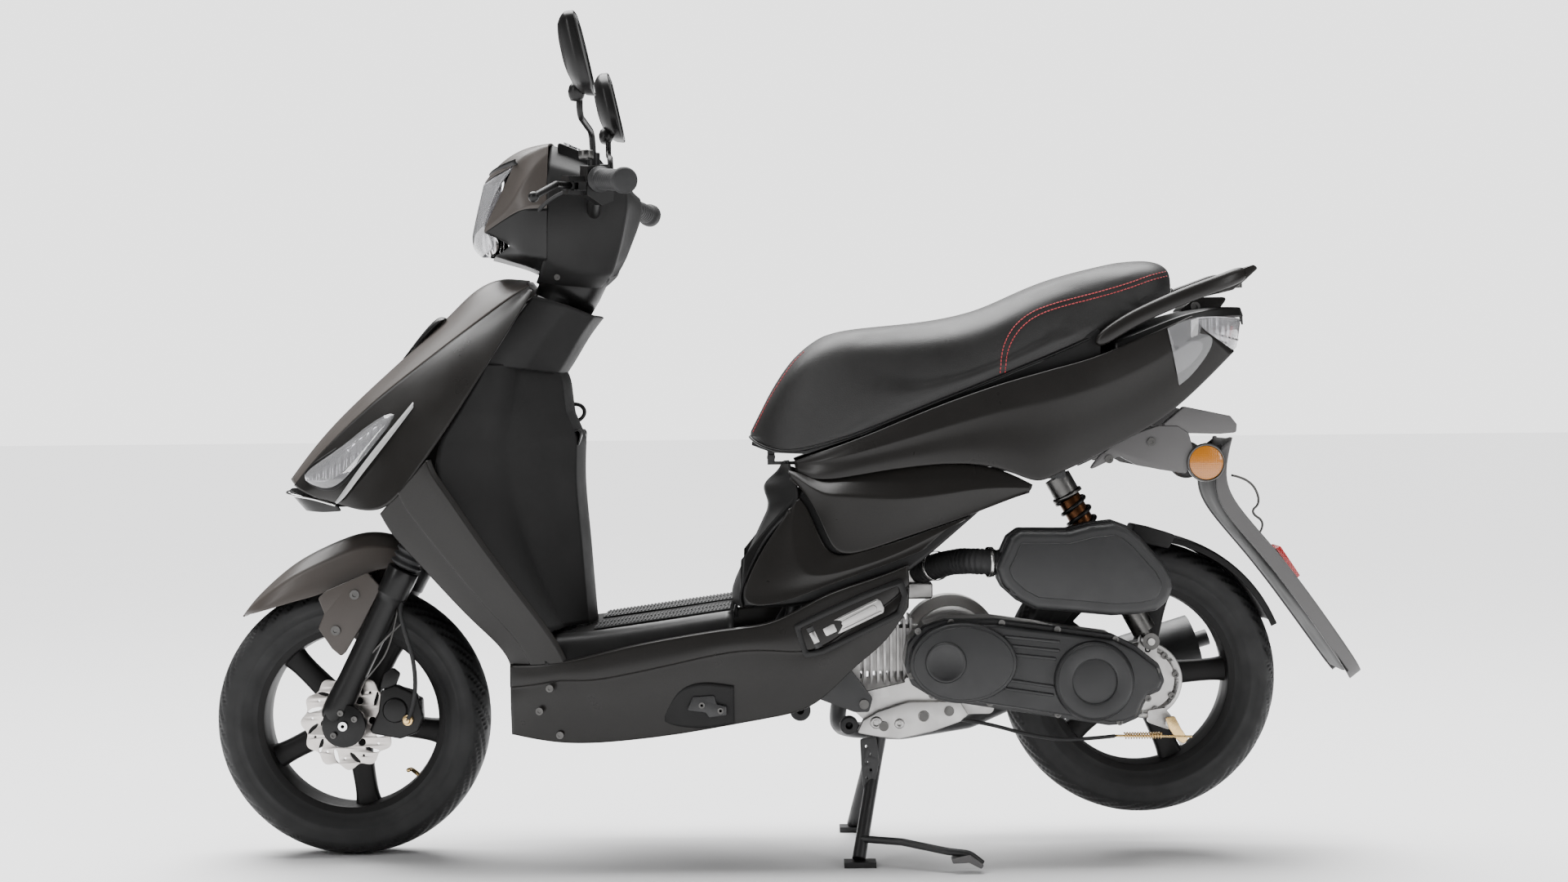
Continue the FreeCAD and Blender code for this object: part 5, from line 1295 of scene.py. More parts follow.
def mirror_head(name, side, body, node):
    centre = mm(-310, side * 322, 1294)
    outline = [(-66, -34), (-50, -50), (-34, -60), (10, -60), (48, -56), (62, -42), (70, -20), (69, 20), (66, 56),
               (50, 63), (10, 66), (-20, 66), (-44, 56), (-62, 40), (-68, 0)]
    layers = ((-27, 0.06), (-26, 0.40), (-21, 0.70), (-13, 0.90), (-4, 0.98), (8, 1.0), (10, 0.97), (9, 0.93))
    obj = cage(name, [mirror_ring(centre, outline, side, *layer) for layer in layers], loop=True,
               sharp_rows=(2, 4, 5, 6), sharpness=0.7)
    face_away(obj, centre)
    wall(subdivide(obj, 2), 2.0)
    finish_piece(obj, body, BLACK_FINE, [node])
    front = mirror_ring(centre, outline, side, 8, 0.94)
    back = [p + mm(-2, 0, 0) for p in front]
    count = len(outline)
    faces = [tuple(range(count)), tuple(range(2 * count - 1, count - 1, -1))]
    faces += [(i, i + count, (i + 1) % count + count, (i + 1) % count) for i in range(count)]
    pane = clean(add_object(name + "_glass", front + back, faces), 1e-6)
    sharp_by_angle(pane, 30)
    finish_piece(pane, body, MIRROR_GLASS)
    socket = turned(name + "_socket", [(0, -15), (9, -14), (12, -8), (13.5, 0), (12, 8), (8, 13), (0, 15)],
                    mm(-318, side * 292, 1243), (0.1, side * 0.3, 1), 32)
    finish_piece(socket, body, BLACK_FINE)


mirror_head("mirror_housing_left", -1, "mirror_l", "mirror_left")
mirror_head("mirror_housing_right", 1, "mirror_r", "mirror_right")


# %% Finishes for the CAD parts of the handlebar
def paint(look, *nodes):
    """A CAD part whose shape is right keeps it, and gets a better finish."""
    for node in nodes:
        part = frame["nodes"][node]
        part.data.materials.clear()
        part.data.materials.append(look)


paint(BLACK_FINE, "handlebar", "switch_pods", "brake_lever_left", "brake_lever_right")
paint(RED, "horn_button", "start_button")
paint(FRAME_PAINT, "frame_spine", "frame_rails", "steering_stem", "centre_stand", "seat_pan", "battery")
paint(BLACK, "storage_bucket", "fuel_tank")

# %% [markdown]
# ## Floor and skirts
# The footboard is flat where the feet stand and falls away to the skirts. Four rubber strips lie on it,
# each with ribs across it, so that a wet shoe doesn't slip.

# %% Footboard
FLOOR = ((-388, 383), (-330, 387), (-300, 390), (-200, 404), (-84, 421))


def floor_rows():
    rows = []
    for x, z in FLOOR:
        left = [(156, z), (170, z - 6), (182, z - 24), (187, z - 46)]
        half = [mm(x, -y, h) for y, h in left]
        rows.append([p for p in reversed(half)] + [mm(x, 0, z + 1)] + [flip(p) for p in half])
    return rows


panel("footboard", floor_rows(), "chassis", BLACK_FINE, "black_plastic", ["floor_board"], inside=mm(-200, 0, 300),
      thick=3, sharp_cols=(3, 5), sharpness=0.5)

# %% [markdown]
# The ribs repeat, so a Geometry Nodes tree lays them: it takes a line of points and puts one bar on
# each. The bar's length, width and height are the tree's named inputs.


# %% A Geometry Nodes tree for bars in a row
def bar_tree():
    tree = bpy.data.node_groups.new("Bars in a row", "GeometryNodeTree")
    face = tree.interface
    face.new_socket("Geometry", in_out="INPUT", socket_type="NodeSocketGeometry")
    for label, value in (("Bar length", 0.05), ("Bar width", 0.003), ("Bar height", 0.002)):
        face.new_socket(label, in_out="INPUT", socket_type="NodeSocketFloat").default_value = value
    face.new_socket("Finish", in_out="INPUT", socket_type="NodeSocketMaterial")
    face.new_socket("Geometry", in_out="OUTPUT", socket_type="NodeSocketGeometry")
    nodes, links = tree.nodes, tree.links
    given, out = nodes.new("NodeGroupInput"), nodes.new("NodeGroupOutput")
    size = nodes.new("ShaderNodeCombineXYZ")
    links.new(given.outputs["Bar width"], size.inputs["X"])
    links.new(given.outputs["Bar length"], size.inputs["Y"])
    links.new(given.outputs["Bar height"], size.inputs["Z"])
    bar = nodes.new("GeometryNodeMeshCube")
    links.new(size.outputs[0], bar.inputs["Size"])
    facing = nodes.new("GeometryNodeInputNamedAttribute")
    facing.data_type = "FLOAT_VECTOR"
    facing.inputs["Name"].default_value = "facing"
    turn = nodes.new("FunctionNodeAlignRotationToVector")
    turn.axis = "Z"
    links.new(facing.outputs[0], turn.inputs["Vector"])
    place = nodes.new("GeometryNodeInstanceOnPoints")
    links.new(given.outputs["Geometry"], place.inputs["Points"])
    links.new(bar.outputs["Mesh"], place.inputs["Instance"])
    links.new(turn.outputs[0], place.inputs["Rotation"])
    real = nodes.new("GeometryNodeRealizeInstances")
    links.new(place.outputs[0], real.inputs[0])
    paint_bars = nodes.new("GeometryNodeSetMaterial")
    links.new(real.outputs[0], paint_bars.inputs["Geometry"])
    links.new(given.outputs["Finish"], paint_bars.inputs["Material"])
    links.new(paint_bars.outputs[0], out.inputs[0])
    return tree


BAR_TREE = bar_tree()


def bars(name, places, length, width, height, look, body):
    cloud = add_object(name, [p for p, n in places], [])
    facing = cloud.data.attributes.new("facing", "FLOAT_VECTOR", "POINT")
    for item, (p, n) in zip(facing.data, places):
        item.vector = Vector(n).normalized()
    run_tree(cloud, BAR_TREE, {"Bar length": length * MM, "Bar width": width * MM, "Bar height": height * MM,
                               "Finish": look})
    clean(cloud, 1e-7)
    sharp_by_angle(cloud, 30)
    return finish_piece(cloud, body, look)


def floor_height(x):
    return 387 + (x + 330) * 34 / 246


slope = Vector((-34, 0, 246)).normalized()
mats, ribs = [], []
for y in (-124, -62, 62, 124):
    outline = [(-312, floor_height(-312) + 0.5), (-90, floor_height(-90) + 0.5), (-90, floor_height(-90) + 3),
               (-312, floor_height(-312) + 3)]
    mats.append(plate("mat", outline, y - 26, y + 26, 0, 0.8))
    for k in range(36):
        x = -307 + 212 * k / 35
        ribs.append((mm(x, y, floor_height(x) + 3.6), slope))
finish_piece(join("floor_mat", mats), "chassis", RUBBER, ["floor_mats"])
bars("floor_mat_ribs", ribs, 46, 2.6, 1.8, RUBBER, "chassis")

# %% [markdown]
# The skirt is a long side panel from the leg panel to the passenger peg. A step runs along it, so the
# rows have a crease halfway down.

# %% Skirts
SKIRT = [  # upper edge, step, lower edge
    ((-447, -166, 334), (-447, -166, 300), (-446, -158, 221)),
    ((-400, -183, 336), (-402, -184, 306), (-400, -166, 212)),
    ((-363, -193, 340), (-358, -194, 316), (-353, -172, 207)),
    ((-330, -194, 346), (-318, -195, 311), (-300, -174, 208)),
    ((-251, -193, 366), (-240, -195, 326), (-240, -174, 213)),
    ((-170, -192, 380), (-165, -195, 342), (-165, -174, 222)),
    ((-86, -192, 393), (-84, -194, 360), (-86, -174, 236)),
    ((-17, -191, 398), (-17, -194, 360), (-17, -177, 248)),
    ((54, -189, 442), (50, -193, 352), (49, -181, 262)),
    ((111, -188, 461), (111, -191, 402), (111, -185, 332)),
    ((160, -187, 476), (160, -189, 428), (160, -184, 364)),
    ((198, -184, 492), (200, -185, 462), (199, -182, 424))]


def skirt_rows():
    rows = []
    for upper, step, lower in SKIRT:
        a, b, c = Vector(upper), Vector(step), Vector(lower)
        rows.append([a + Vector((0, 8, 2)), a, a.lerp(b, 0.7) - Vector((0, 2, 0)), b, b + Vector((0, 3.5, -3)),
                     b.lerp(c, 0.35) - Vector((0, 2, 0)), b.lerp(c, 0.72) - Vector((0, 1, 0)), c,
                     c + Vector((0, 9, 1))])
    return [[p * MM for p in row] for row in rows]


panel_pair("skirt", skirt_rows(), "chassis", PANEL, "panel_plastic", ["side_skirts"], inside=mm(-150, 0, 300),
           sharp_cols=(1, 3, 4, 7), sharpness=0.6)

# %% [markdown]
# Each skirt has a notch in its lower edge. A black sheet laid on the skirt fills it as painted shade for the dark
# recess inside, with a bracket and a bolt on it.

# %% Skirt notch, a sheet of painted shade
NOTCH_SHADE = [(-196, 252, 243), (-186, 274, 238), (-170, 298, 234), (-137, 308, 230), (-108, 304, 234), (-84, 300, 238)]


def skirt_y(z):
    return -175.5 - (z - 215) * 0.175


notch_shade_rows = []
for x, top, low in NOTCH_SHADE:
    notch_shade_rows.append([mm(x, skirt_y(z), z) for z in (top, (2 * top + low) / 3, (top + 2 * low) / 3, low)])
# A black sheet on the skirt: painted shade standing in for the dark recess of the notch, which is not cut.
panel_pair("skirt_notch_shade", notch_shade_rows, "chassis", BLACK, "black_plastic", inside=mm(-150, 0, 300), thick=1.5, levels=2)
BRACKET = [(-160, 262), (-150, 284), (-116, 286), (-112, 272), (-96, 268), (-96, 254), (-124, 250), (-130, 258)]
for side, label in ((-1, "left"), (1, "right")):
    y0, y1 = sorted((side * 180, side * 190.5))
    finish_piece(plate("skirt_bracket_" + label, BRACKET, y0, y1, 3, 1.5), "chassis", FRAME_PAINT)
screws("skirt_bracket_bolts", both([(mm(-136, -190.5, 270), (0, -1, 0)), (mm(-106, -190.5, 261), (0, -1, 0))]), 5, 3,
       DARK_STEEL, "chassis", 0.5)

# %% [markdown]
# The passenger pegs are cast alloy and fold against the skirt, in a dark recess.

# %% Pegs
PEG_DIR = Vector((130, 0, 62)).normalized()
PEG_SIDE = Vector((-PEG_DIR.z, 0, PEG_DIR.x))
PEG_HINGE = (46, -186, 378)


def peg(name, side, body, node):
    hinge = Vector((PEG_HINGE[0], 0, PEG_HINGE[2]))
    y = side * 186
    shape = [(2, -9), (14, -12.5), (118, -13), (122, -6), (122, 6), (118, 12.5), (60, 12.5), (14, 12.5), (2, 9)]
    slot = [(52, -4.5), (108, -6), (112, 0), (108, 6), (52, 4.5), (48, 0)]
    boss = [(18, -7), (38, -7), (38, 7), (18, 7)]

    def placed(outline):
        return [tuple((hinge + PEG_DIR * a + PEG_SIDE * b)[i] for i in (0, 2)) for a, b in outline]
    y0, y1 = sorted((y - side * 5, y + side * 6))
    base = plate(name, placed(shape), y0, y1, 4, 1.6, 3)
    ridge0, ridge1 = sorted((y + side * 5, y + side * 8))
    parts = [base, plate("boss", placed(boss), ridge0, ridge1, 3, 1.0),
             plate("ridge", placed([(46, -10.5), (116, -11), (116, -8), (46, -7.5)]), ridge0, ridge1, 1, 0.7),
             plate("ridge", placed([(46, 8), (116, 8), (116, 10.5), (46, 10.5)]), ridge0, ridge1, 1, 0.7),
             plate("pad", placed(slot), ridge0, ridge1, 3, 0.8)]
    eye = turned("eye", [(3.2, -10), (8, -10), (8.6, -9), (8.6, 9), (8, 10), (3.2, 10)], mm(46, y, 378), PEG_SIDE, 32,
                 closed=True)
    return finish_piece(join(name, parts + [eye]), body, ALLOY, [node])


peg("passenger_peg_left", -1, "peg_l", "peg_left")
peg("passenger_peg_right", 1, "peg_r", "peg_right")
for side, label in ((-1, "left"), (1, "right")):
    y0, y1 = sorted((side * 195.5, side * 188))
    rim_outline = [(14, 398), (30, 346), (60, 352), (186, 412), (196, 444), (188, 472), (120, 446), (60, 420)]
    inner = [(22, 394), (35, 354), (60, 360), (180, 418), (188, 444), (182, 462), (122, 438), (62, 412)]
    middle_x, middle_z = 105, 405
    loops = [[(x - middle_x, z - middle_z) for x, z in round_corners(rim_outline, 6, 3)],
             [(x - middle_x, z - middle_z) for x, z in round_corners(inner, 6, 3)]]
    frame_ring = plate_with_holes("peg_recess_" + label, loops, mm(middle_x, side * 192.5, middle_z), 5, 1)
    finish_piece(frame_ring, "chassis", BLACK_FINE)

# %% [markdown]
# ## Side covers, tunnel and tail
# The side covers sweep up from the floor to the tail in two creased swooshes, with a dark groove
# between them. The tail covers are long wedges that end at the lamp.

# %% Tunnel
TUNNEL = [  # height, x in the middle and at the sides, half widths there
    (424, -84, -70, 86, 150), (440, -92, -78, 86, 150), (494, -66, -56, 84, 150), (540, -44, -30, 83, 148),
    (574, -28, 6, 82, 140), (592, -24, 22, 78, 138), (618, -40, 22, 74, 136), (640, -8, 10, 64, 118),
    (656, -2, 6, 56, 104)]


def tunnel():
    rows = []
    for z, x_mid, x_side, w_mid, w_side in TUNNEL:
        side, mid = Vector((x_side, -w_side, z)), Vector((x_mid, -w_mid, z))
        left = [side, side.lerp(mid, 0.5) - Vector((2, 3, 0)), mid, mid.lerp(Vector((x_mid - 2, 0, z)), 0.5)]
        rows.append([p * MM for p in left] + [mm(x_mid - 3, 0, z)] + [flip(p * MM) for p in reversed(left)])
    panel("tunnel_front_cover", rows, "chassis", BLACK, "black_plastic", ["tunnel_cover"], inside=mm(60, 0, 540),
          sharp_cols=(2, 6), sharp_rows=(4,), sharpness=0.5)


tunnel()

UPPER_SWOOSH = [  # upper edge, ridge and lower edge
    ((6, -128, 646), (8, -134, 640), (10, -138, 632)),
    ((20, -132, 643), (28, -146, 628), (38, -148, 606)),
    ((58, -138, 626), (62, -160, 606), (56, -160, 570)),
    ((92, -144, 634), (88, -168, 606), (68, -164, 540)),
    ((131, -148, 640), (128, -172, 604), (84, -167, 508)),
    ((200, -152, 650), (190, -176, 600), (124, -170, 512)),
    ((262, -156, 656), (252, -177, 606), (196, -172, 538)),
    ((330, -158, 652), (316, -174, 616), (268, -172, 560)),
    ((372, -160, 636), (362, -170, 616), (330, -170, 584)),
    ((402, -161, 620), (400, -165, 614), (396, -166, 608))]
LOWER_SWOOSH = [
    ((24, -140, 600), (18, -144, 594), (8, -148, 580)),
    ((34, -144, 590), (12, -152, 566), (-14, -154, 552)),
    ((48, -150, 560), (12, -162, 530), (-40, -158, 512)),
    ((60, -158, 530), (20, -172, 494), (-62, -160, 470)),
    ((76, -162, 506), (40, -177, 474), (-74, -162, 430)),
    ((110, -168, 510), (84, -179, 480), (-30, -172, 426)),
    ((160, -170, 524), (124, -180, 492), (31, -178, 446)),
    ((206, -173, 538), (170, -180, 506), (96, -181, 472)),
    ((250, -175, 554), (218, -179, 528), (160, -181, 492)),
    ((300, -174, 570), (262, -177, 550), (222, -180, 516))]


def swoosh_rows(table):
    rows = []
    for upper, ridge, lower in table:
        a, b, c = Vector(upper), Vector(ridge), Vector(lower)
        rows.append([a + Vector((0, 8, 0)), a, a.lerp(b, 0.5) - Vector((0, 1, 0)), b, b.lerp(c, 0.35) + Vector((0, 1, 0)),
                     b.lerp(c, 0.75) + Vector((0, 1, 0)), c, c + Vector((0, 9, -1))])
    return [[p * MM for p in row] for row in rows]


panel_pair("side_cover_upper", swoosh_rows(UPPER_SWOOSH), "chassis", PANEL, "panel_plastic", ["side_covers"],
           inside=mm(150, 0, 540), sharp_cols=(1, 3, 6), sharpness=0.55)
panel_pair("side_cover_lower", swoosh_rows(LOWER_SWOOSH), "chassis", PANEL, "panel_plastic", inside=mm(100, 0, 500),
           sharp_cols=(1, 3, 6), sharpness=0.55)
BACKING = [((-74, -142, 424), (-72, -142, 500)), ((20, -136, 420), (0, -130, 590)), ((100, -150, 440), (60, -130, 640)),
           ((180, -156, 462), (140, -132, 645)), ((240, -158, 512), (210, -136, 648)), ((330, -160, 590), (330, -150, 650))]
panel_pair("side_cover_backing", side_rows(BACKING, 6, 4), "chassis", BLACK_FINE, "gloss_black", inside=mm(100, 0, 540))

# %% Tail covers
TAIL = [  # upper lip, ridge and lower edge of the left tail cover
    ((16, -108, 660), (18, -116, 656), (18, -120, 644)),
    ((54, -130, 674), (58, -142, 660), (54, -144, 624)),
    ((127, -152, 698), (130, -162, 676), (140, -162, 642)),
    ((244, -160, 748), (250, -169, 712), (262, -168, 658)),
    ((351, -161, 784), (356, -169, 742), (351, -169, 651)),
    ((404, -160, 798), (414, -168, 752), (408, -167, 618)),
    ((440, -158, 808), (448, -166, 760), (440, -162, 636)),
    ((505, -154, 824), (512, -158, 776), (480, -154, 652)),
    ((560, -146, 848), (572, -148, 800), (536, -146, 681)),
    ((612, -136, 868), (628, -138, 830), (610, -134, 716)),
    ((644, -130, 882), (660, -132, 852), (676, -122, 770)),
    ((668, -124, 892), (690, -124, 868), (744, -92, 834))]


def tail_rows():
    rows = []
    for upper, ridge, lower in TAIL:
        a, b, c = Vector(upper), Vector(ridge), Vector(lower)
        rows.append([a + Vector((0, 12, -1)), a, a.lerp(b, 0.5) - Vector((0, 1.5, 0)), b,
                     b.lerp(c, 0.3) + Vector((0, 1, 0)), b.lerp(c, 0.65) - Vector((0, 1.5, 0)), c,
                     c + Vector((0, 14, 2))])
    return [[p * MM for p in row] for row in rows]


panel_pair("tail_cover", tail_rows(), "chassis", TAIL_LOOK, "panel_plastic", ["tail_covers"],
           inside=mm(380, 0, 720), sharp_cols=(1, 3, 6), sharpness=0.55)

TAIL_TOP = [((540, -138, 850), (536, 0, 862)), ((600, -130, 874), (600, 0, 888)), ((660, -118, 897), (664, 0, 906)),
            ((720, -98, 906), (730, 0, 912)), ((758, -70, 907), (772, 0, 908)), ((764, -60, 893), (778, 0, 894))]
rows = []
for outer, mid in TAIL_TOP:
    a, b = Vector(outer), Vector(mid)
    half = [a + Vector((0, -4, -14)), a, a.lerp(b, 0.4) + Vector((0, 0, 2))]
    rows.append([p * MM for p in half] + [b * MM] + [flip(p * MM) for p in reversed(half)])
panel("tail_top_lip", rows, "chassis", BLACK_FINE, "gloss_black", inside=mm(600, 0, 780), sharp_cols=(1, 5),
      sharp_rows=(4,))

UNDER = [(470, 654, 140), (534, 690, 138), (610, 730, 124), (676, 776, 112), (744, 838, 84)]
rows = [[mm(x, y, z - 4 * abs(y) / half) for y in (-half, -half * 0.5, 0, half * 0.5, half)] for x, z, half in UNDER]
panel("tail_underside", rows, "chassis", BLACK, "black_plastic", inside=mm(560, 0, 860))

# %% [markdown]
# The tail lamp has a clear outer cover, a bright bowl with ridges and a red inner lens.

# %% Tail lamp
LAMP_SIDE = [((626, -138, 872), (648, -128, 768)), ((660, -134, 888), (672, -122, 786)), ((700, -118, 892), (704, -106, 806)),
             ((738, -92, 891), (734, -84, 826)), ((764, -52, 889), (757, -50, 842)), ((772, 0, 888), (764, 0, 846))]
lamp_rows = [[p * MM for p in bow(a, b, 5, 5)] for a, b in LAMP_SIDE]
lamp_rows = lamp_rows + [[flip(p) for p in row] for row in reversed(lamp_rows[:-1])]
panel("tail_lamp_lens", lamp_rows, "chassis", LENS, "clear_lens", ["tail_lamp"], inside=mm(640, 0, 830), thick=2)
bowl_rows = [[Vector((p.x - 0.014, p.y * 0.9, p.z)) for p in row] for row in lamp_rows]
panel("tail_lamp_bowl", bowl_rows, "chassis", REFLECTOR_BOWL, "clear_lens", inside=mm(620, 0, 830), thick=1.5)
red_rows = [[Vector((p.x - 0.007, p.y * 0.62, 0.866 + (p.z - 0.866) * 0.5)) for p in row] for row in lamp_rows[3:-3]]
panel("tail_lamp_red", red_rows, "chassis", RED_PRISM, "reflector_red", inside=mm(640, 0, 850), thick=2)
fins = [(mm(648 + 20 * k, side * (126 - 6.5 * k), 838 + 5 * k), (0.25, side, 0)) for k in range(5) for side in (-1, 1)]
bars("tail_lamp_fins", fins, 3, 46, 2, REFLECTOR_BOWL, "chassis")

# %% Grab rail
RAIL = [(505, -140, 846), (560, -142, 884), (614, -140, 908), (670, -134, 931), (724, -124, 949), (764, -104, 966)]


def grab_rail():
    rows = []
    for x, y, z in RAIL:
        wide, high = 9.5, 12.5
        ring = [(-wide, -high * 0.6), (-wide, high * 0.4), (-wide * 0.4, high), (wide * 0.6, high), (wide, high * 0.3),
                (wide, -high * 0.7), (wide * 0.3, -high), (-wide * 0.5, -high)]
        rows.append([mm(x - b * 0.4, y + a, z + b) for a, b in ring])
    arm = cage("arm", rows, loop=True)
    bm = bmesh.new()
    bm.from_mesh(arm.data)
    bmesh.ops.holes_fill(bm, edges=bm.edges, sides=0)
    bm.to_mesh(arm.data)
    bm.free()
    subdivide(clean(arm), 2)
    other = add_object("arm", [flip(v.co) for v in arm.data.vertices], [tuple(p.vertices) for p in arm.data.polygons])
    subdivide(clean(other), 2)
    bridge = plate("bridge", [(700, 936), (724, 958), (772, 976), (780, 970), (756, 948), (738, 934), (716, 930)],
                   -112, 112, 6, 4, 4)
    stay = plate("stay", [(664, 906), (690, 926), (744, 926), (728, 904), (700, 896), (670, 896)], -42, 42, 5, 2)
    return finish_piece(join("grab_rail_handle", [arm, other, bridge, stay]), "chassis", PANEL, ["grab_rail"])


grab_rail()
studs = [(mm(750, -86, 945), (0, 0, -1)), (mm(750, 86, 945), (0, 0, -1)), (mm(688, -43, 910), (0, -1, 0))]
screws("grab_rail_bolts", studs, 8, 12, DARK_STEEL, "chassis", 0.5)

# %% [markdown]
# ## Plate holder and reflectors
# The rear flap is a ridged channel that carries the number plate. Two short arms hold it, each with
# an amber reflector, and a red one sits on the flap.

# %% Plate holder
FLAP = [  # outer face from the top down, and half width
    (742, 690, 80), (724, 618, 82), (758, 566, 82), (806, 512, 84), (856, 448, 84), (914, 366, 82), (950, 314, 74),
    (958, 302, 60)]


def flap():
    rows = []
    for x, z, half in FLAP:
        back = Vector((-18, 0, -14))
        points = [Vector((x, -half, z)) + back, Vector((x, -half, z)), Vector((x + 3, -half + 14, z + 3)),
                  Vector((x - 1, -half + 26, z - 1)), Vector((x, 0, z))]
        rows.append([p * MM for p in points] + [flip(p * MM) for p in reversed(points[:-1])])
    panel("rear_flap", rows, "chassis", GREY, "light_grey", ["plate_holder"], inside=mm(700, 0, 400), thick=3.5,
          sharp_cols=(1, 7), sharpness=0.7)
    inner = [[p + mm(-16, 0, -12) for p in row[1:-1]] for row in rows[:-1]]
    panel("rear_flap_lining", inner, "chassis", BLACK, "black_plastic", inside=mm(700, 0, 400), thick=3)


flap()


def holder_arm(name, side):
    outline = [(500, 638), (520, 664), (539, 678), (580, 700), (618, 713), (650, 712), (668, 700), (676, 671),
               (664, 633), (620, 640), (581, 648), (553, 663)]
    y0, y1 = sorted((side * 92, side * 80))
    block0, block1 = sorted((side * 90, side * 66))
    parts = [plate(name, outline, y0, y1, 6, 3.5, 4),
             plate("stub", [(624, 714), (661, 744), (737, 728), (748, 714), (747, 700), (721, 698), (645, 700)], block0,
                   block1, 5, 3, 4),
             turned("boss", [(0, -4), (24, -4), (28, 0), (28, 6), (0, 6)], mm(696, side * 86, 651), (0, -side, 0), 48)]
    return finish_piece(join(name, parts), "chassis", GREY)


holder_arm("holder_arm_left", -1)
holder_arm("holder_arm_right", 1)
screws("holder_arm_bolts", both([(mm(606, -93, 686), (0, -1, 0)), (mm(536, -93, 658), (0, -1, 0))]), 7, 4, DARK_STEEL,
       "chassis", 0.5)

for side, label in ((-1, "left"), (1, "right")):
    lens = turned("side_reflector_" + label, [(0, 0), (27, 0), (29, -1.5), (29, -4), (0, -4)],
                  mm(696, side * 95.5, 651), (0, side, 0), 64)
    finish_piece(lens, "chassis", AMBER, ["reflectors"])
    ring = turned("side_reflector_rim_" + label, [(27.5, -1), (29, 1.5), (31.5, 1), (32, -5), (28, -5)],
                  mm(696, side * 95.5, 651), (0, side, 0), 64, closed=True)
    finish_piece(ring, "chassis", DARK_STEEL)
red = plate("rear_reflector", [(822, 504), (832, 508), (865, 458), (857, 452)], -30, 30, 2, 1)
finish_piece(red, "chassis", RED_PRISM)
housing = plate("rear_reflector_block", [(812, 496), (822, 506), (862, 450), (852, 440)], -34, 34, 3, 1.5)
finish_piece(housing, "chassis", BLACK_FINE)
clip = [mm(748, -40, 628), mm(780, -40, 622), mm(798, -40, 582), mm(778, -40, 566), mm(806, -40, 548), mm(794, -40, 530)]
finish_piece(tube("plate_wire", clip, 2.0, 8), "chassis", DARK_STEEL)


# %% [markdown]
# ## Seat
# The seat is foam under a stretched vinyl cover. The cage gives its long saddle shape, with a step up
# for the passenger. A short cloth simulation with a little pressure inside then swells the cover as
# foam does, and the seams are laid on the result.

# %% Seat shape
SEAT = [  # x, half width, underside, side shoulder and top
    (-57, 26, 696, 702, 708),
    (-50, 50, 688, 708, 722),
    (-24, 82, 676, 742, 770),
    (2, 100, 672, 776, 812),
    (36, 116, 676, 812, 850),
    (80, 130, 688, 836, 870),
    (130, 142, 704, 842, 877),
    (228, 150, 744, 846, 884),
    (300, 150, 772, 858, 897),
    (345, 148, 790, 876, 912),
    (400, 144, 812, 902, 938),
    (450, 138, 832, 924, 957),
    (510, 130, 858, 942, 972),
    (570, 118, 886, 956, 985),
    (615, 102, 906, 962, 990),
    (640, 78, 922, 958, 980),
    (648, 48, 936, 954, 966)]


def seat_cage():
    rows = []
    for x, half, low, shoulder, top in SEAT:
        side = [(half * 0.55, low), (half * 0.97, low + 1), (half + 1, low + 12), (half + 2, (low + shoulder) / 2),
                (half - 3, shoulder), (half * 0.80, top - (top - shoulder) * 0.34), (half * 0.42, top - 1)]
        left = [mm(x, -y, z) for y, z in side]
        rows.append([mm(x, 0, low)] + left + [mm(x, 0, top)] + [flip(p) for p in reversed(left)])
    obj = cage("seat", rows, loop=True, sharp_cols=(2, 14), sharpness=0.5)
    bm = bmesh.new()
    bm.from_mesh(obj.data)
    bmesh.ops.holes_fill(bm, edges=bm.edges, sides=0)
    bmesh.ops.recalc_face_normals(bm, faces=bm.faces)
    bm.to_mesh(obj.data)
    bm.free()
    return obj


def bake(obj):
    """Apply an object's modifiers to its mesh."""
    graph = bpy.context.evaluated_depsgraph_get()
    graph.update()
    mesh = bpy.data.meshes.new_from_object(obj.evaluated_get(graph))
    obj.modifiers.clear()
    old = obj.data
    obj.data = mesh
    bpy.data.meshes.remove(old)
    return obj


# %% Swell the cover with a short cloth simulation
def swell(obj, pressure=3.0, cap=0.005, pin_below=None):
    """Inflate a closed mesh with Blender's cloth. No point moves further than cap."""
    start = [v.co.copy() for v in obj.data.vertices]
    group = obj.vertex_groups.new(name="base")
    low = [v.index for v in obj.data.vertices if pin_below(v.co)]
    group.add(low, 1.0, "REPLACE")
    mod = obj.modifiers.new("cover", "CLOTH")
    cloth = mod.settings
    cloth.vertex_group_mass = "base"
    cloth.use_pressure = True
    cloth.uniform_pressure_force = pressure
    cloth.effector_weights.gravity = 0
    cloth.tension_stiffness = 25
    cloth.compression_stiffness = 25
    cloth.bending_stiffness = 2
    cloth.quality = 5
    mod.point_cache.frame_start = 1
    mod.point_cache.frame_end = 20
    for frame_number in range(1, 21):
        scene.frame_set(frame_number)
    graph = bpy.context.evaluated_depsgraph_get()
    moved = [v.co.copy() for v in obj.evaluated_get(graph).data.vertices]
    obj.modifiers.remove(mod)
    obj.vertex_groups.clear()
    for vertex, old, new in zip(obj.data.vertices, start, moved):
        shift = new - old
        vertex.co = old + shift * min(1.0, cap / max(shift.length, 1e-9))
    scene.frame_set(1)


def seat_underside(x):
    for a, b in zip(SEAT, SEAT[1:]):
        if a[0] <= x / MM <= b[0]:
            return (a[2] + (b[2] - a[2]) * (x / MM - a[0]) / (b[0] - a[0])) * MM
    return SEAT[0][2] * MM if x < 0 else SEAT[-1][2] * MM


def seat_cover():
    obj = bake(subdivide(seat_cage(), 3))
    swell(obj, 3.0, 0.004, lambda p: p.z < seat_underside(p.x) + 0.014)
    subdivide(obj, 1)
    finish_piece(obj, "seat", VINYL, ["seat_cushion"])
    return obj


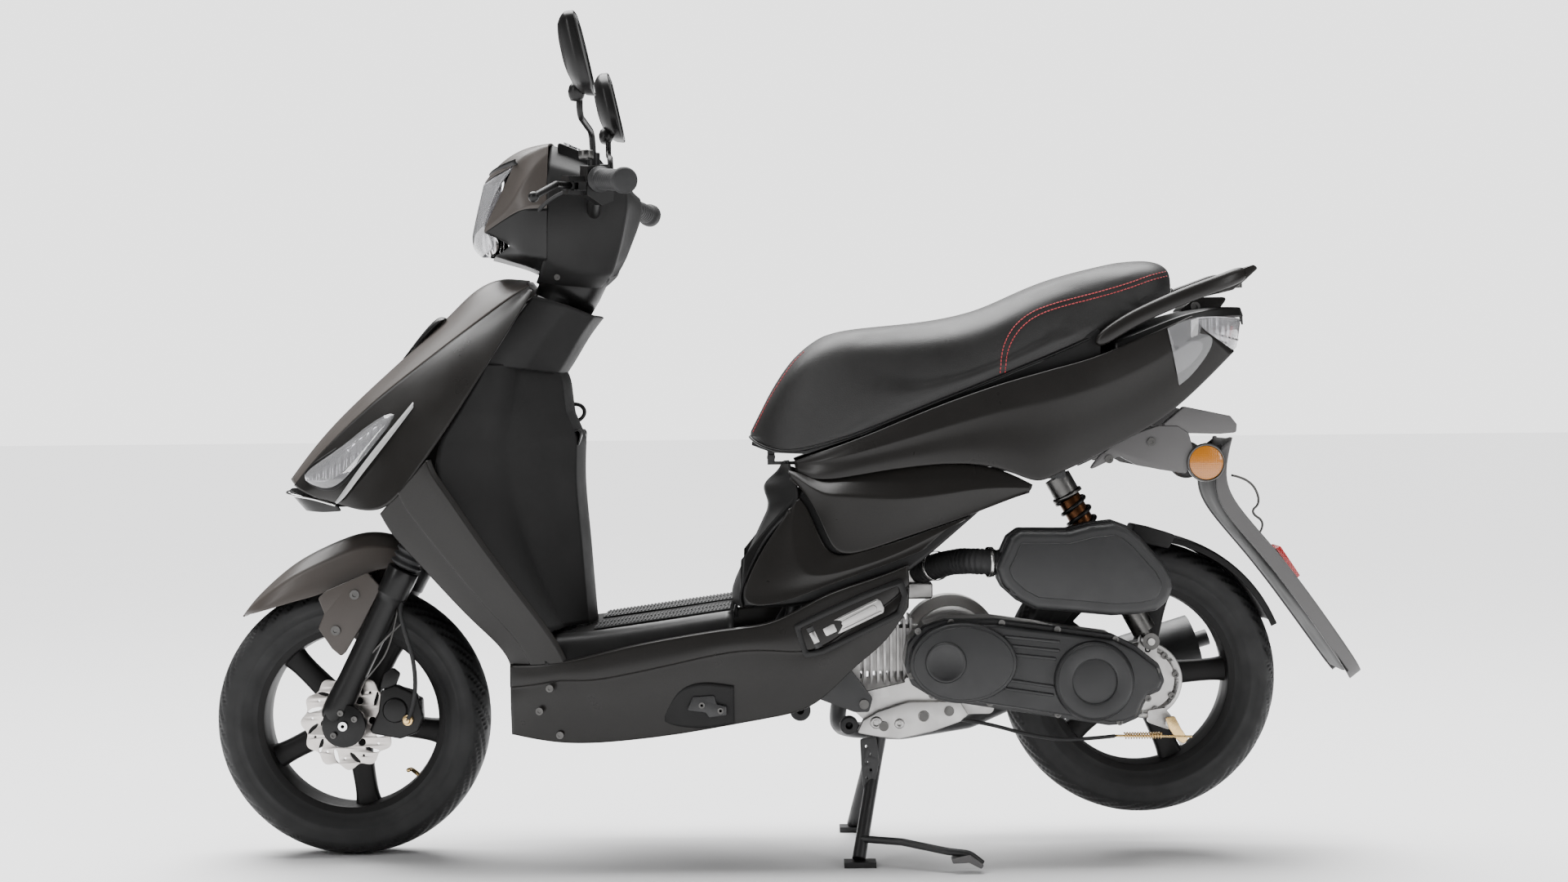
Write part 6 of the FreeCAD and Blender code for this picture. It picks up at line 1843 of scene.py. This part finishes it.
seat = seat_cover()
print("seat cover:", len(seat.data.polygons), "faces")
BASE = [(120, 690), (150, 706), (244, 745), (351, 782), (440, 805), (518, 828), (518, 874), (450, 842), (400, 822),
        (345, 800), (300, 782), (228, 754), (130, 712)]
for side, label in ((-1, "left"), (1, "right")):
    y0, y1 = sorted((side * 124, side * 131))
    finish_piece(plate("seat_base_" + label, BASE, y0, y1, 6, 1.5), "seat", BLACK)

# %% [markdown]
# Two rows of red stitches mark the step and run back along the passenger seat, and one runs up the
# front. A Geometry Nodes tree lays a stitch on every point of a line that is projected onto the cover.


# %% Stitches
def on_cover(side_y, x, z):
    """The point of the cover that is straight inward from the side at height z."""
    hit, place, normal, index = cover_side.ray_cast(Vector((x, side_y, z)) * MM, Vector((0, -1 if side_y > 0 else 1, 0)))
    return (place, normal) if hit else (None, None)


def route_on_side(points, side, spacing):
    line = smooth_line([mm(x, 0, z) for x, z in points], 3)
    out, left = [], 0.0
    for a, b in zip(line, line[1:]):
        step = (b - a).length
        while left < step:
            p = a.lerp(b, left / step)
            place, normal = on_cover(side * 250, p.x / MM, p.z / MM)
            if place:
                out.append((place + normal * 0.0004, normal))
            left += spacing * MM
        left -= step
    return out


def stitch_tree():
    tree = bpy.data.node_groups.new("Stitches", "GeometryNodeTree")
    face = tree.interface
    face.new_socket("Geometry", in_out="INPUT", socket_type="NodeSocketGeometry")
    for label, value in (("Stitch length", 0.004), ("Thread radius", 0.0006)):
        face.new_socket(label, in_out="INPUT", socket_type="NodeSocketFloat").default_value = value
    face.new_socket("Finish", in_out="INPUT", socket_type="NodeSocketMaterial")
    face.new_socket("Geometry", in_out="OUTPUT", socket_type="NodeSocketGeometry")
    nodes, links = tree.nodes, tree.links
    given, out = nodes.new("NodeGroupInput"), nodes.new("NodeGroupOutput")
    line = nodes.new("GeometryNodeMeshCylinder")
    line.inputs["Vertices"].default_value = 6
    links.new(given.outputs["Stitch length"], line.inputs["Depth"])
    links.new(given.outputs["Thread radius"], line.inputs["Radius"])
    along = nodes.new("GeometryNodeInputNamedAttribute")
    along.data_type = "FLOAT_VECTOR"
    along.inputs["Name"].default_value = "facing"
    turn = nodes.new("FunctionNodeAlignRotationToVector")
    turn.axis = "Z"
    links.new(along.outputs[0], turn.inputs["Vector"])
    place = nodes.new("GeometryNodeInstanceOnPoints")
    links.new(given.outputs["Geometry"], place.inputs["Points"])
    links.new(line.outputs["Mesh"], place.inputs["Instance"])
    links.new(turn.outputs[0], place.inputs["Rotation"])
    real = nodes.new("GeometryNodeRealizeInstances")
    links.new(place.outputs[0], real.inputs[0])
    thread = nodes.new("GeometryNodeSetMaterial")
    links.new(real.outputs[0], thread.inputs["Geometry"])
    links.new(given.outputs["Finish"], thread.inputs["Material"])
    links.new(thread.outputs[0], out.inputs[0])
    return tree


STITCH_TREE = stitch_tree()
baked = bake(add_object("probe", [v.co for v in seat.data.vertices], [tuple(p.vertices) for p in seat.data.polygons]))
from mathutils.bvhtree import BVHTree
graph = bpy.context.evaluated_depsgraph_get()


class SideProbe:
    """Answers where a ray meets the seat cover."""

    def __init__(self, obj):
        self.tree = BVHTree.FromPolygons([v.co for v in obj.data.vertices], [tuple(p.vertices) for p in obj.data.polygons])

    def ray_cast(self, start, direction):
        place, normal, index, distance = self.tree.ray_cast(start, direction)
        return place is not None, place, normal, index


cover_side = SideProbe(baked)
bpy.data.objects.remove(baked)

STEP_SEAM = [(352, 800), (354, 830), (362, 856), (378, 880), (404, 900), (441, 914), (516, 932), (572, 948), (609, 962),
             (638, 968)]
STEP_SEAM_2 = [(360, 800), (362, 828), (370, 851), (385, 873), (408, 892), (443, 906), (518, 924), (573, 940),
               (610, 954), (638, 960)]
FRONT_SEAM = [(-52, 706), (-40, 730), (-22, 766), (4, 806), (24, 832), (40, 844)]
stitches = []
for side in (-1, 1):
    for seam in (STEP_SEAM, STEP_SEAM_2, FRONT_SEAM):
        found = route_on_side(seam, side, 6.0)
        for (p, n), (q, m) in zip(found, found[1:]):
            if (q - p).length < 0.012:
                stitches.append((p.lerp(q, 0.5), q - p))
cloud = add_object("seat_stitches", [p for p, n in stitches], [])
facing = cloud.data.attributes.new("facing", "FLOAT_VECTOR", "POINT")
for item, (p, n) in zip(facing.data, stitches):
    item.vector = n.normalized()
run_tree(cloud, STITCH_TREE, {"Stitch length": 4.2 * MM, "Thread radius": 0.75 * MM, "Finish": THREAD})
clean(cloud, 1e-7)
finish_piece(cloud, "seat", THREAD)
print("stitches:", len(stitches))

# %% [markdown]
# A piping seam runs under the seat's edge, where the cover is stapled to its pan.

# %% Seat edge
edge = []
for x, half, low, shoulder, top in SEAT:
    edge.append(mm(x, -half * 0.99, low + 3))
edge_tube = [tube("edge", edge, 2.4, 8), tube("edge", [flip(p) for p in edge], 2.4, 8)]
finish_piece(join("seat_edge", edge_tube), "seat", BLACK_FINE)

# %% [markdown]
# ## Engine unit
# The belt cover is one moulding with two round bulges and a rib round its edge. It is built from a few
# plates and turned rings, all with rounded edges, joined into one piece.

# %% Belt cover
COVER = [(193, 327), (198, 362), (212, 380), (226, 392), (258, 402), (340, 402), (430, 390), (530, 376), (566, 358),
         (604, 328), (614, 300), (606, 283), (589, 276), (580, 262), (571, 240), (548, 230), (523, 228), (430, 243),
         (328, 259), (241, 273), (203, 297)]


def grown_outline(outline, amount):
    middle_x = sum(p[0] for p in outline) / len(outline)
    middle_z = sum(p[1] for p in outline) / len(outline)
    out = []
    for i, (x, z) in enumerate(outline):
        x0, z0 = outline[i - 1]
        x1, z1 = outline[(i + 1) % len(outline)]
        normal = Vector((z1 - z0, x0 - x1)).normalized()
        if normal.dot(Vector((x - middle_x, z - middle_z))) < 0:
            normal = -normal
        out.append((x + normal.x * amount, z + normal.y * amount))
    return out


def belt_cover():
    oval = [(284 + 84 * math.cos(a) * (1.04 if math.cos(a) > 0 else 1), 334 + 64 * math.sin(a))
            for a in [2 * math.pi * k / 40 for k in range(40)]]
    parts = [plate("lip", COVER, -164, -136, 10, 2.5, 3),
             plate("body", grown_outline(COVER, -7), -180, -150, 12, 9, 5),
             plate("bulge_front", grown_outline(oval, 1), -192, -160, 0, 5, 4),
             turned("bulge_rear", [(0, 0), (56, 0), (62, -3), (66, -12), (67, -30), (0, -30)],
                    mm(497, -190, 303), (0, -1, 0), 72),
             turned("rear_ring", [(36, 0), (60, 0.5), (60, 2.2), (57, 3), (39, 3), (36, 2.2)], mm(497, -190, 303),
                    (0, -1, 0), 72, closed=True),
             plate("front_rib", grown_outline(oval, -5), -195.5, -190, 0, 2, 3),
             turned("dish", [(0, 0), (27, 0), (31, 1.5), (33, 4.5), (30, 6), (27, 4.5), (24, 3), (0, 3)],
                    mm(257, -193, 336), (0, -1, 0), 64)]
    for (x0, z0), (x1, z1) in (((352, 376), (442, 366)), ((352, 362), (442, 352)), ((352, 348), (436, 339)),
                               ((356, 306), (432, 294)), ((352, 292), (432, 280))):
        parts.append(plate("rib", [(x0, z0 - 2.5), (x1, z1 - 2.5), (x1, z1 + 2.5), (x0, z0 + 2.5)], -183, -176, 2, 1.4))
    return finish_piece(join("belt_case_cover", parts), "engine_unit", CASE_LOOK, ["belt_cover"])


belt_cover()
cover_screws = [(214, 384), (268, 398), (350, 396), (440, 385), (534, 368), (600, 316), (586, 272), (540, 234), (440, 247),
                (330, 266), (236, 280), (203, 312)]
screws("belt_cover_screws", [(mm(x, -165, z), (0, -1, 0)) for x, z in cover_screws], 5.5, 5, DARK_STEEL, "engine_unit",
       0.5)

# %% [markdown]
# The air filter box is a rounded moulding above the belt case. A ribbed hose joins it to the carburettor.


# %% Air box
def air_box():
    outline = [(338, 488), (344, 466), (351, 453), (374, 432), (403, 417), (470, 411), (530, 405), (570, 407), (601, 413),
               (620, 430), (628, 451), (626, 470), (614, 492), (576, 535), (556, 552), (532, 561), (492, 557), (457, 548),
               (378, 549), (360, 536), (349, 512)]
    parts = [plate("back", outline, -150, -122, 12, 3, 3),
             plate("front", grown_outline(outline, -3), -186, -148, 14, 13, 6),
             plate("face", grown_outline(outline, -22), -188.5, -180, 14, 2.4, 3)]
    for x, z in ((496, 541), (604, 460), (372, 452)):
        parts.append(turned("boss", [(5, -4), (10, -4), (11, 2), (5, 2)], mm(x, -182, z), (0, -1, 0), 24, closed=True))
    return finish_piece(join("air_filter_box", parts), "engine_unit", CASE_LOOK, ["air_intake"])


air_box()
screws("air_box_screws", [(mm(x, -181, z), (0, -1, 0)) for x, z in ((496, 541), (604, 460), (372, 452))], 4.6, 4,
       DARK_STEEL, "engine_unit", 0.5)


def ribbed_hose():
    """A corrugated hose: rings along a smooth line, alternately wide and narrow."""
    line = smooth_line([mm(356, -140, 492), mm(322, -134, 494), mm(282, -86, 492), mm(240, -34, 476), mm(226, -8, 468)], 3)
    rings, side = [], (line[1] - line[0]).orthogonal().normalized()
    length = 0.0
    for i, p in enumerate(line):
        ahead = (line[min(i + 1, len(line) - 1)] - line[max(i - 1, 0)]).normalized()
        side = (side - ahead * side.dot(ahead)).normalized()
        other = ahead.cross(side)
        length += (p - line[i - 1]).length if i else 0
        radius = 21 + 2.6 * math.cos(2 * math.pi * length / 0.009)
        rings.append([p + (side * math.cos(2 * math.pi * k / 28) + other * math.sin(2 * math.pi * k / 28)) * radius * MM
                      for k in range(28)])
    obj = cage("hose", rings, loop=True)
    bm = bmesh.new()
    bm.from_mesh(obj.data)
    bmesh.ops.holes_fill(bm, edges=bm.edges, sides=0)
    bmesh.ops.recalc_face_normals(bm, faces=bm.faces)
    bm.to_mesh(obj.data)
    bm.free()
    return obj


finish_piece(subdivide(ribbed_hose(), 1), "engine_unit", RUBBER).name = "intake_hose"
for name, place in (("hose_clamp_front", mm(334, -135, 493)), ("hose_clamp_rear", mm(252, -46, 481))):
    axis = (-0.4, 0.9, -0.1) if name.endswith("rear") else (1, 0.2, 0)
    clamp = turned(name, [(23.5, -4), (25, -4), (25, 4), (23.5, 4)], place, axis, 40, closed=True)
    finish_piece(clamp, "engine_unit", STEEL)
carb = [plate("bowl", [(196, 424), (248, 424), (248, 452), (196, 452)], -28, 24, 6, 4, 3),
        plate("body", [(200, 448), (244, 448), (244, 488), (200, 488)], -22, 20, 5, 3, 3),
        turned("cap", [(0, 0), (17, 0), (19, 3), (19, 12), (14, 15), (0, 15)], mm(222, -2, 484), (0, 0, 1), 36)]
finish_piece(join("carburettor", carb), "engine_unit", ALLOY)

# %% Inner mudguard over the rear wheel
arc = [math.radians(a) for a in range(22, 101, 6)]
rows = []
for a in arc:
    out = Vector((math.cos(a), 0, math.sin(a)))
    base = REAR_AXLE + out * (TYRE_R + 0.0145)
    rows.append([base + mm(0, y, 0) - out * drop * MM for y, drop in
                 ((-60, 12), (-58, 3), (-46, -1), (0, -1.5), (46, -1), (58, 3), (60, 12))])
panel("rear_inner_mudguard", rows, "engine_unit", BLACK, "black_plastic", inside=REAR_AXLE, thick=3, sharp_cols=(1, 5))
bracket = plate("mudguard_stay", [(560, 520), (572, 552), (600, 546), (640, 534), (628, 512), (590, 520)], -126, -56, 5, 2)
finish_piece(bracket, "engine_unit", BLACK)

# %% [markdown]
# The crankcase, cylinder and exhaust keep their CAD shapes under better finishes: cast alloy, crackled
# black paint and bare steel. Ribs, bolts, hoses and a spring are added to them.

# %% Castings
paint(ALLOY, "crankcase", "cylinder_block", "brake_arm")
paint(CASE_LOOK, "exhaust")
paint(DARK_STEEL, "shock_upper", "shock_lower", "drive_pulley", "driven_pulley")
paint(RUBBER, "drive_belt")
hanger = [(116, 211), (126, 232), (150, 246), (200, 262), (286, 262), (300, 240), (286, 228), (240, 212), (186, 200),
          (150, 204)]
parts = [plate("hanger", hanger, -108, -92, 5, 2.5, 3)]
for x, z, r in ((148, 228, 9), (186, 226, 7), (226, 238, 8), (268, 246, 7)):
    parts.append(turned("boss", [(r - 4, -3), (r, -3), (r + 1.5, 0), (r + 1.5, 3), (r - 4, 3)], mm(x, -108, z), (0, 1, 0), 24,
                        closed=True))
finish_piece(join("engine_hanger", parts), "engine_unit", ALLOY)
hanger_bolts = [(mm(128, -112, 259), (0, -1, 0)), (mm(160, -109, 222), (0, -1, 0)), (mm(226, -109, 238), (0, -1, 0)),
                (mm(268, -109, 246), (0, -1, 0))]
screws("hanger_bolts", hanger_bolts, 8, 6, DARK_STEEL, "engine_unit", 0.0001)
hub_bolts = [(REAR_AXLE + mm(52 * math.cos(a), -74, 52 * math.sin(a)), (0, -1, 0)) for a in
             [math.radians(t) for t in (-70, -30, 10, 50, 84)]]
screws("hub_bolts", hub_bolts, 5.5, 8, DARK_STEEL, "engine_unit", 0.5)
hub_ring = turned("hub_ring", [(50, 0), (62, 0), (64, 3), (64, 9), (50, 9)], REAR_AXLE + mm(0, -72, 0), (0, 1, 0), 72, closed=True)
finish_piece(hub_ring, "engine_unit", ALLOY)


# %% [markdown]
# ## Springs and the shock absorber
# A coil is a tube along a helix.

# %% Coils
def coil(name, start, end, radius, wire, turns, steps=18, sides=8):
    axis = (end - start).normalized()
    side = axis.orthogonal().normalized()
    other = axis.cross(side)
    rings = []
    count = int(turns * steps) + 1
    for i in range(count):
        t = i / (count - 1)
        a = 2 * math.pi * turns * t
        out = side * math.cos(a) + other * math.sin(a)
        centre = start.lerp(end, t) + out * radius * MM
        along = (axis * ((end - start).length / (turns * 2 * math.pi * radius * MM)) + side * -math.sin(a)
                 + other * math.cos(a)).normalized()
        up = along.cross(out).normalized()
        rings.append([centre + (out * math.cos(b) + up * math.sin(b)) * wire * MM
                      for b in [2 * math.pi * k / sides for k in range(sides)]])
    obj = cage(name, rings, loop=True)
    bm = bmesh.new()
    bm.from_mesh(obj.data)
    bmesh.ops.holes_fill(bm, edges=bm.edges, sides=0)
    bmesh.ops.recalc_face_normals(bm, faces=bm.faces)
    bm.to_mesh(obj.data)
    bm.free()
    obj.data.polygons.foreach_set("use_smooth", [True] * len(obj.data.polygons))
    return obj


SHOCK_TOP = mm(444, -92, 640)
SHOCK_FOOT = mm(602, -92, 357)
SHOCK_DIR = (SHOCK_FOOT - SHOCK_TOP).normalized()
spring_top = SHOCK_TOP + SHOCK_DIR * 0.050
spring_foot = SHOCK_FOOT - SHOCK_DIR * 0.066
spring = coil("shock_coil", spring_top, spring_foot, 22.4, 3.6, 11, 20)
finish_piece(spring, "shock_tube", BLACK_FINE, ["shock_spring"])
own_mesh(spring)
collars = [turned("collar", [(19, -3), (25, -3), (26, -1), (26, 3), (19, 4)], SHOCK_TOP + SHOCK_DIR * 0.046, SHOCK_DIR, 40,
                  closed=True)]
finish_piece(join("shock_top_collar", collars), "shock_tube", DARK_STEEL)
sleeve = turned("shock_sleeve", [(17.5, 50), (19, 52), (19, 168), (17.5, 170)], SHOCK_TOP, SHOCK_DIR, 40, closed=True)
finish_piece(sleeve, "shock_tube", COPPER)

# %% Brake arm spring and rod
spring_line = (mm(556, -108, 203), mm(618, -108, 203))
finish_piece(coil("brake_return_spring", *spring_line, 5.0, 1.1, 14, 12, 6), "engine_unit", GOLD)
rod_parts = [tube("rod", [mm(540, -108, 203), mm(648, -104, 200), mm(668, -104, 200)], 2.2, 8)]
finish_piece(join("brake_rod", rod_parts), "engine_unit", GOLD)
arm = plate("brake_lever_arm", [(624, 232), (640, 234), (650, 214), (662, 196), (654, 188), (642, 196), (630, 214)], -105,
            -100, 4, 1)
finish_piece(arm, "brake_cam", GOLD)
cable = tube("rear_brake_cable", [mm(540, -110, 203), mm(470, -116, 196), mm(400, -118, 206), mm(330, -112, 226), mm(250, -96, 236),
                                  mm(180, -60, 250)], 3.2, 8)
finish_piece(cable, "engine_unit", RUBBER)

# %% [markdown]
# ## Stand
# The centre stand keeps its CAD tubes. A perforated plate stiffens its left leg, and two rubber
# dampers sit beside it.

# %% Stand plate, lever end and dampers
holes = [ring_points(3.0, 12, (-8 + 7 * (k % 2), 36 - 13 * k)) for k in range(6)]
outline = round_corners([(-18, 48), (8, 52), (12, 10), (2, -42), (-12, -44), (-16, 0)], 4, 3)
web = plate_with_holes("stand_plate", [[tuple(p) for p in outline], *holes], mm(140, -88, 150), 3, 0.6)
finish_piece(web, "stand", FRAME_PAINT)
pad = plate("stand_lever_pad", [(262, 24), (292, 30), (314, 14), (310, 8), (290, 18), (264, 17)], -222, -194, 3, 1.5)
finish_piece(pad, "stand", GREY)
for name, x, z, r, y in (("damper_front", 23, 250, 17, -110), ("damper_rear", 103, 224, 15, -104)):
    damper = turned(name, [(6, -10), (r - 2, -10), (r, -7), (r, 7), (r - 2, 10), (6, 10), (6, 4), (3, 3), (0, 3)],
                    mm(x, y, z), (0, 1, 0), 36)
    finish_piece(soften_edges(clean(damper), 0.8, 2), "chassis", RUBBER)

# %% [markdown]
# ## Cables and screws
# Cables leave the levers and go down behind the head. They cross the steering joint, and each one
# rides on the steering.

# %% Cables and body screws
for side, label in ((-1, "left"), (1, "right")):
    route = [mm(-346, side * 176, 1100), mm(-392, side * 140, 1086), mm(-408, side * 96, 1060)]
    finish_piece(tube("lever_cable_" + label, route, 3.0, 8), "steering", RUBBER)
body_screws = [(mm(-398, -186, 262), (0, -1, 0)), (mm(-366, -178, 222), (0, -1, 0)), (mm(-380, -196, 300), (0, -1, 0))]
screws("skirt_screws", both(body_screws), 6, 3, DARK_STEEL, "chassis", 0.5)
cover_side_screw = [(mm(-372, -88, 966), (0.3, -1, 0))]
screws("shroud_screws", both(cover_side_screw), 5, 3, DARK_STEEL, "steering", 0.5)
nuts = [turned("nut", [(5, -7), (11, -7), (12, -5), (12, 5), (11, 7), (5, 7)], mm(-310, side * 226, 1152), (0, 0, 1), 24, closed=True)
        for side in (-1, 1)]
finish_piece(join("mirror_nuts", nuts), "steering", DARK_STEEL)


# %% [markdown]
# ## Studio
# A wide pale floor under an even white sky, large soft lights and a camera at standing height. The
# lamps are wide, because a dark glossy object shows its lights as highlights along its edges. The sky
# is bright where the camera sees it and dim for everything else, as with dark flags round a set.

# %% Floor, lights and camera
def studio_floor():
    rows = [[Vector((x, y, 0)) for x in (-40, 40)] for y in (-40, 40)]
    floor = add_object("studio_floor", [p for row in rows for p in row], [(0, 1, 3, 2)])
    face_away(floor, Vector((0, 0, -4)))
    look = Finish("studio_white", (0.86, 0.86, 0.865), 0.8, specular_ior_level=0.1)
    look.drift(0.01, 2)
    floor.data.materials.append(look.material)


def studio_sky(bright, dim):
    world = bpy.data.worlds.new("studio")
    world.use_nodes = True
    tree = world.node_tree
    sky = tree.nodes["Background"]
    sky.inputs["Color"].default_value = (1, 1, 1, 1)
    path = tree.nodes.new("ShaderNodeLightPath")
    level = tree.nodes.new("ShaderNodeMapRange")
    level.inputs["To Min"].default_value = dim
    level.inputs["To Max"].default_value = bright
    tree.links.new(path.outputs["Is Camera Ray"], level.inputs["Value"])
    tree.links.new(level.outputs["Result"], sky.inputs["Strength"])
    scene.world = world


def daylight(strength):
    light = bpy.data.lights.new("daylight", "SUN")
    light.energy = strength
    light.angle = 1.1
    holder = bpy.data.objects.new("daylight", light)
    scene.collection.objects.link(holder)
    holder.rotation_euler = (math.radians(-24), math.radians(-10), 0)


def lamp(name, place, target, size, watts, tall=None):
    light = bpy.data.lights.new(name, "AREA")
    light.energy = watts
    light.shape = "RECTANGLE"
    light.size = size
    light.size_y = tall or size
    holder = bpy.data.objects.new(name, light)
    scene.collection.objects.link(holder)
    holder.location = place
    holder.rotation_euler = (Vector(target) - Vector(place)).to_track_quat("-Z", "Y").to_euler()


def studio():
    studio_floor()
    studio_sky(2.55, 0.15)
    daylight(8.2)
    lamp("overhead", (0, 0.5, 3.6), (0, 0.2, 0.4), 5.0, 150, 1.8)
    lamp("front_left", (-3.4, -3.0, 2.4), (-0.4, 0, 0.7), 0.7, 55, 2.6)
    lamp("rear_left", (3.4, -2.6, 2.2), (0.5, 0, 0.6), 0.7, 40, 2.6)


def camera():
    data = bpy.data.cameras.new("camera")
    data.sensor_width = 36
    data.lens = 36 * 2753 / 1920
    holder = bpy.data.objects.new("camera", data)
    scene.collection.objects.link(holder)
    level = Matrix.Rotation(math.radians(90 - 1.04), 4, "X")
    tilt = Matrix.Rotation(math.radians(-0.5), 4, "Z")
    holder.matrix_world = Matrix.Translation((0, -3.8, 0.760)) @ level @ tilt
    scene.camera = holder


studio()
camera()
